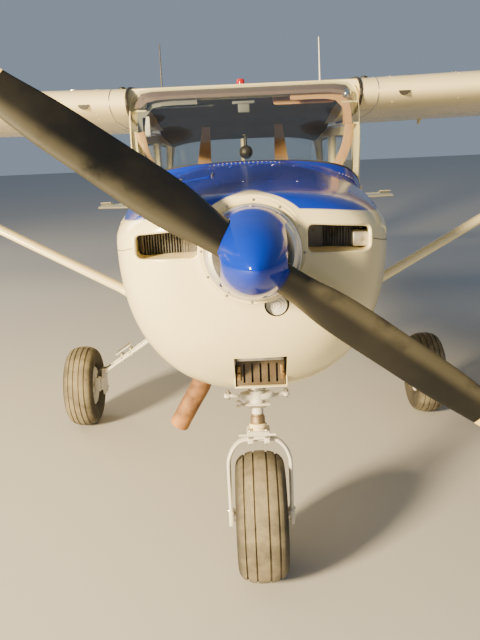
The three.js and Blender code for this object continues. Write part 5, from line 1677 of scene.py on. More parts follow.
    def door(self, shop: Workshop, name: str, side: int) -> None:
        """Makes one door with its pane, seal, handle, hinges and inner trim."""
        body = f"door_{name}"
        sheet = HULL.shell(-700, 330, self.wall, 36)
        leaf = self.cut(sheet, rounded(shrink(DOOR, self.door_gap), 36), side, Op.KEEP)
        leaf = self.cut(leaf, rounded(DOOR_WINDOW, WINDOW_CORNER), side)
        shop.skin(f"door_{name}_skin", leaf, body, LIVERY, [body])
        pane = self.cut(HULL.shell(-650, 260, 4 + self.glass, 40, -4),
                        rounded(shrink(DOOR_WINDOW, 0.5), WINDOW_CORNER), side, Op.KEEP)
        shop.skin(f"door_{name}_pane", pane, body, GLAZING, [f"door_window_{name}"])
        shop.add(f"door_{name}_seal", window_seal(DOOR_WINDOW, side), body, SEAL)
        inner = self.cut(HULL.shell(-610, 230, self.wall + 3, 40, -self.wall - 0.3),
                         rounded([(-590, 890), (-590, 1246), (220, 1246), (220, 1180), (140, 890)], 30),
                         side, Op.KEEP)
        shop.skin(f"door_{name}_trim", inner, body, TAN)
        rest_y = np.linspace(-300, 60, 14)
        rest = HULL.side(rest_y, 1140, side, -self.wall - 16)
        shop.add(f"door_{name}_arm_rest", tube(rest, [9] + [15] * 12 + [9], 16), body, BLACK)
        grip = HULL.side(np.linspace(70, 170, 16), 1208, side, 0)
        aims = HULL.normals(grip)
        lift = np.sin(np.linspace(0, math.pi, 16))[:, None] ** 0.5 * 17 + 1
        handle = sweep(grip + aims * lift, circle(12) * (5, 3.4), aims)
        cup = plate_on(rounded([(60, 1186), (180, 1186), (180, 1230), (60, 1230)], 18),
                       lambda flat: HULL.side(flat[:, 0], flat[:, 1], side, 1.4), 1.2)
        shop.add(f"door_{name}_handle", Form.join((handle, cup)), body, POLISHED)
        for way, rider in ((-1, "airframe"), (1, body)):
            knuckles = []
            for z in self.hinge_heights:
                low, high = (z - 40, z - 0.5) if way < 0 else (z + 0.5, z + 40)
                pin = rod((side * 503, -628, low), (side * 503, -628, high), 5.4, sides=20, edge=0.8)
                strap = block(sorted((side * 497, side * 501)), sorted((-628, -628 + way * 34)),
                              (low, high), 1)
                knuckles += [pin, strap]
            shop.add(f"hinge_{name}_{'fixed' if way < 0 else 'moving'}", Form.join(knuckles), rider, WHITE)
        heads = Fasteners(f"door_{name}_rivets", body, finish=LIVERY, **RIVET)
        edge = closed(rounded(shrink(DOOR, 22), 30, 6))
        heads.row(even(trace(edge, side, 0, 400), 56, True))
        heads.build(shop)

    def rivets(self, shop: Workshop) -> None:
        """Sets the rivet rows of the fuselage's seams and frames."""
        rows = Fasteners("fuselage_rivets", "airframe", finish=LIVERY, **RIVET)
        cabin = ((-790, 850, 1330), (-1160, 800, 1370), (-1010, 800, 1370), (690, 860, 1600),
                 (715, 860, 1600), (270, 860, 1590))
        cone = ((y, 0, 2000) for y in (1385, 1415, 1700, 2000, 2300, 2600, 2900, 3200, 3500, 3780))
        for y, low, high in (*cabin, *cone):
            ring = closed(HULL.ring(y))
            length = np.linalg.norm(np.diff(ring, axis=0), axis=1).sum()
            ring = even(ring, max(12, int(length / 42)), True)
            rows.row(ring[(ring[:, 2] > low) & (ring[:, 2] < high)])
        for _, side in SIDES:
            for z in (852, 838):
                rows.row(HULL.side(np.linspace(-780, 690, 36), z, side))
            for share in (0.0, 0.55):
                y = np.linspace(1430, 3760, 56)
                _, wide, top, _, _, _ = HULL.rows(y)
                rows.row(HULL.side(y, wide + (top - wide) * share, side))
        rows.build(shop)


@dataclass
class Wing:
    """The wings with their flaps, ailerons, cuffs, vents, caps, lights and aerials."""

    root_x: float = 500
    break_x: float = 2540
    tip_x: float = 4930
    reach: float = 5050
    root_chord: float = 1630
    tip_chord: float = 1120
    root_le: tuple[float, float] = (-680, 1725)
    tip_le_y: float = -560
    droop: float = 0.0644
    dihedral: float = math.tan(math.radians(1))
    flap: tuple[float, float, float, float] = (545, 2505, 560, 600)
    aileron: tuple[float, float, float] = (2560, 4700, 290)
    arms: tuple[float, float] = (1057, 2200)
    bead: float = 2.6
    section: tuple[tuple[float, float, float], ...] = (
        (0, 0, 0), (0.0125, 0.0215, 0.0165), (0.05, 0.0398, 0.0301), (0.12, 0.0496, 0.0392),
        (0.2, 0.0575, 0.0406), (0.3, 0.0625, 0.0412), (0.5, 0.0612, 0.0334), (0.7, 0.0518, 0.0214),
        (0.85, 0.0293, 0.0116), (1, 0.0018, 0.0018))
    lug_places: tuple[float, float] = (3000, 4300)

    def station(self, x: float) -> tuple[float, float, float]:
        """Returns the leading edge's station and height and the chord at a span."""
        share = min(1, max(0, (abs(x) - self.break_x) / (self.tip_x - self.break_x)))
        le_y = self.root_le[0] + (self.tip_le_y - self.root_le[0]) * share
        le_z = self.root_le[1] + max(0.0, abs(x) - self.root_x) * self.dihedral
        return le_y, le_z, self.root_chord + (self.tip_chord - self.root_chord) * share

    def face(self, along: np.ndarray, upper: bool) -> np.ndarray:
        """Returns the section's height over its chord line, as a share of the chord."""
        table = np.array(self.section)
        root = np.sqrt(table[:, 0])
        at = np.sqrt(np.clip(along, 0, 1))
        return steady(root, table[:, 1], at) if upper else -steady(root, table[:, 2], at)

    def skin(self, x: float, along: np.ndarray, upper: bool, lift: float = 0) -> np.ndarray:
        """Returns points on the upper or lower skin at shares of the chord."""
        le_y, le_z, chord = self.station(x)
        along = np.asarray(along, float)
        z = le_z - along * chord * self.droop + self.face(along, upper) * chord + (lift if upper else -lift)
        return np.column_stack((np.full(len(along), float(x)), le_y + along * chord, z))

    def height(self, x: float, along: float, upper: bool) -> float:
        """Returns the upper or lower skin's height at a share of the chord."""
        return float(self.skin(x, np.array([along]), upper)[0, 2])

    def ring(self, x: float, lift: float = 0, low: float = 0, high: float = 1,
             count: int = 34) -> np.ndarray:
        """Returns the section between two shares of the chord, closed, grown by a lift."""
        share = (1 - np.cos(np.linspace(0, math.pi, count))) / 2
        along = low + (high - low) * share if low else high * share**1.25
        top = self.skin(x, along, True, lift)
        under = self.skin(x, along, False, lift)[::-1]
        ring = np.vstack((top, under[:-1] if not low else under))
        if lift and not low:
            nose = np.clip((0.03 - np.concatenate((along, along[::-1][:-1]))) / 0.03, 0, 1)
            ring[:, 1] -= nose * lift
        return ring

    def slice(self, start: float, end: float, lift: float = 0, step: float = 160) -> Form:
        """Returns the wing between two spans."""
        steps = np.linspace(start, end, max(2, int(abs(end - start) / step) + 1)).tolist()
        breaks = [x for x in (self.break_x, -self.break_x) if min(start, end) < x < max(start, end)]
        return loft([self.ring(x, lift) for x in sorted({*steps, *breaks})])

    def tip(self) -> Form:
        """Returns the left wing's rounded tip."""
        rings = []
        base_y, base_z, _ = self.station(self.tip_x)
        for turn in np.linspace(0, math.pi / 2, 9)[:-1]:
            out = math.sin(turn)
            ring = self.ring(self.tip_x)
            shrinkage = 1 - 0.22 * out**2.2
            thick = math.cos(turn) ** 0.8
            ring[:, 0] = self.tip_x + out * (self.reach - self.tip_x)
            ring[:, 1] = base_y + 118 * out**2 + (ring[:, 1] - base_y) * shrinkage
            line = base_z - (ring[:, 1] - base_y) * self.droop
            ring[:, 2] = line + (ring[:, 2] - line) * thick + 6 * out
            rings.append(ring)
        return loft(rings)

    def build(self, shop: Workshop) -> None:
        """Makes both wings and what is on them."""
        for name, side in SIDES:
            self.panel(shop, name, side)
            self.movables(shop, name, side)
            self.strut(shop, name, side)
            self.fittings(shop, name, side)
        self.roof(shop)
        self.aerials(shop)

    def panel(self, shop: Workshop, name: str, side: int) -> None:
        """Makes one wing with its coves, arms and rivets."""
        inner, outer, cut_y, _ = self.flap
        a_in, a_out, depth = self.aileron
        form = self.slice(self.root_x, self.tip_x)
        form = carve(form, self.tip(), Op.WITH)
        form = carve(form, block((inner, outer), (cut_y, 1100), (1500, 2000)))
        edges = [(x, sum(self.station(x)[::2]) - depth) for x in (a_in, a_out)]
        wedge = slab("z", [edges[0], edges[1], (a_out, 1200), (a_in, 1200)], 1500, 2100)
        form = carve(form, wedge)
        shop.add(f"wing_{name}_skin", form.on(side), "airframe", WHITE, [f"wing_{name}"], 40)
        arms = [self.arm(x, False) for x in self.arms]
        lugs = []
        for x in self.lug_places:
            le_y, _, chord = self.station(x)
            top = self.height(x, 1 - depth / chord, True)
            front = le_y + chord - depth
            lugs.append(block((x - 8, x + 8), (front - 3, front + 14), (top - 18, top - 4), 2))
        shop.add(f"wing_{name}_brackets", Form.join(arms + lugs).on(side), "airframe", WHITE)
        heads = Fasteners(f"wing_{name}_rivets", "airframe", finish=WHITE, **RIVET)
        for upper in (True, False):
            aim = (0, 0, 1 if upper else -1)
            for x in np.arange(640, 4900, 285):
                le_y, _, chord = self.station(x)
                last = (cut_y - le_y) / chord if x < outer + 20 else 1 - depth / chord
                line = self.skin(x, np.arange(0.035, last - 0.02, 50 / chord), upper)
                heads.add(line * (side, 1, 1), aim)
            for share in (0.3, 0.31, 0.71):
                spans = np.arange(560, 4880, 55)
                line = np.vstack([self.skin(x, np.array([share]), upper) for x in spans
                                  if self.station(x)[0] + share * self.station(x)[2] < cut_y - 20])
                heads.add(line * (side, 1, 1), aim)
        heads.build(shop)

    def arm(self, x: float, moving: bool) -> Form:
        """Returns one flap hinge plate, on the wing or on the flap."""
        le_y, _, chord = self.station(x)
        _, _, cut_y, hinge_y = self.flap
        low = self.height(x, (hinge_y - le_y) / chord, False)
        pin = low - 18
        if moving:
            outline = [(hinge_y - 12, low + 6), (hinge_y + 60, low + 6), (hinge_y + 12, pin - 9),
                       (hinge_y, pin - 12), (hinge_y - 9, pin - 8)]
            plate = slab("x", outline, x + 0.6, x + 6)
            return plate + rod((x + 5, hinge_y, pin), (x + 9, hinge_y, pin), 6, edge=1)
        outline = [(cut_y - 80, low + 8), (cut_y - 8, low + 8), (cut_y, low - 6), (hinge_y + 12, pin + 7),
                   (hinge_y + 12, pin - 8), (hinge_y, pin - 12), (hinge_y - 10, pin - 10)]
        plate = slab("x", outline, x - 6, x - 0.6)
        return plate + rod((x - 9, hinge_y, pin), (x - 5, hinge_y, pin), 6, edge=1)

    def beaded(self, start: float, end: float, low: Callable[[float], float], slant: float,
               pitch: float) -> Form:
        """Returns a movable surface whose skins are stiffened by pressed beads.

        Args:
            start: Its inner end.
            end: Its outer end.
            low: The share of the chord where it starts, by span.
            slant: How far its lower front edge lies behind the upper one.
            pitch: The distance between beads.
        Returns:
            The closed surface.
        """
        count = int((end - start - 80) / pitch)
        centres = start + 40 + (np.arange(count + 1)) * (end - start - 80) / count
        stops = sorted({start, end, *[c + d for c in centres for d in (-16, -9, -3, 3, 9, 16)]})
        rings = []
        share = (1 - np.cos(np.linspace(0, math.pi, 16))) / 2
        for x in stops:
            _, _, chord = self.station(x)
            first = low(x)
            near = float(np.min(np.abs(centres - x)))
            rise = self.bead * max(0.0, 1 - near / 13) * (start < x < end)
            hump = np.clip(np.sin(share * math.pi) * 3 - 0.35, 0, 1) * rise
            top = self.skin(x, first + (0.999 - first) * share, True)
            under = self.skin(x, first + slant / chord + (0.999 - first - slant / chord) * share, False)
            top[:, 2] += hump
            under[:, 2] -= hump
            rings.append(np.vstack((top, under[::-1])))
        return loft(rings)

    def movables(self, shop: Workshop, name: str, side: int) -> None:
        """Makes the flap and the aileron."""
        inner, outer, cut_y, _ = self.flap
        a_in, a_out, depth = self.aileron
        flap = self.beaded(inner + 6, outer - 6,
                           lambda x: (cut_y + 8 - self.station(x)[0]) / self.station(x)[2], 4, 128)
        plates = Form.join([self.arm(x, True) for x in self.arms])
        shop.add(f"flap_{name}_skin", flap.on(side), f"flap_{name}", WHITE, [f"flap_{name}"])
        shop.add(f"flap_{name}_arms", plates.on(side), f"flap_{name}", WHITE)
        aileron = self.beaded(a_in + 6, a_out - 6, lambda x: 1 - (depth - 6) / self.station(x)[2], 26, 106)
        for x in self.lug_places:
            le_y, _, chord = self.station(x)
            front = le_y + chord - depth
            top = self.height(x, 1 - depth / chord, True)
            aileron = carve(aileron, block((x - 9, x + 9), (front - 8, front + 21), (top - 66, top + 14)))
        shop.add(f"aileron_{name}_skin", aileron.on(side), f"aileron_{name}", WHITE, [f"aileron_{name}"])

    def strut(self, shop: Workshop, name: str, side: int) -> None:
        """Makes one strut with the fairings at its ends."""
        a, b = np.array((455.0, -697.0, 857.0)), np.array((2060.0, -330.0, 1643.0))
        turn = circle(36)
        wide = np.where(turn[:, 0] < 0, 0.42, 0.58) * 100
        rings = []
        for share in (0, 0.5, 1):
            ring = np.tile(a + (b - a) * share, (36, 1))
            ring[:, 1] += turn[:, 0] * wide
            lift = turn[:, 1] * 17 * (1 - 0.25 * turn[:, 0])
            ring[:, 2] += lift
            ring[:, 0] -= lift * 0.38
            rings.append(ring)
        shop.add(f"strut_{name}_tube", loft(rings).on(side), "airframe", WHITE, [f"strut_{name}"])
        cuffs, length = [], 150
        for spot, way in ((a, 1), (b, -1)):
            axis = unit(b - a) * way
            parts = []
            for share, grow in ((0.16, 1.5), (0.5, 1.34), (0.85, 1.14), (1.0, 1.05), (1.0, 0.98)):
                swell = (grow, 1 + (grow - 1) * 0.5, grow)
                parts.append((rings[0] - a) * swell + spot + axis * length * share)
            cuffs.append(loft(parts))
        shop.add(f"strut_{name}_cuffs", Form.join(cuffs).on(side), "airframe", WHITE)

    def fittings(self, shop: Workshop, name: str, side: int) -> None:
        """Makes the root cuff, vent, fuel cap, lights and the black seal of one wing."""
        for title, x, section, finish in (
                ("root_seal", -3, ((-6, -3), (6, -3), (6, 3), (0, 5), (-6, 3)), SEAL),
                ("cuff_joint", 72, ((-1.8, -3), (1.8, -3), (1.8, -1.2), (-1.8, -1.2)), BARE)):
            ring = self.ring(self.root_x + x, 2.4, 0, 0.9, 40)
            nose = even(np.vstack((ring[-22:], ring[:23])), 70, False)
            outs = unit(nose - np.array([nose[:, 0].mean(), nose[:, 1].max() + 60, nose[:, 2].mean()]))
            shop.add(f"{title}_{name}", sweep(nose, section, outs).on(side), "airframe", finish)
        crest = self.skin(530, np.array([0.075]), True)[0]
        bump = lathe([(0, 9), (9, 8), (15, 4), (17, -6), (0, -6)], "z", crest, 24)
        shop.add(f"cuff_button_{name}", bump.on(side), "airframe", BLACK)
        le_y, le_z, _ = self.station(680)
        half_moon = [(655 + 50 * t, le_z - 4 - 20 * math.sin(math.pi * t) ** 0.6)
                     for t in np.linspace(0, 1, 15)]
        vent = slab("y", half_moon, le_y - 4, le_y + 12)
        shop.add(f"wing_vent_{name}", vent.on(side), "airframe", BLACK)
        cap_x, cap_y = 780, -350
        base_y, _, chord = self.station(cap_x)
        top = self.skin(cap_x, np.array([(cap_y - base_y) / chord]), True)[0]
        profile = [(0, 7), (16, 7), (22, 6.4), (30, 4), (36, 3), (42, 1.4), (44, -4), (0, -4)]
        cap = lathe(profile, "z", top, 40)
        vane = block((top[0] - 24, top[0] + 24), (top[1] - 3, top[1] + 3), (top[2] + 5, top[2] + 10), 1.4)
        shop.add(f"fuel_cap_{name}", (cap + vane).on(side), "airframe", POLISHED)
        tip_y, tip_z, _ = self.station(self.tip_x)
        lamp = lathe([(0, -34), (10, -32), (17, -24), (20, -8), (20, 14), (0, 14)], "y",
                     (4992, tip_y + 62, tip_z - 2), 28)
        shop.add(f"tip_lamp_{name}", lamp.on(side), "airframe", RED if side > 0 else GREEN)

    def roof(self, shop: Workshop) -> None:
        """Makes the wing's middle over the cabin, with the headliner under it."""
        top = self.slice(-499.5, 499.5, 0, 90)
        top = carve(top, block((-700, 700), (-720, 929), (1605, 2000)), Op.KEEP)
        top = carve(top, slab("x", WINDSHIELD, -700, 700))
        top = carve(top, HULL.slice(-900, 760, 51, 40))
        shop.add("cabin_roof_skin", top, "airframe", WHITE, ["cabin_roof"], 40)
        shop.add("headliner", self.headliner(), "airframe", HEADLINER)
        band = carve(HULL.shell(-664, -603, 26, 12, -12), block((-476, 476), (-700, -560), (1700, 1800)),
                     Op.KEEP)
        shop.add("header_band", band, "airframe", HEADER)

    def headliner(self) -> Form:
        """Returns the cloth ceiling, which falls towards the rear window in shallow waves."""
        rings = []
        for y in np.linspace(-588, 692, 66):
            height = np.interp(y, (-588, -400, -100, 250, 692), (1748, 1738, 1700, 1632, 1556))
            height += 5 * abs(math.sin(y / 320 * math.pi))
            half = np.interp(y, (-588, -400, 400, 692), (462, 470, 462, 436))
            across = np.linspace(-half, half, 24)
            drop = 34 * np.abs(across / half) ** 4
            under = np.column_stack((across, np.full(24, y), height - drop))
            rings.append(np.vstack((under, (under + (0, 0, 3))[::-1])))
        return loft(rings)

    def aerials(self, shop: Workshop) -> None:
        """Makes the two whips with their feet and the pitot tube on its mast."""
        for name, x, finish in (("left", 393, PALE_AERIAL), ("right", -409, DARK_AERIAL)):
            low, high = np.array((x, -60.0, 1774.0)), np.array((x, -25.0, 2035.0))
            line = spline([low, (x, -53, 1845), (x, -40, 1945), high], 24)
            foot = lathe([(5, 44), (8, 36), (13, 30), (17, 27), (19, 22), (0, 22), (0, 44)], "z",
                         (x, -60, 1764), 28)
            whip = tube(line, np.linspace(4.6, 2.4, 24), 12) + foot
            shop.add(f"whip_{name}", whip, "airframe", finish, [f"antenna_{name}"])
        x = 2250
        mast = sweep(spline([(x, -326, 1696), (x, -350, 1650), (x, -378, 1612)], 16), circle(16) * (4, 13),
                     [(0, 1, 0.4)] * 16)
        tip = tube(spline([(x, -366, 1610), (x, -500, 1607.5), (x, -625, 1606), (x, -640, 1606)], 24),
                   [8] * 18 + [7.6, 7.2, 6.6, 6, 5.4, 4.6], 18)
        shop.add("pitot_head", mast + tip, "airframe", BARE, ["pitot_tube"])


@dataclass
class Tail:
    """The fin, rudder, stabiliser, elevator and beacon."""

    z: float = 930
    hinge: float = 3800
    fin_hinge: float = 3945
    droop: float = 15
    bead: float = 2.4

    def leaf(self, rows: Sequence[Sequence[float]], upright: bool, pitch: float = 0) -> Form:
        """Returns a thin symmetric surface.

        Args:
            rows: For each end its place across, leading edge, trailing edge and thickness.
            upright: Whether it stands, as a fin does.
            pitch: The distance between stiffening beads, 0 for none.
        Returns:
            The closed surface.
        """
        table = np.array(rows, float)
        start, end = table[0, 0], table[-1, 0]
        stops = {*table[:, 0].tolist(), *np.linspace(start, end, 12).tolist()}
        centres = np.array([])
        if pitch:
            count = max(1, int((abs(end - start) - 70) / pitch))
            centres = np.linspace(start, end, count + 3)[1:-1]
            stops |= {c + d for c in centres for d in (-14, -7, -2, 2, 7, 14)}
        share = (1 - np.cos(np.linspace(0, math.pi, 18))) / 2
        thick = np.interp(share, (0, 0.06, 0.3, 0.7, 1), (0, 0.5, 1, 0.78, 0.16))
        thick = np.where(share < 0.3, np.sqrt(np.clip(1 - (1 - share / 0.3) ** 2, 0, 1)), thick)
        rings = []
        for s in sorted(stops):
            le, te, deep = (np.interp(s, table[:, 0], table[:, k]) if start < end
                            else np.interp(-s, -table[:, 0], table[:, k]) for k in (1, 2, 3))
            rise = 0.0
            if len(centres) and abs(s - start) > 1 and abs(s - end) > 1:
                rise = self.bead * max(0.0, 1 - float(np.min(np.abs(centres - s))) / 11)
            hump = np.clip(np.sin(share * math.pi) * 3 - 0.5, 0, 1) * rise
            off = thick * deep / 2 + hump
            along = le + (te - le) * share
            flat = np.vstack((np.column_stack((along, off)), np.column_stack((along, -off))[::-1][:-1]))[1:]
            if upright:
                rings.append(np.column_stack((flat[:, 1], flat[:, 0], np.full(len(flat), s))))
            else:
                rings.append(np.column_stack((np.full(len(flat), s), flat[:, 0], self.z + flat[:, 1])))
        return loft(rings)

    def build(self, shop: Workshop) -> None:
        """Makes the tail surfaces and the lamps on them."""
        stab_te = self.hinge - 24
        stab = self.leaf([(-1525, 3470, stab_te, 30), (-100, 3255, stab_te, 44), (100, 3255, stab_te, 44),
                          (1525, 3470, stab_te, 30)], False)
        for side in (1, -1):
            stab = carve(stab, block(sorted((side * 1422, side * 1700)), (3636, 4000), (700, 1100)))
        shop.add("stabiliser_skin", stab, "airframe", WHITE, ["stabilizer"], 40)
        halves = []
        for side in (1, -1):
            front = self.hinge - 16
            main = self.leaf([(side * 125, front, 4095, 40), (side * 1430, front, 4040, 30)], False, 118)
            horn = self.leaf([(side * 1429, 3650, 4040, 29), (side * 1537, 3650, 4020, 22)], False)
            halves.append(carve(main, horn, Op.WITH))
        tube_form = rod((-155, self.hinge, self.z), (155, self.hinge, self.z), 16, sides=32)
        horn_arm = slab("x", [(3792, 945), (3812, 945), (3818, 985), (3808, 992), (3798, 985)], -4, 4)
        centre = (0, self.hinge, self.z)
        elevator = Form.join(halves).turned("x", -self.droop, centre)
        shop.add("elevator_skin", elevator, "elevator", WHITE, ["elevator"], 40)
        shop.add("elevator_tube", (tube_form + horn_arm).turned("x", -self.droop, centre), "elevator", STEEL)
        fin = self.leaf([(960, 3230, 3911, 52), (2085, 3655, 3911, 40)], True)
        fin = carve(fin, HULL.slice(3000, 3900, -0.5, 60))
        fin = carve(fin, block((-200, 200), (3000, 4100), (962, 2200)), Op.KEEP)
        shop.add("fin_skin", fin, "airframe", WHITE, ["fin"], 40)
        fillet = self.leaf([(962, 2980, 3600, 30), (1090, 3225, 3600, 16)], True)
        fillet = carve(fillet, HULL.slice(2900, 3900, -0.5, 60))
        shop.add("fin_fillet", fillet, "airframe", WHITE, (), 40)
        hinge, lugs = self.fin_hinge, []
        rudder = self.leaf([(838, hinge - 16, 4310, 46), (2085, hinge - 16, 4262, 34)], True, 112)
        for z in (1160, 1850):
            rudder = carve(rudder, block((-60, 60), (hinge - 45, hinge + 9), (z - 13, z + 13)))
            lugs.append(block((-6, 6), (hinge - 45, hinge), (z - 12, z + 12), 1))
            lugs.append(rod((0, hinge, z - 12), (0, hinge, z + 12), 6, edge=1))
        shop.add("rudder_skin", rudder, "rudder", WHITE, ["rudder"], 40)
        shop.add("rudder_lugs", Form.join(lugs), "airframe", STEEL)
        top = (0, 3800, 2085.5)
        profile = [(0, 80), (18, 79), (34, 75), (40, 66), (42, 50), (42.6, 30), (42.6, 12), (31, 6), (0, 6)]
        dome = lathe(profile, "z", top, 40)
        base = lathe([(0, 7), (31, 7), (35.4, 5.4), (35.4, 1), (0, 1)], "z", top, 40)
        shop.add("beacon_lens", dome, "airframe", RED, ["beacon"])
        shop.add("beacon_base", base, "airframe", POLISHED)
        lamp = lathe([(0, 12), (6, 10), (11, 4), (12, -4), (12, -22), (0, -22)], "y", (0, 4312, 1050), 24)
        shop.add("tail_lamp", lamp.moved(y=-14), "rudder", CLEAR)
        self.rivets(shop, stab_te)

    def rivets(self, shop: Workshop, stab_te: float) -> None:
        """Sets the rivet rows of the stabiliser and the fin."""
        heads = Fasteners("tail_rivets", "airframe", finish=WHITE, **RIVET)
        for side in (1, -1):
            for x in np.arange(180, 1420, 150):
                le = np.interp(x, (100, 1525), (3255, 3470))
                deep = np.interp(x, (100, 1525), (44, 30)) / 2
                y = np.arange(le + 60, stab_te - 20, 40)
                for up in (1, -1):
                    level = np.full(len(y), self.z + up * deep * 0.93)
                    heads.add(np.column_stack((np.full(len(y), side * x), y, level)), (0, 0, up))
            for z in np.arange(1080, 2060, 140):
                le = np.interp(z, (960, 2085), (3230, 3655))
                deep = np.interp(z, (960, 2085), (52, 40)) / 2
                y = np.arange(le + 60, 3890, 40)
                across = np.full(len(y), side * deep * 0.93)
                heads.add(np.column_stack((across, y, np.full(len(y), z))), (side, 0, 0))
        heads.build(shop)


@dataclass
class Wheel:
    """One wheel and its tyre about an axle across the aircraft."""

    name: str
    body: str
    centre: tuple[float, float, float]
    radius: float
    width: float
    tyre: Tyre
    grooves: tuple[float, ...]
    rim: float = 92
    flange: float = 108
    bolt_circle: float = 63

    def tread(self) -> np.ndarray:
        """Returns the tyre's closed profile with its grooves."""
        half, reach = self.width / 2, self.radius
        side = [(self.rim + 1, 0.5 * half), (self.flange + 3, 0.66 * half), (self.flange + 22, 0.86 * half),
                (reach * 0.7, 0.965 * half), (reach * 0.78, half * 0.98), (reach * 0.855, 0.93 * half),
                (reach * 0.913, 0.82 * half)]
        side = [tuple(p) for p in spline(side, 26)]
        crown = []
        for x in np.linspace(0.8 * half, -0.8 * half, 61):
            drop = (abs(x) / (0.82 * half)) ** 2.5 * reach * 0.084
            crown.append((reach - drop, x))
        line = np.array(crown)[::-1]
        edges = [groove + step for groove in self.grooves for step in (-4.2, -2.6, 2.6, 4.2)]
        stops = sorted({*line[:, 1].tolist(), *edges})
        grown = []
        for x in stops:
            r = float(np.interp(x, line[:, 1], line[:, 0]))
            near = min(abs(x - g) for g in self.grooves)
            grown.append((r - 5.5 * (near < 2.61), x))
        far = [(r, -x) for r, x in side]
        return np.array([*far, *grown, *side[::-1], far[0]])

    def build(self, shop: Workshop, replaces: tuple[str, str], brake: int = 0) -> None:
        """Makes the tyre, the cast wheel, its bolts and on one side the brake disc.

        Args:
            shop: The workshop.
            replaces: The CAD nodes of the wheel and the tyre.
            brake: The side of the brake disc, or 0 for none.
        """
        shop.add(f"{self.name}_rubber", lathe(self.tread(), "x", self.centre, 96), self.body, self.tyre,
                 [replaces[1]], 28)
        half = self.width / 2
        rim, edge = self.rim, self.flange
        side = [(r, share * half) for r, share in (
            (20.5, 0.60), (30, 0.62), (36, 0.60), (44, 0.50), (50, 0.30), (66, 0.24), (rim - 14, 0.27),
            (rim - 8, 0.5), (edge - 8, 0.665), (edge - 2, 0.70), (edge, 0.66), (edge - 1, 0.63),
            (rim + 4, 0.60), (rim, 0.5))]
        far = [(r, -x) for r, x in side]
        hub = lathe([*far, *side[::-1], far[0]], "x", self.centre, 72)
        middle = self.centre[0]
        for k in range(6):
            y, z = self.around(60 * k + 30)
            hub = carve(hub, rod((middle - 60, y, z), (middle + 60, y, z), 9.5, sides=20))
        shop.add(f"{self.name}_rim", hub, self.body, GEAR_WHITE, [replaces[0]])
        heads = Fasteners(f"{self.name}_bolts", self.body, Head.HEX, STEEL, 5.2, 5)
        for way in (1, -1):
            for k in range(6):
                heads.add([(middle + way * 0.25 * half, *self.around(60 * k))], (way, 0, 0))
        heads.build(shop)
        out = -brake or 1
        if brake:
            disc = lathe([(46, 34), (84, 34), (85, 35), (85, 40), (84, 41), (46, 41), (46, 34)], "x",
                         (0, 0, 0), 64)
            shop.add(f"{self.name}_brake_disc", disc.on(brake).moved(*self.centre), self.body, BARE)
            profile = ((0, 0.60), (14, 0.60), (27, 0.53), (27, 0.40), (0, 0.40))
            cap = lathe([(r, out * share * half) for r, share in profile], "x", self.centre, 32)
            shop.add(f"{self.name}_dust_cap", cap, self.body, BARE)
        _, y, z = self.centre
        stem = rod((middle + out * 0.27 * half, y, z + 82), (middle + out * (0.27 * half + 26), y, z + 80),
                   3.4, edge=0.8, sides=14)
        shop.add(f"{self.name}_valve", stem, self.body, SEAL)

    def around(self, degrees: float) -> tuple[float, float]:
        """Returns a place on the bolt circle: its station and height."""
        turn = math.radians(degrees)
        return (self.centre[1] + self.bolt_circle * math.cos(turn),
                self.centre[2] + self.bolt_circle * math.sin(turn))


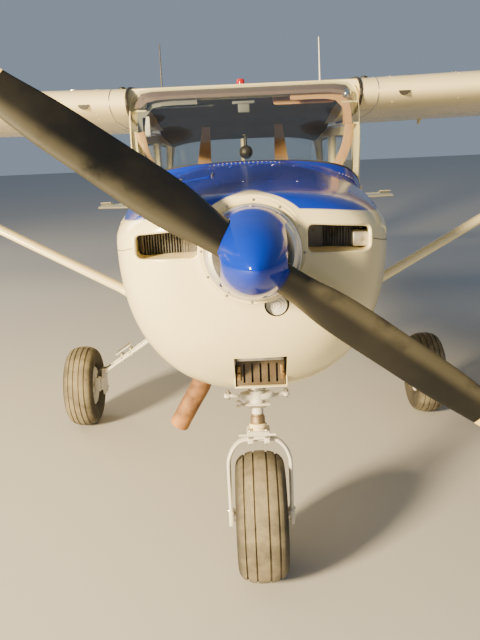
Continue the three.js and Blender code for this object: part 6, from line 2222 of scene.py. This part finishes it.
@dataclass
class MainGear:
    """The spring legs with their steps, brake lines, axles and wheels."""

    rows: tuple[tuple[float, ...], ...] = (
        (180, 766, 120, 26), (300, 680, 116, 26), (420, 594, 110, 24), (595, 478, 100, 22),
        (770, 363, 88, 20), (842, 314, 84, 20))
    track: float = 972
    radius: float = 225
    width: float = 165
    step_x: float = 712

    def line(self, count: int = 40) -> np.ndarray:
        """Returns the leg's middle line with its width and thickness."""
        return spline(self.rows, count)

    def leg(self) -> Form:
        """Returns the left leg."""
        rows = self.line()
        corner = np.array([(math.copysign(abs(math.cos(t)) ** 0.35, math.cos(t)),
                            math.copysign(abs(math.sin(t)) ** 0.55, math.sin(t)))
                           for t in np.linspace(0, math.tau, 32, endpoint=False)])
        rings = []
        ways = unit(np.gradient(rows[:, :2], axis=0))
        for (x, z, wide, thick), way in zip(rows, ways):
            normal = np.array((-way[1], way[0]))
            ring = np.zeros((32, 3))
            ring[:, 0] = x + corner[:, 1] * thick / 2 * normal[0]
            ring[:, 1] = corner[:, 0] * wide / 2
            ring[:, 2] = z + corner[:, 1] * thick / 2 * normal[1]
            rings.append(ring)
        return loft(rings)

    def seat(self, x: float) -> tuple[np.ndarray, float]:
        """Returns a point on the leg's middle line and the leg's slope in degrees there."""
        rows = self.line()
        z = float(np.interp(x, rows[:, 0], rows[:, 1]))
        slope = float(np.interp(x + 1, rows[:, 0], rows[:, 1])) - z
        return np.array((x, 0.0, z)), math.degrees(math.atan(slope))

    def build(self, shop: Workshop) -> None:
        """Makes both sides of the main gear."""
        for name, side in SIDES:
            leg = carve(self.leg(), HULL.slice(-300, 300, -0.5, 60))
            shop.add(f"gear_leg_{name}_leaf", leg.on(side), "airframe", GEAR_WHITE, [f"gear_leg_{name}"])
            spot, slope = self.seat(self.step_x)
            plate = block((-52, 52), (-22, 62), (36, 41), 2)
            pad = block((-46, 46), (-16, 56), (41, 43.2), 1)
            feet = [block((x - 4, x + 4), (-2, 40), (6, 37), 1.5) for x in (-31, 31)]
            clamps = [block((x - 6, x + 6), (-50, 50), z, 1) for x in (-31, 31)
                      for z in ((9.4, 13), (-13, -9.4))]
            for title, form, finish in (("step", Form.join([plate, *feet]), GEAR_WHITE),
                                        ("step_pad", pad, GRIP), ("step_clamps", Form.join(clamps), STEEL)):
                form = form.turned("y", -slope).moved(*spot).on(side)
                shop.add(f"{title}_{name}", form, "airframe", finish)
            self.lines(shop, name, side)
            self.axle(shop, name, side)
            title = f"main_wheel_{name}"
            wheel = Wheel(title, title, (side * self.track, 0, self.radius), self.radius, self.width,
                          TYRE_MAIN, (-42, -15, 15, 42))
            wheel.build(shop, (title, f"main_tyre_{name}"), -side)
            cuff = []
            for spot_x, grow in ((405, 1.75), (432, 1.4), (448, 1.2)):
                point, tilt = self.seat(spot_x)
                flat = circle(32)
                ring = np.zeros((32, 3))
                ring[:, 1] = np.sign(flat[:, 0]) * np.abs(flat[:, 0]) ** 0.6 * 60 * grow
                ring[:, 2] = np.sign(flat[:, 1]) * np.abs(flat[:, 1]) ** 0.8 * 20 * grow
                cuff.append(Form(ring, [tuple(range(32))]).turned("y", -tilt).moved(*point).points)
            shop.add(f"leg_cuff_{name}", carve(loft(cuff), HULL.slice(-300, 300, -0.3, 60)).on(side),
                     "airframe", WHITE)

    def lines(self, shop: Workshop, name: str, side: int) -> None:
        """Makes the brake line down the leg, its clips and the hose to the brake."""
        rows = self.line(60)
        keep = rows[(rows[:, 0] > 470) & (rows[:, 0] < 815)]
        ways = unit(np.gradient(keep[:, :2], axis=0))
        top = keep[:, :2] + np.column_stack((-ways[:, 1], ways[:, 0])) * (keep[:, 3:4] / 2 + 3)
        line = np.column_stack((top[:, 0], np.full(len(top), -34.0), top[:, 1]))
        shop.add(f"brake_line_{name}", tube(line, 2.6, 10).on(side), "airframe", WHITE)
        bend = spline([line[-1] - (12, 0, -8), (828, -44, 345), (848, -72, 348), (868, -88, 330),
                       (876, -86, 304), (878, -82, 294)], 40)
        shop.add(f"brake_hose_{name}", tube(bend, 4.2, 12).on(side), "airframe", BLACK)
        clips = []
        for x in (520, 620, 790):
            spot, slope = self.seat(x)
            clips.append(block((-5, 5), (-42, -26), (9, 18), 2).turned("y", -slope).moved(*spot))
        shop.add(f"line_clips_{name}", Form.join(clips).on(side), "airframe", BARE)

    def axle(self, shop: Workshop, name: str, side: int) -> None:
        """Makes the axle's flange, stub, nut and the brake caliper."""
        edge = rounded([(-46, 182), (46, 182), (46, 300), (30, 330), (-30, 330), (-46, 300)], 8)
        plate = bevelled(slab("x", edge, 848, 861), 1.5)
        end = (1004, 0, self.radius)
        stub = rod((858, 0, self.radius), end, 19.3, sides=40, edge=2)
        nut = lathe([(0, 0), (24, 0), (26, 3), (26, 14), (24, 17), (0, 17)], "x", end, 6)
        shop.add(f"axle_{name}_stub", (plate + stub).on(side), "airframe", GEAR_WHITE, [f"axle_{name}"])
        shop.add(f"axle_{name}_nut", nut.moved(x=-8).on(side), "airframe", STEEL)
        edge = rounded([(-106, 222), (-60, 222), (-52, 296), (-92, 300), (-108, 282)], 10)
        outer = bevelled(slab("x", edge, 862, 894), 4, 3)
        arm = block((848, 861), (-90, -40), (226, 289), 3)
        shop.add(f"caliper_{name}", (outer + arm).on(side), "airframe", GEAR_WHITE)
        heads = Fasteners(f"axle_{name}_bolts", "airframe", Head.HEX, STEEL, 5.6, 5)
        for x, spots in ((848, ((-30, 206), (30, 206), (-30, 284), (30, 284))),
                         (862, ((-94, 240), (-92, 282), (-72, 262)))):
            for y, z in spots:
                heads.add([(side * x, y, z)], (-side, 0, 0))
        heads.build(shop)


@dataclass
class NoseGear:
    """The nose leg: fixed cylinder, steered piston and fork, links, rods and damper."""

    axle: tuple[float, float] = (-1500, 232)
    crown: tuple[float, float] = (-1476, 522)
    rake: float = 12
    reach: float = 110

    def at(self, up: float, x: float = 0, aft: float = 0) -> np.ndarray:
        """Returns a point up the leg's axis, moved across and aft."""
        turn = math.radians(self.rake)
        return np.array((x, self.crown[0] + up * math.sin(turn) + aft, self.crown[1] + up * math.cos(turn)))

    def bar(self, start: float, end: float, radius: float, end_radius: float | None = None,
            edge: float = 1.5) -> Form:
        """Returns a round length of the leg between two distances up its axis."""
        return rod(self.at(start), self.at(end), radius, end_radius, 44, edge)

    def build(self, shop: Workshop) -> None:
        """Makes the nose leg and its wheel."""
        self.upper(shop)
        self.fork(shop)
        self.steering(shop)
        wheel = Wheel("nose_wheel", "nose_wheel", (0, *self.axle), 232, 182, TYRE_NOSE, (-57, -24, 24, 57))
        wheel.build(shop, ("nose_wheel", "nose_tyre"))

    def upper(self, shop: Workshop) -> None:
        """Makes the fixed cylinder, its gland nut and the mount on the firewall."""
        bore = self.bar(150, 340, 17.8, edge=0)
        cylinder = carve(self.bar(186, 415, 31), bore)
        gland = carve(self.bar(176.5, 200, 33.5, edge=2.5), bore)
        band = [self.bar(up, up + 26, 34.5) for up in (262, 372)]
        band = [carve(form, self.bar(100, 500, 30, edge=0)) for form in band]
        mount = block((-60, 60), (-1290, FIREWALL_Y - 1), (826, 866), 3)
        lug = block((-22, 22), (-1400, -1280), (836, 856), 3)
        shop.add("nose_leg_cylinder", cylinder + mount + lug, "airframe", GEAR_WHITE, ["nose_strut"])
        shop.add("nose_leg_bands", Form.join((gland, *band)), "airframe", STEEL)

    def fork(self, shop: Workshop) -> None:
        """Makes the piston, boss, clamp, bent fork and axle."""
        y0, z0 = self.axle
        cy, cz = self.crown
        side = [(self.reach, y0, z0 - 22), (self.reach, y0, z0 + 60), (self.reach, y0, 432),
                (self.reach - 4, y0 + 4, 463), (self.reach - 15, y0 + 11, 489), (77, y0 + 19, cz - 13),
                (56, cy, cz - 2), (36, cy, cz)]
        half = spline(side, 40)
        path = np.vstack((half * (-1, 1, 1), half[::-1]))
        outs = [np.cross((0, 1, 0), way) for way in unit(np.gradient(path, axis=0))]
        flat = sweep(path, circle(24) * (15, 7.6), outs)
        boss = self.bar(54, 84, 26, 25, 3) + self.bar(80, 90, 22, 22, 1)
        flange = self.bar(41, 56, 32, 32, 3) + self.bar(4, 44, 24)
        clamp = block((-41, 41), (cy - 34, cy + 34), (cz + 9, cz + 38), 5, 3)
        feet = [block(sorted((s * (self.reach - 8.5), s * (self.reach + 8.5))), (y0 - 24, y0 + 24),
                      (z0 - 30, z0 + 30), 6, 3) for s in (1, -1)]
        shop.add("nose_fork_bar", Form.join([flat, *feet, clamp]), "nose_fork", GEAR_WHITE, ["nose_fork"])
        shop.add("nose_leg_boss", boss, "nose_fork", BRONZE)
        shop.add("fork_flange", flange, "nose_fork", WHITE)
        shop.add("nose_piston", self.bar(60, 330, 17), "nose_fork", POLISHED)
        shop.add("piston_sleeve", self.bar(84, 140, 19.5, edge=1), "nose_fork", GEAR_WHITE)
        axle = rod((-self.reach - 10, y0, z0), (self.reach + 10, y0, z0), 19.3, sides=36, edge=2)
        shop.add("nose_axle", axle, "nose_fork", STEEL)
        heads = Fasteners("nose_fork_bolts", "nose_fork", Head.HEX, STEEL, 6.5, 6)
        for x in (-29, 29):
            heads.add([(x, cy - 34, cz + 24)], (0, -1, 0))
            heads.add([(x, cy - 24, cz - 5)], (0, 0, -1))
            heads.add([(x, cy - 12, cz + 38)], (0, 0, 1))
        for s in (1, -1):
            heads.add([(s * (self.reach - 8.5), y0, z0 + 24), (s * 34, cy - 10, cz + 3)], (-s, 0, 0))
            heads.add([(s * (self.reach + 8.5), y0, z0 + 24)], (s, 0, 0))
        heads.build(shop)
        tabs = [block((x - 10, x + 10), (cy - 34, cy - 12), (cz - 5, cz + 12), 2) for x in (-29, 29)]
        tabs.append(rod((-69, cy - 37, cz + 30), (62, cy - 37, cz + 30), 4.6, sides=16, edge=1))
        shop.add("fork_clamp_tabs", Form.join(tabs), "nose_fork", GEAR_WHITE)

    def steering(self, shop: Workshop) -> None:
        """Makes the steering collar, its arms and rod ends, the scissor links and the damper."""
        collar = self.bar(128, 172, 27, edge=2.5)
        lobes = bevelled(slab("z", circle(40) * (60, 30) + (0, -1438), 663, 684), 5, 3)
        tab = block((-42, 46), (-1480, -1446), (648, 653), 1.5)
        parts, studs, balls = [collar, lobes, tab], [], []
        for way in (-1, 1):
            end = self.at(145, way * 104, 40)
            parts.append(sweep(np.linspace(self.at(145), end, 12), circle(16) * (11, 8), [(0, 0, 1)] * 12,
                               scale=np.linspace(1, 0.78, 12)))
            parts.append(lathe([(7, -7), (14, -6), (14, 6), (7, 7), (7, -7)], "z", end, 24))
            for level, radius in ((-12, 9), (9, 10), (14, 8)):
                low, high = level - 3, level + 3
                studs.append(lathe([(0, low), (radius, low), (radius, high), (0, high)], "z", end, 6))
            studs.append(rod(end - (0, 0, 15), end + (0, 0, 19), 4.5, sides=16, edge=1))
            balls.append(lathe([(0, -8), (5, -6.5), (8, 0), (5, 6.5), (0, 8)], "z", end + (0, 0, 4), 20))
        shop.add("steering_collar", Form.join(parts), "nose_fork", GEAR_WHITE)
        shop.add("steering_studs", Form.join(studs + balls), "nose_fork", STEEL)
        cy, cz = self.crown
        low, high, knee = (np.array((0.0, cy + a, cz + b)) for a, b in ((14, 40), (30, 118), (96, 84)))
        links = []
        for start in (low, high):
            for x in (-18, 18):
                line = np.linspace(start, knee, 10) + (x, 0, 0)
                links.append(sweep(line, circle(16) * (8, 4), [(1, 0, 0)] * 10,
                                   scale=[1.1, 1, 0.92, 0.86, 0.84, 0.84, 0.86, 0.92, 1, 1.1]))
            links.append(rod(start - (23, 0, 0), start + (23, 0, 0), 7, sides=20, edge=1.5))
        links.append(rod(knee - (23, 0, 0), knee + (23, 0, 0), 6.6, sides=20, edge=1.5))
        shop.add("scissor_links", Form.join(links), "nose_fork", GEAR_WHITE)
        eye = np.array((-66.0, -1482.0, 659.0))
        damper = Form.join((
            lathe([(7, -6), (13, -5), (13, 5), (7, 6), (7, -6)], "y", eye, 32),
            rod(eye + (9, 0, -1), self.at(124, -26, -16), 5, sides=18, edge=1),
            rod(self.at(124, -30, -18), self.at(126, 30, -18), 9, sides=24, edge=2)))
        shop.add("shimmy_damper", damper, "nose_fork", STEEL)


@dataclass
class Interior:
    """What shows through the glass: panel, yokes, seats, trim, vents, straps and compass."""

    seat_x: float = 228
    seat_half: float = 188
    yoke: tuple[float, float] = (220, 1200)
    dials: tuple[tuple[float, float, float], ...] = (
        (-330, 1330, 40), (-230, 1330, 40), (-130, 1330, 40), (-330, 1232, 40), (-230, 1262, 30),
        (-130, 1232, 40), (-30, 1330, 30), (70, 1340, 34), (160, 1330, 30), (240, 1330, 30), (320, 1320, 34))
    yoke_rim: tuple[tuple[float, float], ...] = (
        (-94, 78), (-96, 30), (-82, -4), (-40, 0), (0, 0), (40, 0), (82, -4), (96, 30), (94, 78))
    radio_heights: tuple[float, ...] = (1130, 1180, 1230)
    seat_lean: float = 10

    def build(self, shop: Workshop) -> None:
        """Makes the cabin's inside."""
        self.panel(shop)
        self.seats(shop)
        self.trim(shop)
        self.compass(shop)

    def panel(self, shop: Workshop) -> None:
        """Makes the instrument panel with its dials, glare shield and yokes."""
        board = carve(block((-440, 440), (-985, -962), (1082, 1398), 4, 3), HULL.slice(-1020, -900, 32),
                      Op.KEEP)
        shop.add("panel_board", board, "airframe", GREY_AND_SHADED_TRIM, ["instrument_panel"])
        shield = carve(block((-438, 438), (-1010, -905), (1398, 1414), 6, 3), HULL.slice(-1080, -860, 34),
                       Op.KEEP)
        shop.add("glare_shield", shield, "airframe", BLACK)
        bezels, faces, marks = [], [], []
        for x, z, r in self.dials:
            centre = (x, -962, z)
            bezels.append(lathe([(r - 5, 0), (r - 4, 5), (r, 4), (r + 3, 0), (r - 5, 0)], "y", centre, 40))
            faces.append(lathe([(0, 1.4), (r - 5, 1.4), (r - 5, 0), (0, 0)], "y", centre, 32))
            for k in range(10):
                turn = math.radians(36 * k)
                spot = (x + (r - 10) * math.cos(turn), -960.4, z + (r - 10) * math.sin(turn))
                mark = block((-3, 3), (0, 0.8), (-0.8, 0.8))
                marks.append(mark.turned("y", -math.degrees(turn)).moved(*spot))
            hand = block((-1, r * 0.62), (0, 1.4), (-1, 1))
            marks.append(hand.turned("y", -(x % 97) * 3.7).moved(x, -960.4, z))
        shop.add("dial_bezels", Form.join(bezels), "airframe", BLACK)
        shop.add("dial_faces", Form.join(faces), "airframe", DIAL)
        shop.add("dial_marks", Form.join(marks), "airframe", MARKS)
        radios = [block((20, 190), (-962, -956), (z, z + 44), 2) for z in self.radio_heights]
        knobs = [rod((x, -956, z + 22), (x, -944, z + 22), 7, edge=1.5)
                 for z in self.radio_heights for x in (36, 174)]
        shop.add("radio_stack", Form.join(radios), "airframe", BLACK)
        shop.add("radio_knobs", Form.join(knobs), "airframe", BARE)
        wheels = []
        for _, side in SIDES:
            x, z = side * self.yoke[0], self.yoke[1]
            shaft = rod((x, -958, z), (x, -800, z), 11, sides=24)
            rim = spline([(x + out, -796, z + up) for out, up in self.yoke_rim], 60)
            wheels += [shaft, tube(rim, 10.5, 16), rod((x, -808, z), (x, -788, z), 28, sides=32, edge=3)]
        shop.add("yokes", Form.join(wheels), "airframe", BLACK)

    def cushion(self, shop: Workshop, name: str, form: Form, swell: float) -> None:
        """Makes a stuffed cushion from a block that a pressurised cloth swells.

        Args:
            shop: The workshop.
            name: The cushion's name.
            form: The block that it starts from.
            swell: How far a point may move, in millimetres.
        """
        thing = stand(name, form.mesh(name))
        remesh = thing.modifiers.new("remesh", "REMESH")
        remesh.mode = "VOXEL"
        remesh.voxel_size = 0.0085
        fine = result_of(thing)
        thing.modifiers.remove(remesh)
        thing.data = fine
        rest = points_of(fine)
        cloth = thing.modifiers.new("cloth", "CLOTH")
        cloth.settings.use_pressure = True
        cloth.settings.uniform_pressure_force = 4
        cloth.settings.effector_weights.gravity = 0
        cloth.settings.quality = 4
        for frame in range(1, 17):
            bpy.context.scene.frame_set(frame)
        move = points_of(result_of(thing)) - rest
        thing.modifiers.remove(cloth)
        length = np.linalg.norm(move, axis=1, keepdims=True)
        move *= np.minimum(1, swell * MM / np.maximum(length, 1e-9))
        fine.vertices.foreach_set("co", (rest + move).ravel())
        bpy.context.scene.frame_set(1)
        fine.shade_smooth()
        bpy.data.objects.remove(thing)
        piece = shop.put(name, fine, "airframe", SEAT_CLOTH)

    def seats(self, shop: Workshop) -> None:
        """Makes the two seats: seat and back cushions, and shells with their back pans and feet."""
        for name, side in SIDES:
            x = side * self.seat_x
            wide = (x - self.seat_half + 14, x + self.seat_half - 14)
            base = bevelled(block(wide, (-452, -2), (952, 1030)), 22, 3)
            self.cushion(shop, f"seat_{name}_cushion", base, 14)
            back = bevelled(block(wide, (4, 52), (1046, 1372)), 18, 3)
            back = back.turned("x", self.seat_lean, (0, 30, 1046)).moved(y=6)
            self.cushion(shop, f"seat_{name}_back", back, 12)
            shell = block((x - self.seat_half + 4, x + self.seat_half - 4), (-462, 30), (872, 944), 14, 3)
            pan = bevelled(block(wide, (58, 66), (950, 1376)), 3)
            pan = pan.turned("x", self.seat_lean, (0, 60, 950)).moved(y=-2)
            foot = block((x - 106, x + 106), (-398, -4), (801, 874), 6)
            shop.add(f"seat_{name}_shell", shell + pan + foot, "airframe", BLACK, [f"seat_{name}"])

    def trim(self, shop: Workshop) -> None:
        """Makes the wall trims, door posts, vents, straps, visors and the floor mat."""
        for name, side in SIDES:
            # On the right side the roof trim and sun visor take the grey trim: painted shade standing for
            # the same tan trim in shadow.
            finish = TAN if side > 0 else GREY_AND_SHADED_TRIM
            inner = HULL.shell(-790, 690, 30, 60, -26)
            low, high = sorted((side * 200.0, side * 700.0))
            wall = carve(inner, block((low, high), (262, 690), (846, 1262)), Op.KEEP)
            shop.skin(f"wall_trim_{name}", wall, "airframe", TAN)
            cheek = carve(HULL.shell(-640, -560, 62, 20, -32),
                          block((low, high), (-640, -560), (1600, 1790)), Op.KEEP)
            shop.add(f"roof_trim_{name}", cheek, "airframe", finish)
            if side > 0:
                ball = lathe([(0, -16), (11, -12), (19, -3), (21, 3), (0, 3)], "y", (440, -655, 1722), 32)
                shop.add("cabin_vent_left", ball, "airframe", POLISHED)
            else:
                oval = lathe([(0, -8), (16, -7), (20, -2), (20, 3), (0, 3)], "y", (0, 0, 0), 32)
                oval = Form(oval.points * (0.7, 1, 1.25), oval.faces).moved(-424, -655, 1717)
                shop.add("cabin_vent_right", oval, "airframe", BLACK)
                box = block((-445, -409), (-640, -622), (1579, 1667), 5)
                shop.add("latch_box", box, "airframe", GEAR_WHITE)
            lean = spline([(side * x, y, z) for x, y, z in (
                (448, -690, 1600), (430, -672, 1500), (380, -640, 1400), (300, -600, 1335))], 30)
            section = ((-20, -7), (20, -7), (20, 5), (14, 8), (-14, 8), (-20, 5))
            post = sweep(lean, section, [(0, -1, 0.4)] * 30)
            shop.add(f"door_post_{name}", post, "airframe", TAN)
            strap = spline([(side * 200 - 10, 240, 1626), (side * 204 - 10, 196, 1560),
                            (side * 208 - 12, 148, 1470), (side * 214 - 12, 118, 1392)], 40)
            belt = sweep(strap, ((-40, -1.5), (40, -1.5), (40, 1.5), (-40, 1.5)), [(0, -1, 0.4)] * 40,
                         scale=np.linspace(0.55, 1, 40))
            shop.add(f"shoulder_strap_{name}", belt, "airframe", STRAP)
            near, far = side * 130, side * 400
            edge = rounded([(near, -20), (far, -20), (far, 90), (near, 90)], 24)
            visor = bevelled(slab("z", edge, 0, 9), 3, 2)
            visor = visor.turned("x", 24 if side > 0 else 6).moved(0, -560, 1700)
            shop.add(f"sun_visor_{name}", visor, "airframe", finish)
        box = block((-26, 24), (-660, -628), (1664, 1704), 6)
        plate = block((-50, 46), (-664, -630), (1700, 1712), 3)
        shop.add("roof_console", box + plate, "airframe", GREY_AND_SHADED_TRIM)
        catches = [block((x - 28, x + 28), (-566, -560), (z - 12, z + 12), 2)
                   for x, z in ((-348, 1756), (346, 1760))]
        shop.add("roof_catches", Form.join(catches), "airframe", TAN)
        mat = carve(block((-420, 420), (-760, 640), (801, 808), 2), HULL.slice(-790, 690, 34, 60), Op.KEEP)
        shop.add("floor_mat", mat, "airframe", HEADLINER)
        shelf = carve(block((-470, 470), (700, 716), (820, 1250), 4), HULL.slice(690, 760, 20), Op.KEEP)
        shop.add("baggage_wall", shelf, "airframe", TAN)

    def compass(self, shop: Workshop) -> None:
        """Makes the compass on its stem."""
        y, z = -885, 1503
        profile = [(0, -27), (12, -24.5), (21, -17), (26, -7), (27, 0), (26, 7), (21, 17), (12, 24.5),
                   (0, 27)]
        ball = lathe(profile, "y", (0, y, z), 40)
        stem = rod((0, y, z + 20), (0, y, 1571), 5, sides=16)
        foot = lathe([(0, 0), (9, 0), (14, 5), (14, 7), (0, 7)], "z", (0, y, 1564), 24)
        shop.add("compass_body", ball + stem + foot, "airframe", BLACK, ["compass"])
        card = lathe([(14, -5), (15, -5), (15, 5), (14, 5), (14, -5)], "z", (0, y + 15, z), 24)
        shop.add("compass_card", card, "airframe", MARKS)


@dataclass
class Studio:
    """The floor, the lights and the camera at the photograph's angle."""

    place: tuple[float, float, float] = (-0.018, -4.764, 1.552)
    pitch: float = 14.62
    yaw: float = -0.74
    roll: float = -2.59
    lens: float = 38.83
    floor: Colour = (0.46, 0.455, 0.445)
    floor_half: float = 40.0
    sky: Colour = (0.66, 0.80, 1.0)
    sky_strength: float = 0.36
    lamps: tuple[tuple, ...] = (
        ("key", (-6.0, -8.4, 3.7), (0, -2.2, 1.1), 1.5, 4400, (1.0, 0.78, 0.44)),
        ("rim", (-6.5, 4.0, 5.0), (0, 0.5, 1.2), 3.0, 300, (1.0, 0.84, 0.58)))

    def build(self) -> None:
        """Makes the studio."""
        square = np.array(((-1, -1, 0), (1, -1, 0), (1, 1, 0), (-1, 1, 0)))
        mesh = plain_mesh("floor", square * self.floor_half, [(0, 1, 2, 3)])
        floor = stand("floor", mesh)
        recipe = Recipe("pale_floor")
        cloud = recipe.noise(0.9, 5, 0.6)
        tint = recipe.mix(cloud * 0.25, self.floor, tuple(c * 0.86 for c in self.floor))
        mesh.materials.append(recipe.shader(Base_Color=tint, Roughness=0.85))
        floor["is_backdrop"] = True
        world = bpy.data.worlds.new("studio")
        world.use_nodes = True
        back = world.node_tree.nodes["Background"]
        back.inputs["Color"].default_value = (*self.sky, 1)
        back.inputs["Strength"].default_value = self.sky_strength
        bpy.context.scene.world = world
        for name, spot, aim, size, power, colour in self.lamps:
            light = bpy.data.lights.new(name, "AREA")
            light.energy, light.size, light.color = power, size, colour
            lamp = stand(name, light)
            lamp.location = spot
            lamp.rotation_euler = (Vector(aim) - Vector(spot)).to_track_quat("-Z", "Y").to_euler()
        self.camera()

    def camera(self) -> None:
        """Makes the camera for an upright picture of 480 by 640."""
        data = bpy.data.cameras.new("camera")
        data.sensor_fit = "AUTO"
        data.sensor_width = 36
        data.lens = self.lens
        data.clip_start, data.clip_end = 0.05, 200
        camera = stand("camera", data)
        turn, dip, lean = (math.radians(v) for v in (self.yaw, self.pitch, self.roll))
        ahead = Vector((math.sin(turn) * math.cos(dip), math.cos(turn) * math.cos(dip), -math.sin(dip)))
        right = ahead.cross(Vector((0, 0, 1))).normalized()
        up = right.cross(ahead)
        leaned = right * math.cos(lean) + up * math.sin(lean)
        upright = leaned.cross(ahead)
        basis = Matrix((leaned, upright, -ahead)).transposed()
        camera.matrix_world = Matrix.Translation(self.place) @ basis.to_4x4()
        bpy.context.scene.camera = camera


def corners() -> list[list[float]]:
    """Returns the visible model's lowest and highest corners as plain lists."""
    return [[float(value) for value in corner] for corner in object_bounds()]


def main() -> None:
    """Builds every part around the frame."""
    logging.basicConfig(level=logging.INFO, format="%(name)s %(message)s")
    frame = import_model()
    shop = Workshop(frame)
    for part in (NoseCowl(), Engine(), Propeller(), Cabin(), Wing(), Tail(), MainGear(), NoseGear(),
                 Interior()):
        part.build(shop)
        log.info("%s is built", type(part).__name__)
    Studio().build()
    log.info("%d pieces", shop.count)
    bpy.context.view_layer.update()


if __name__ == "__main__":
    main()
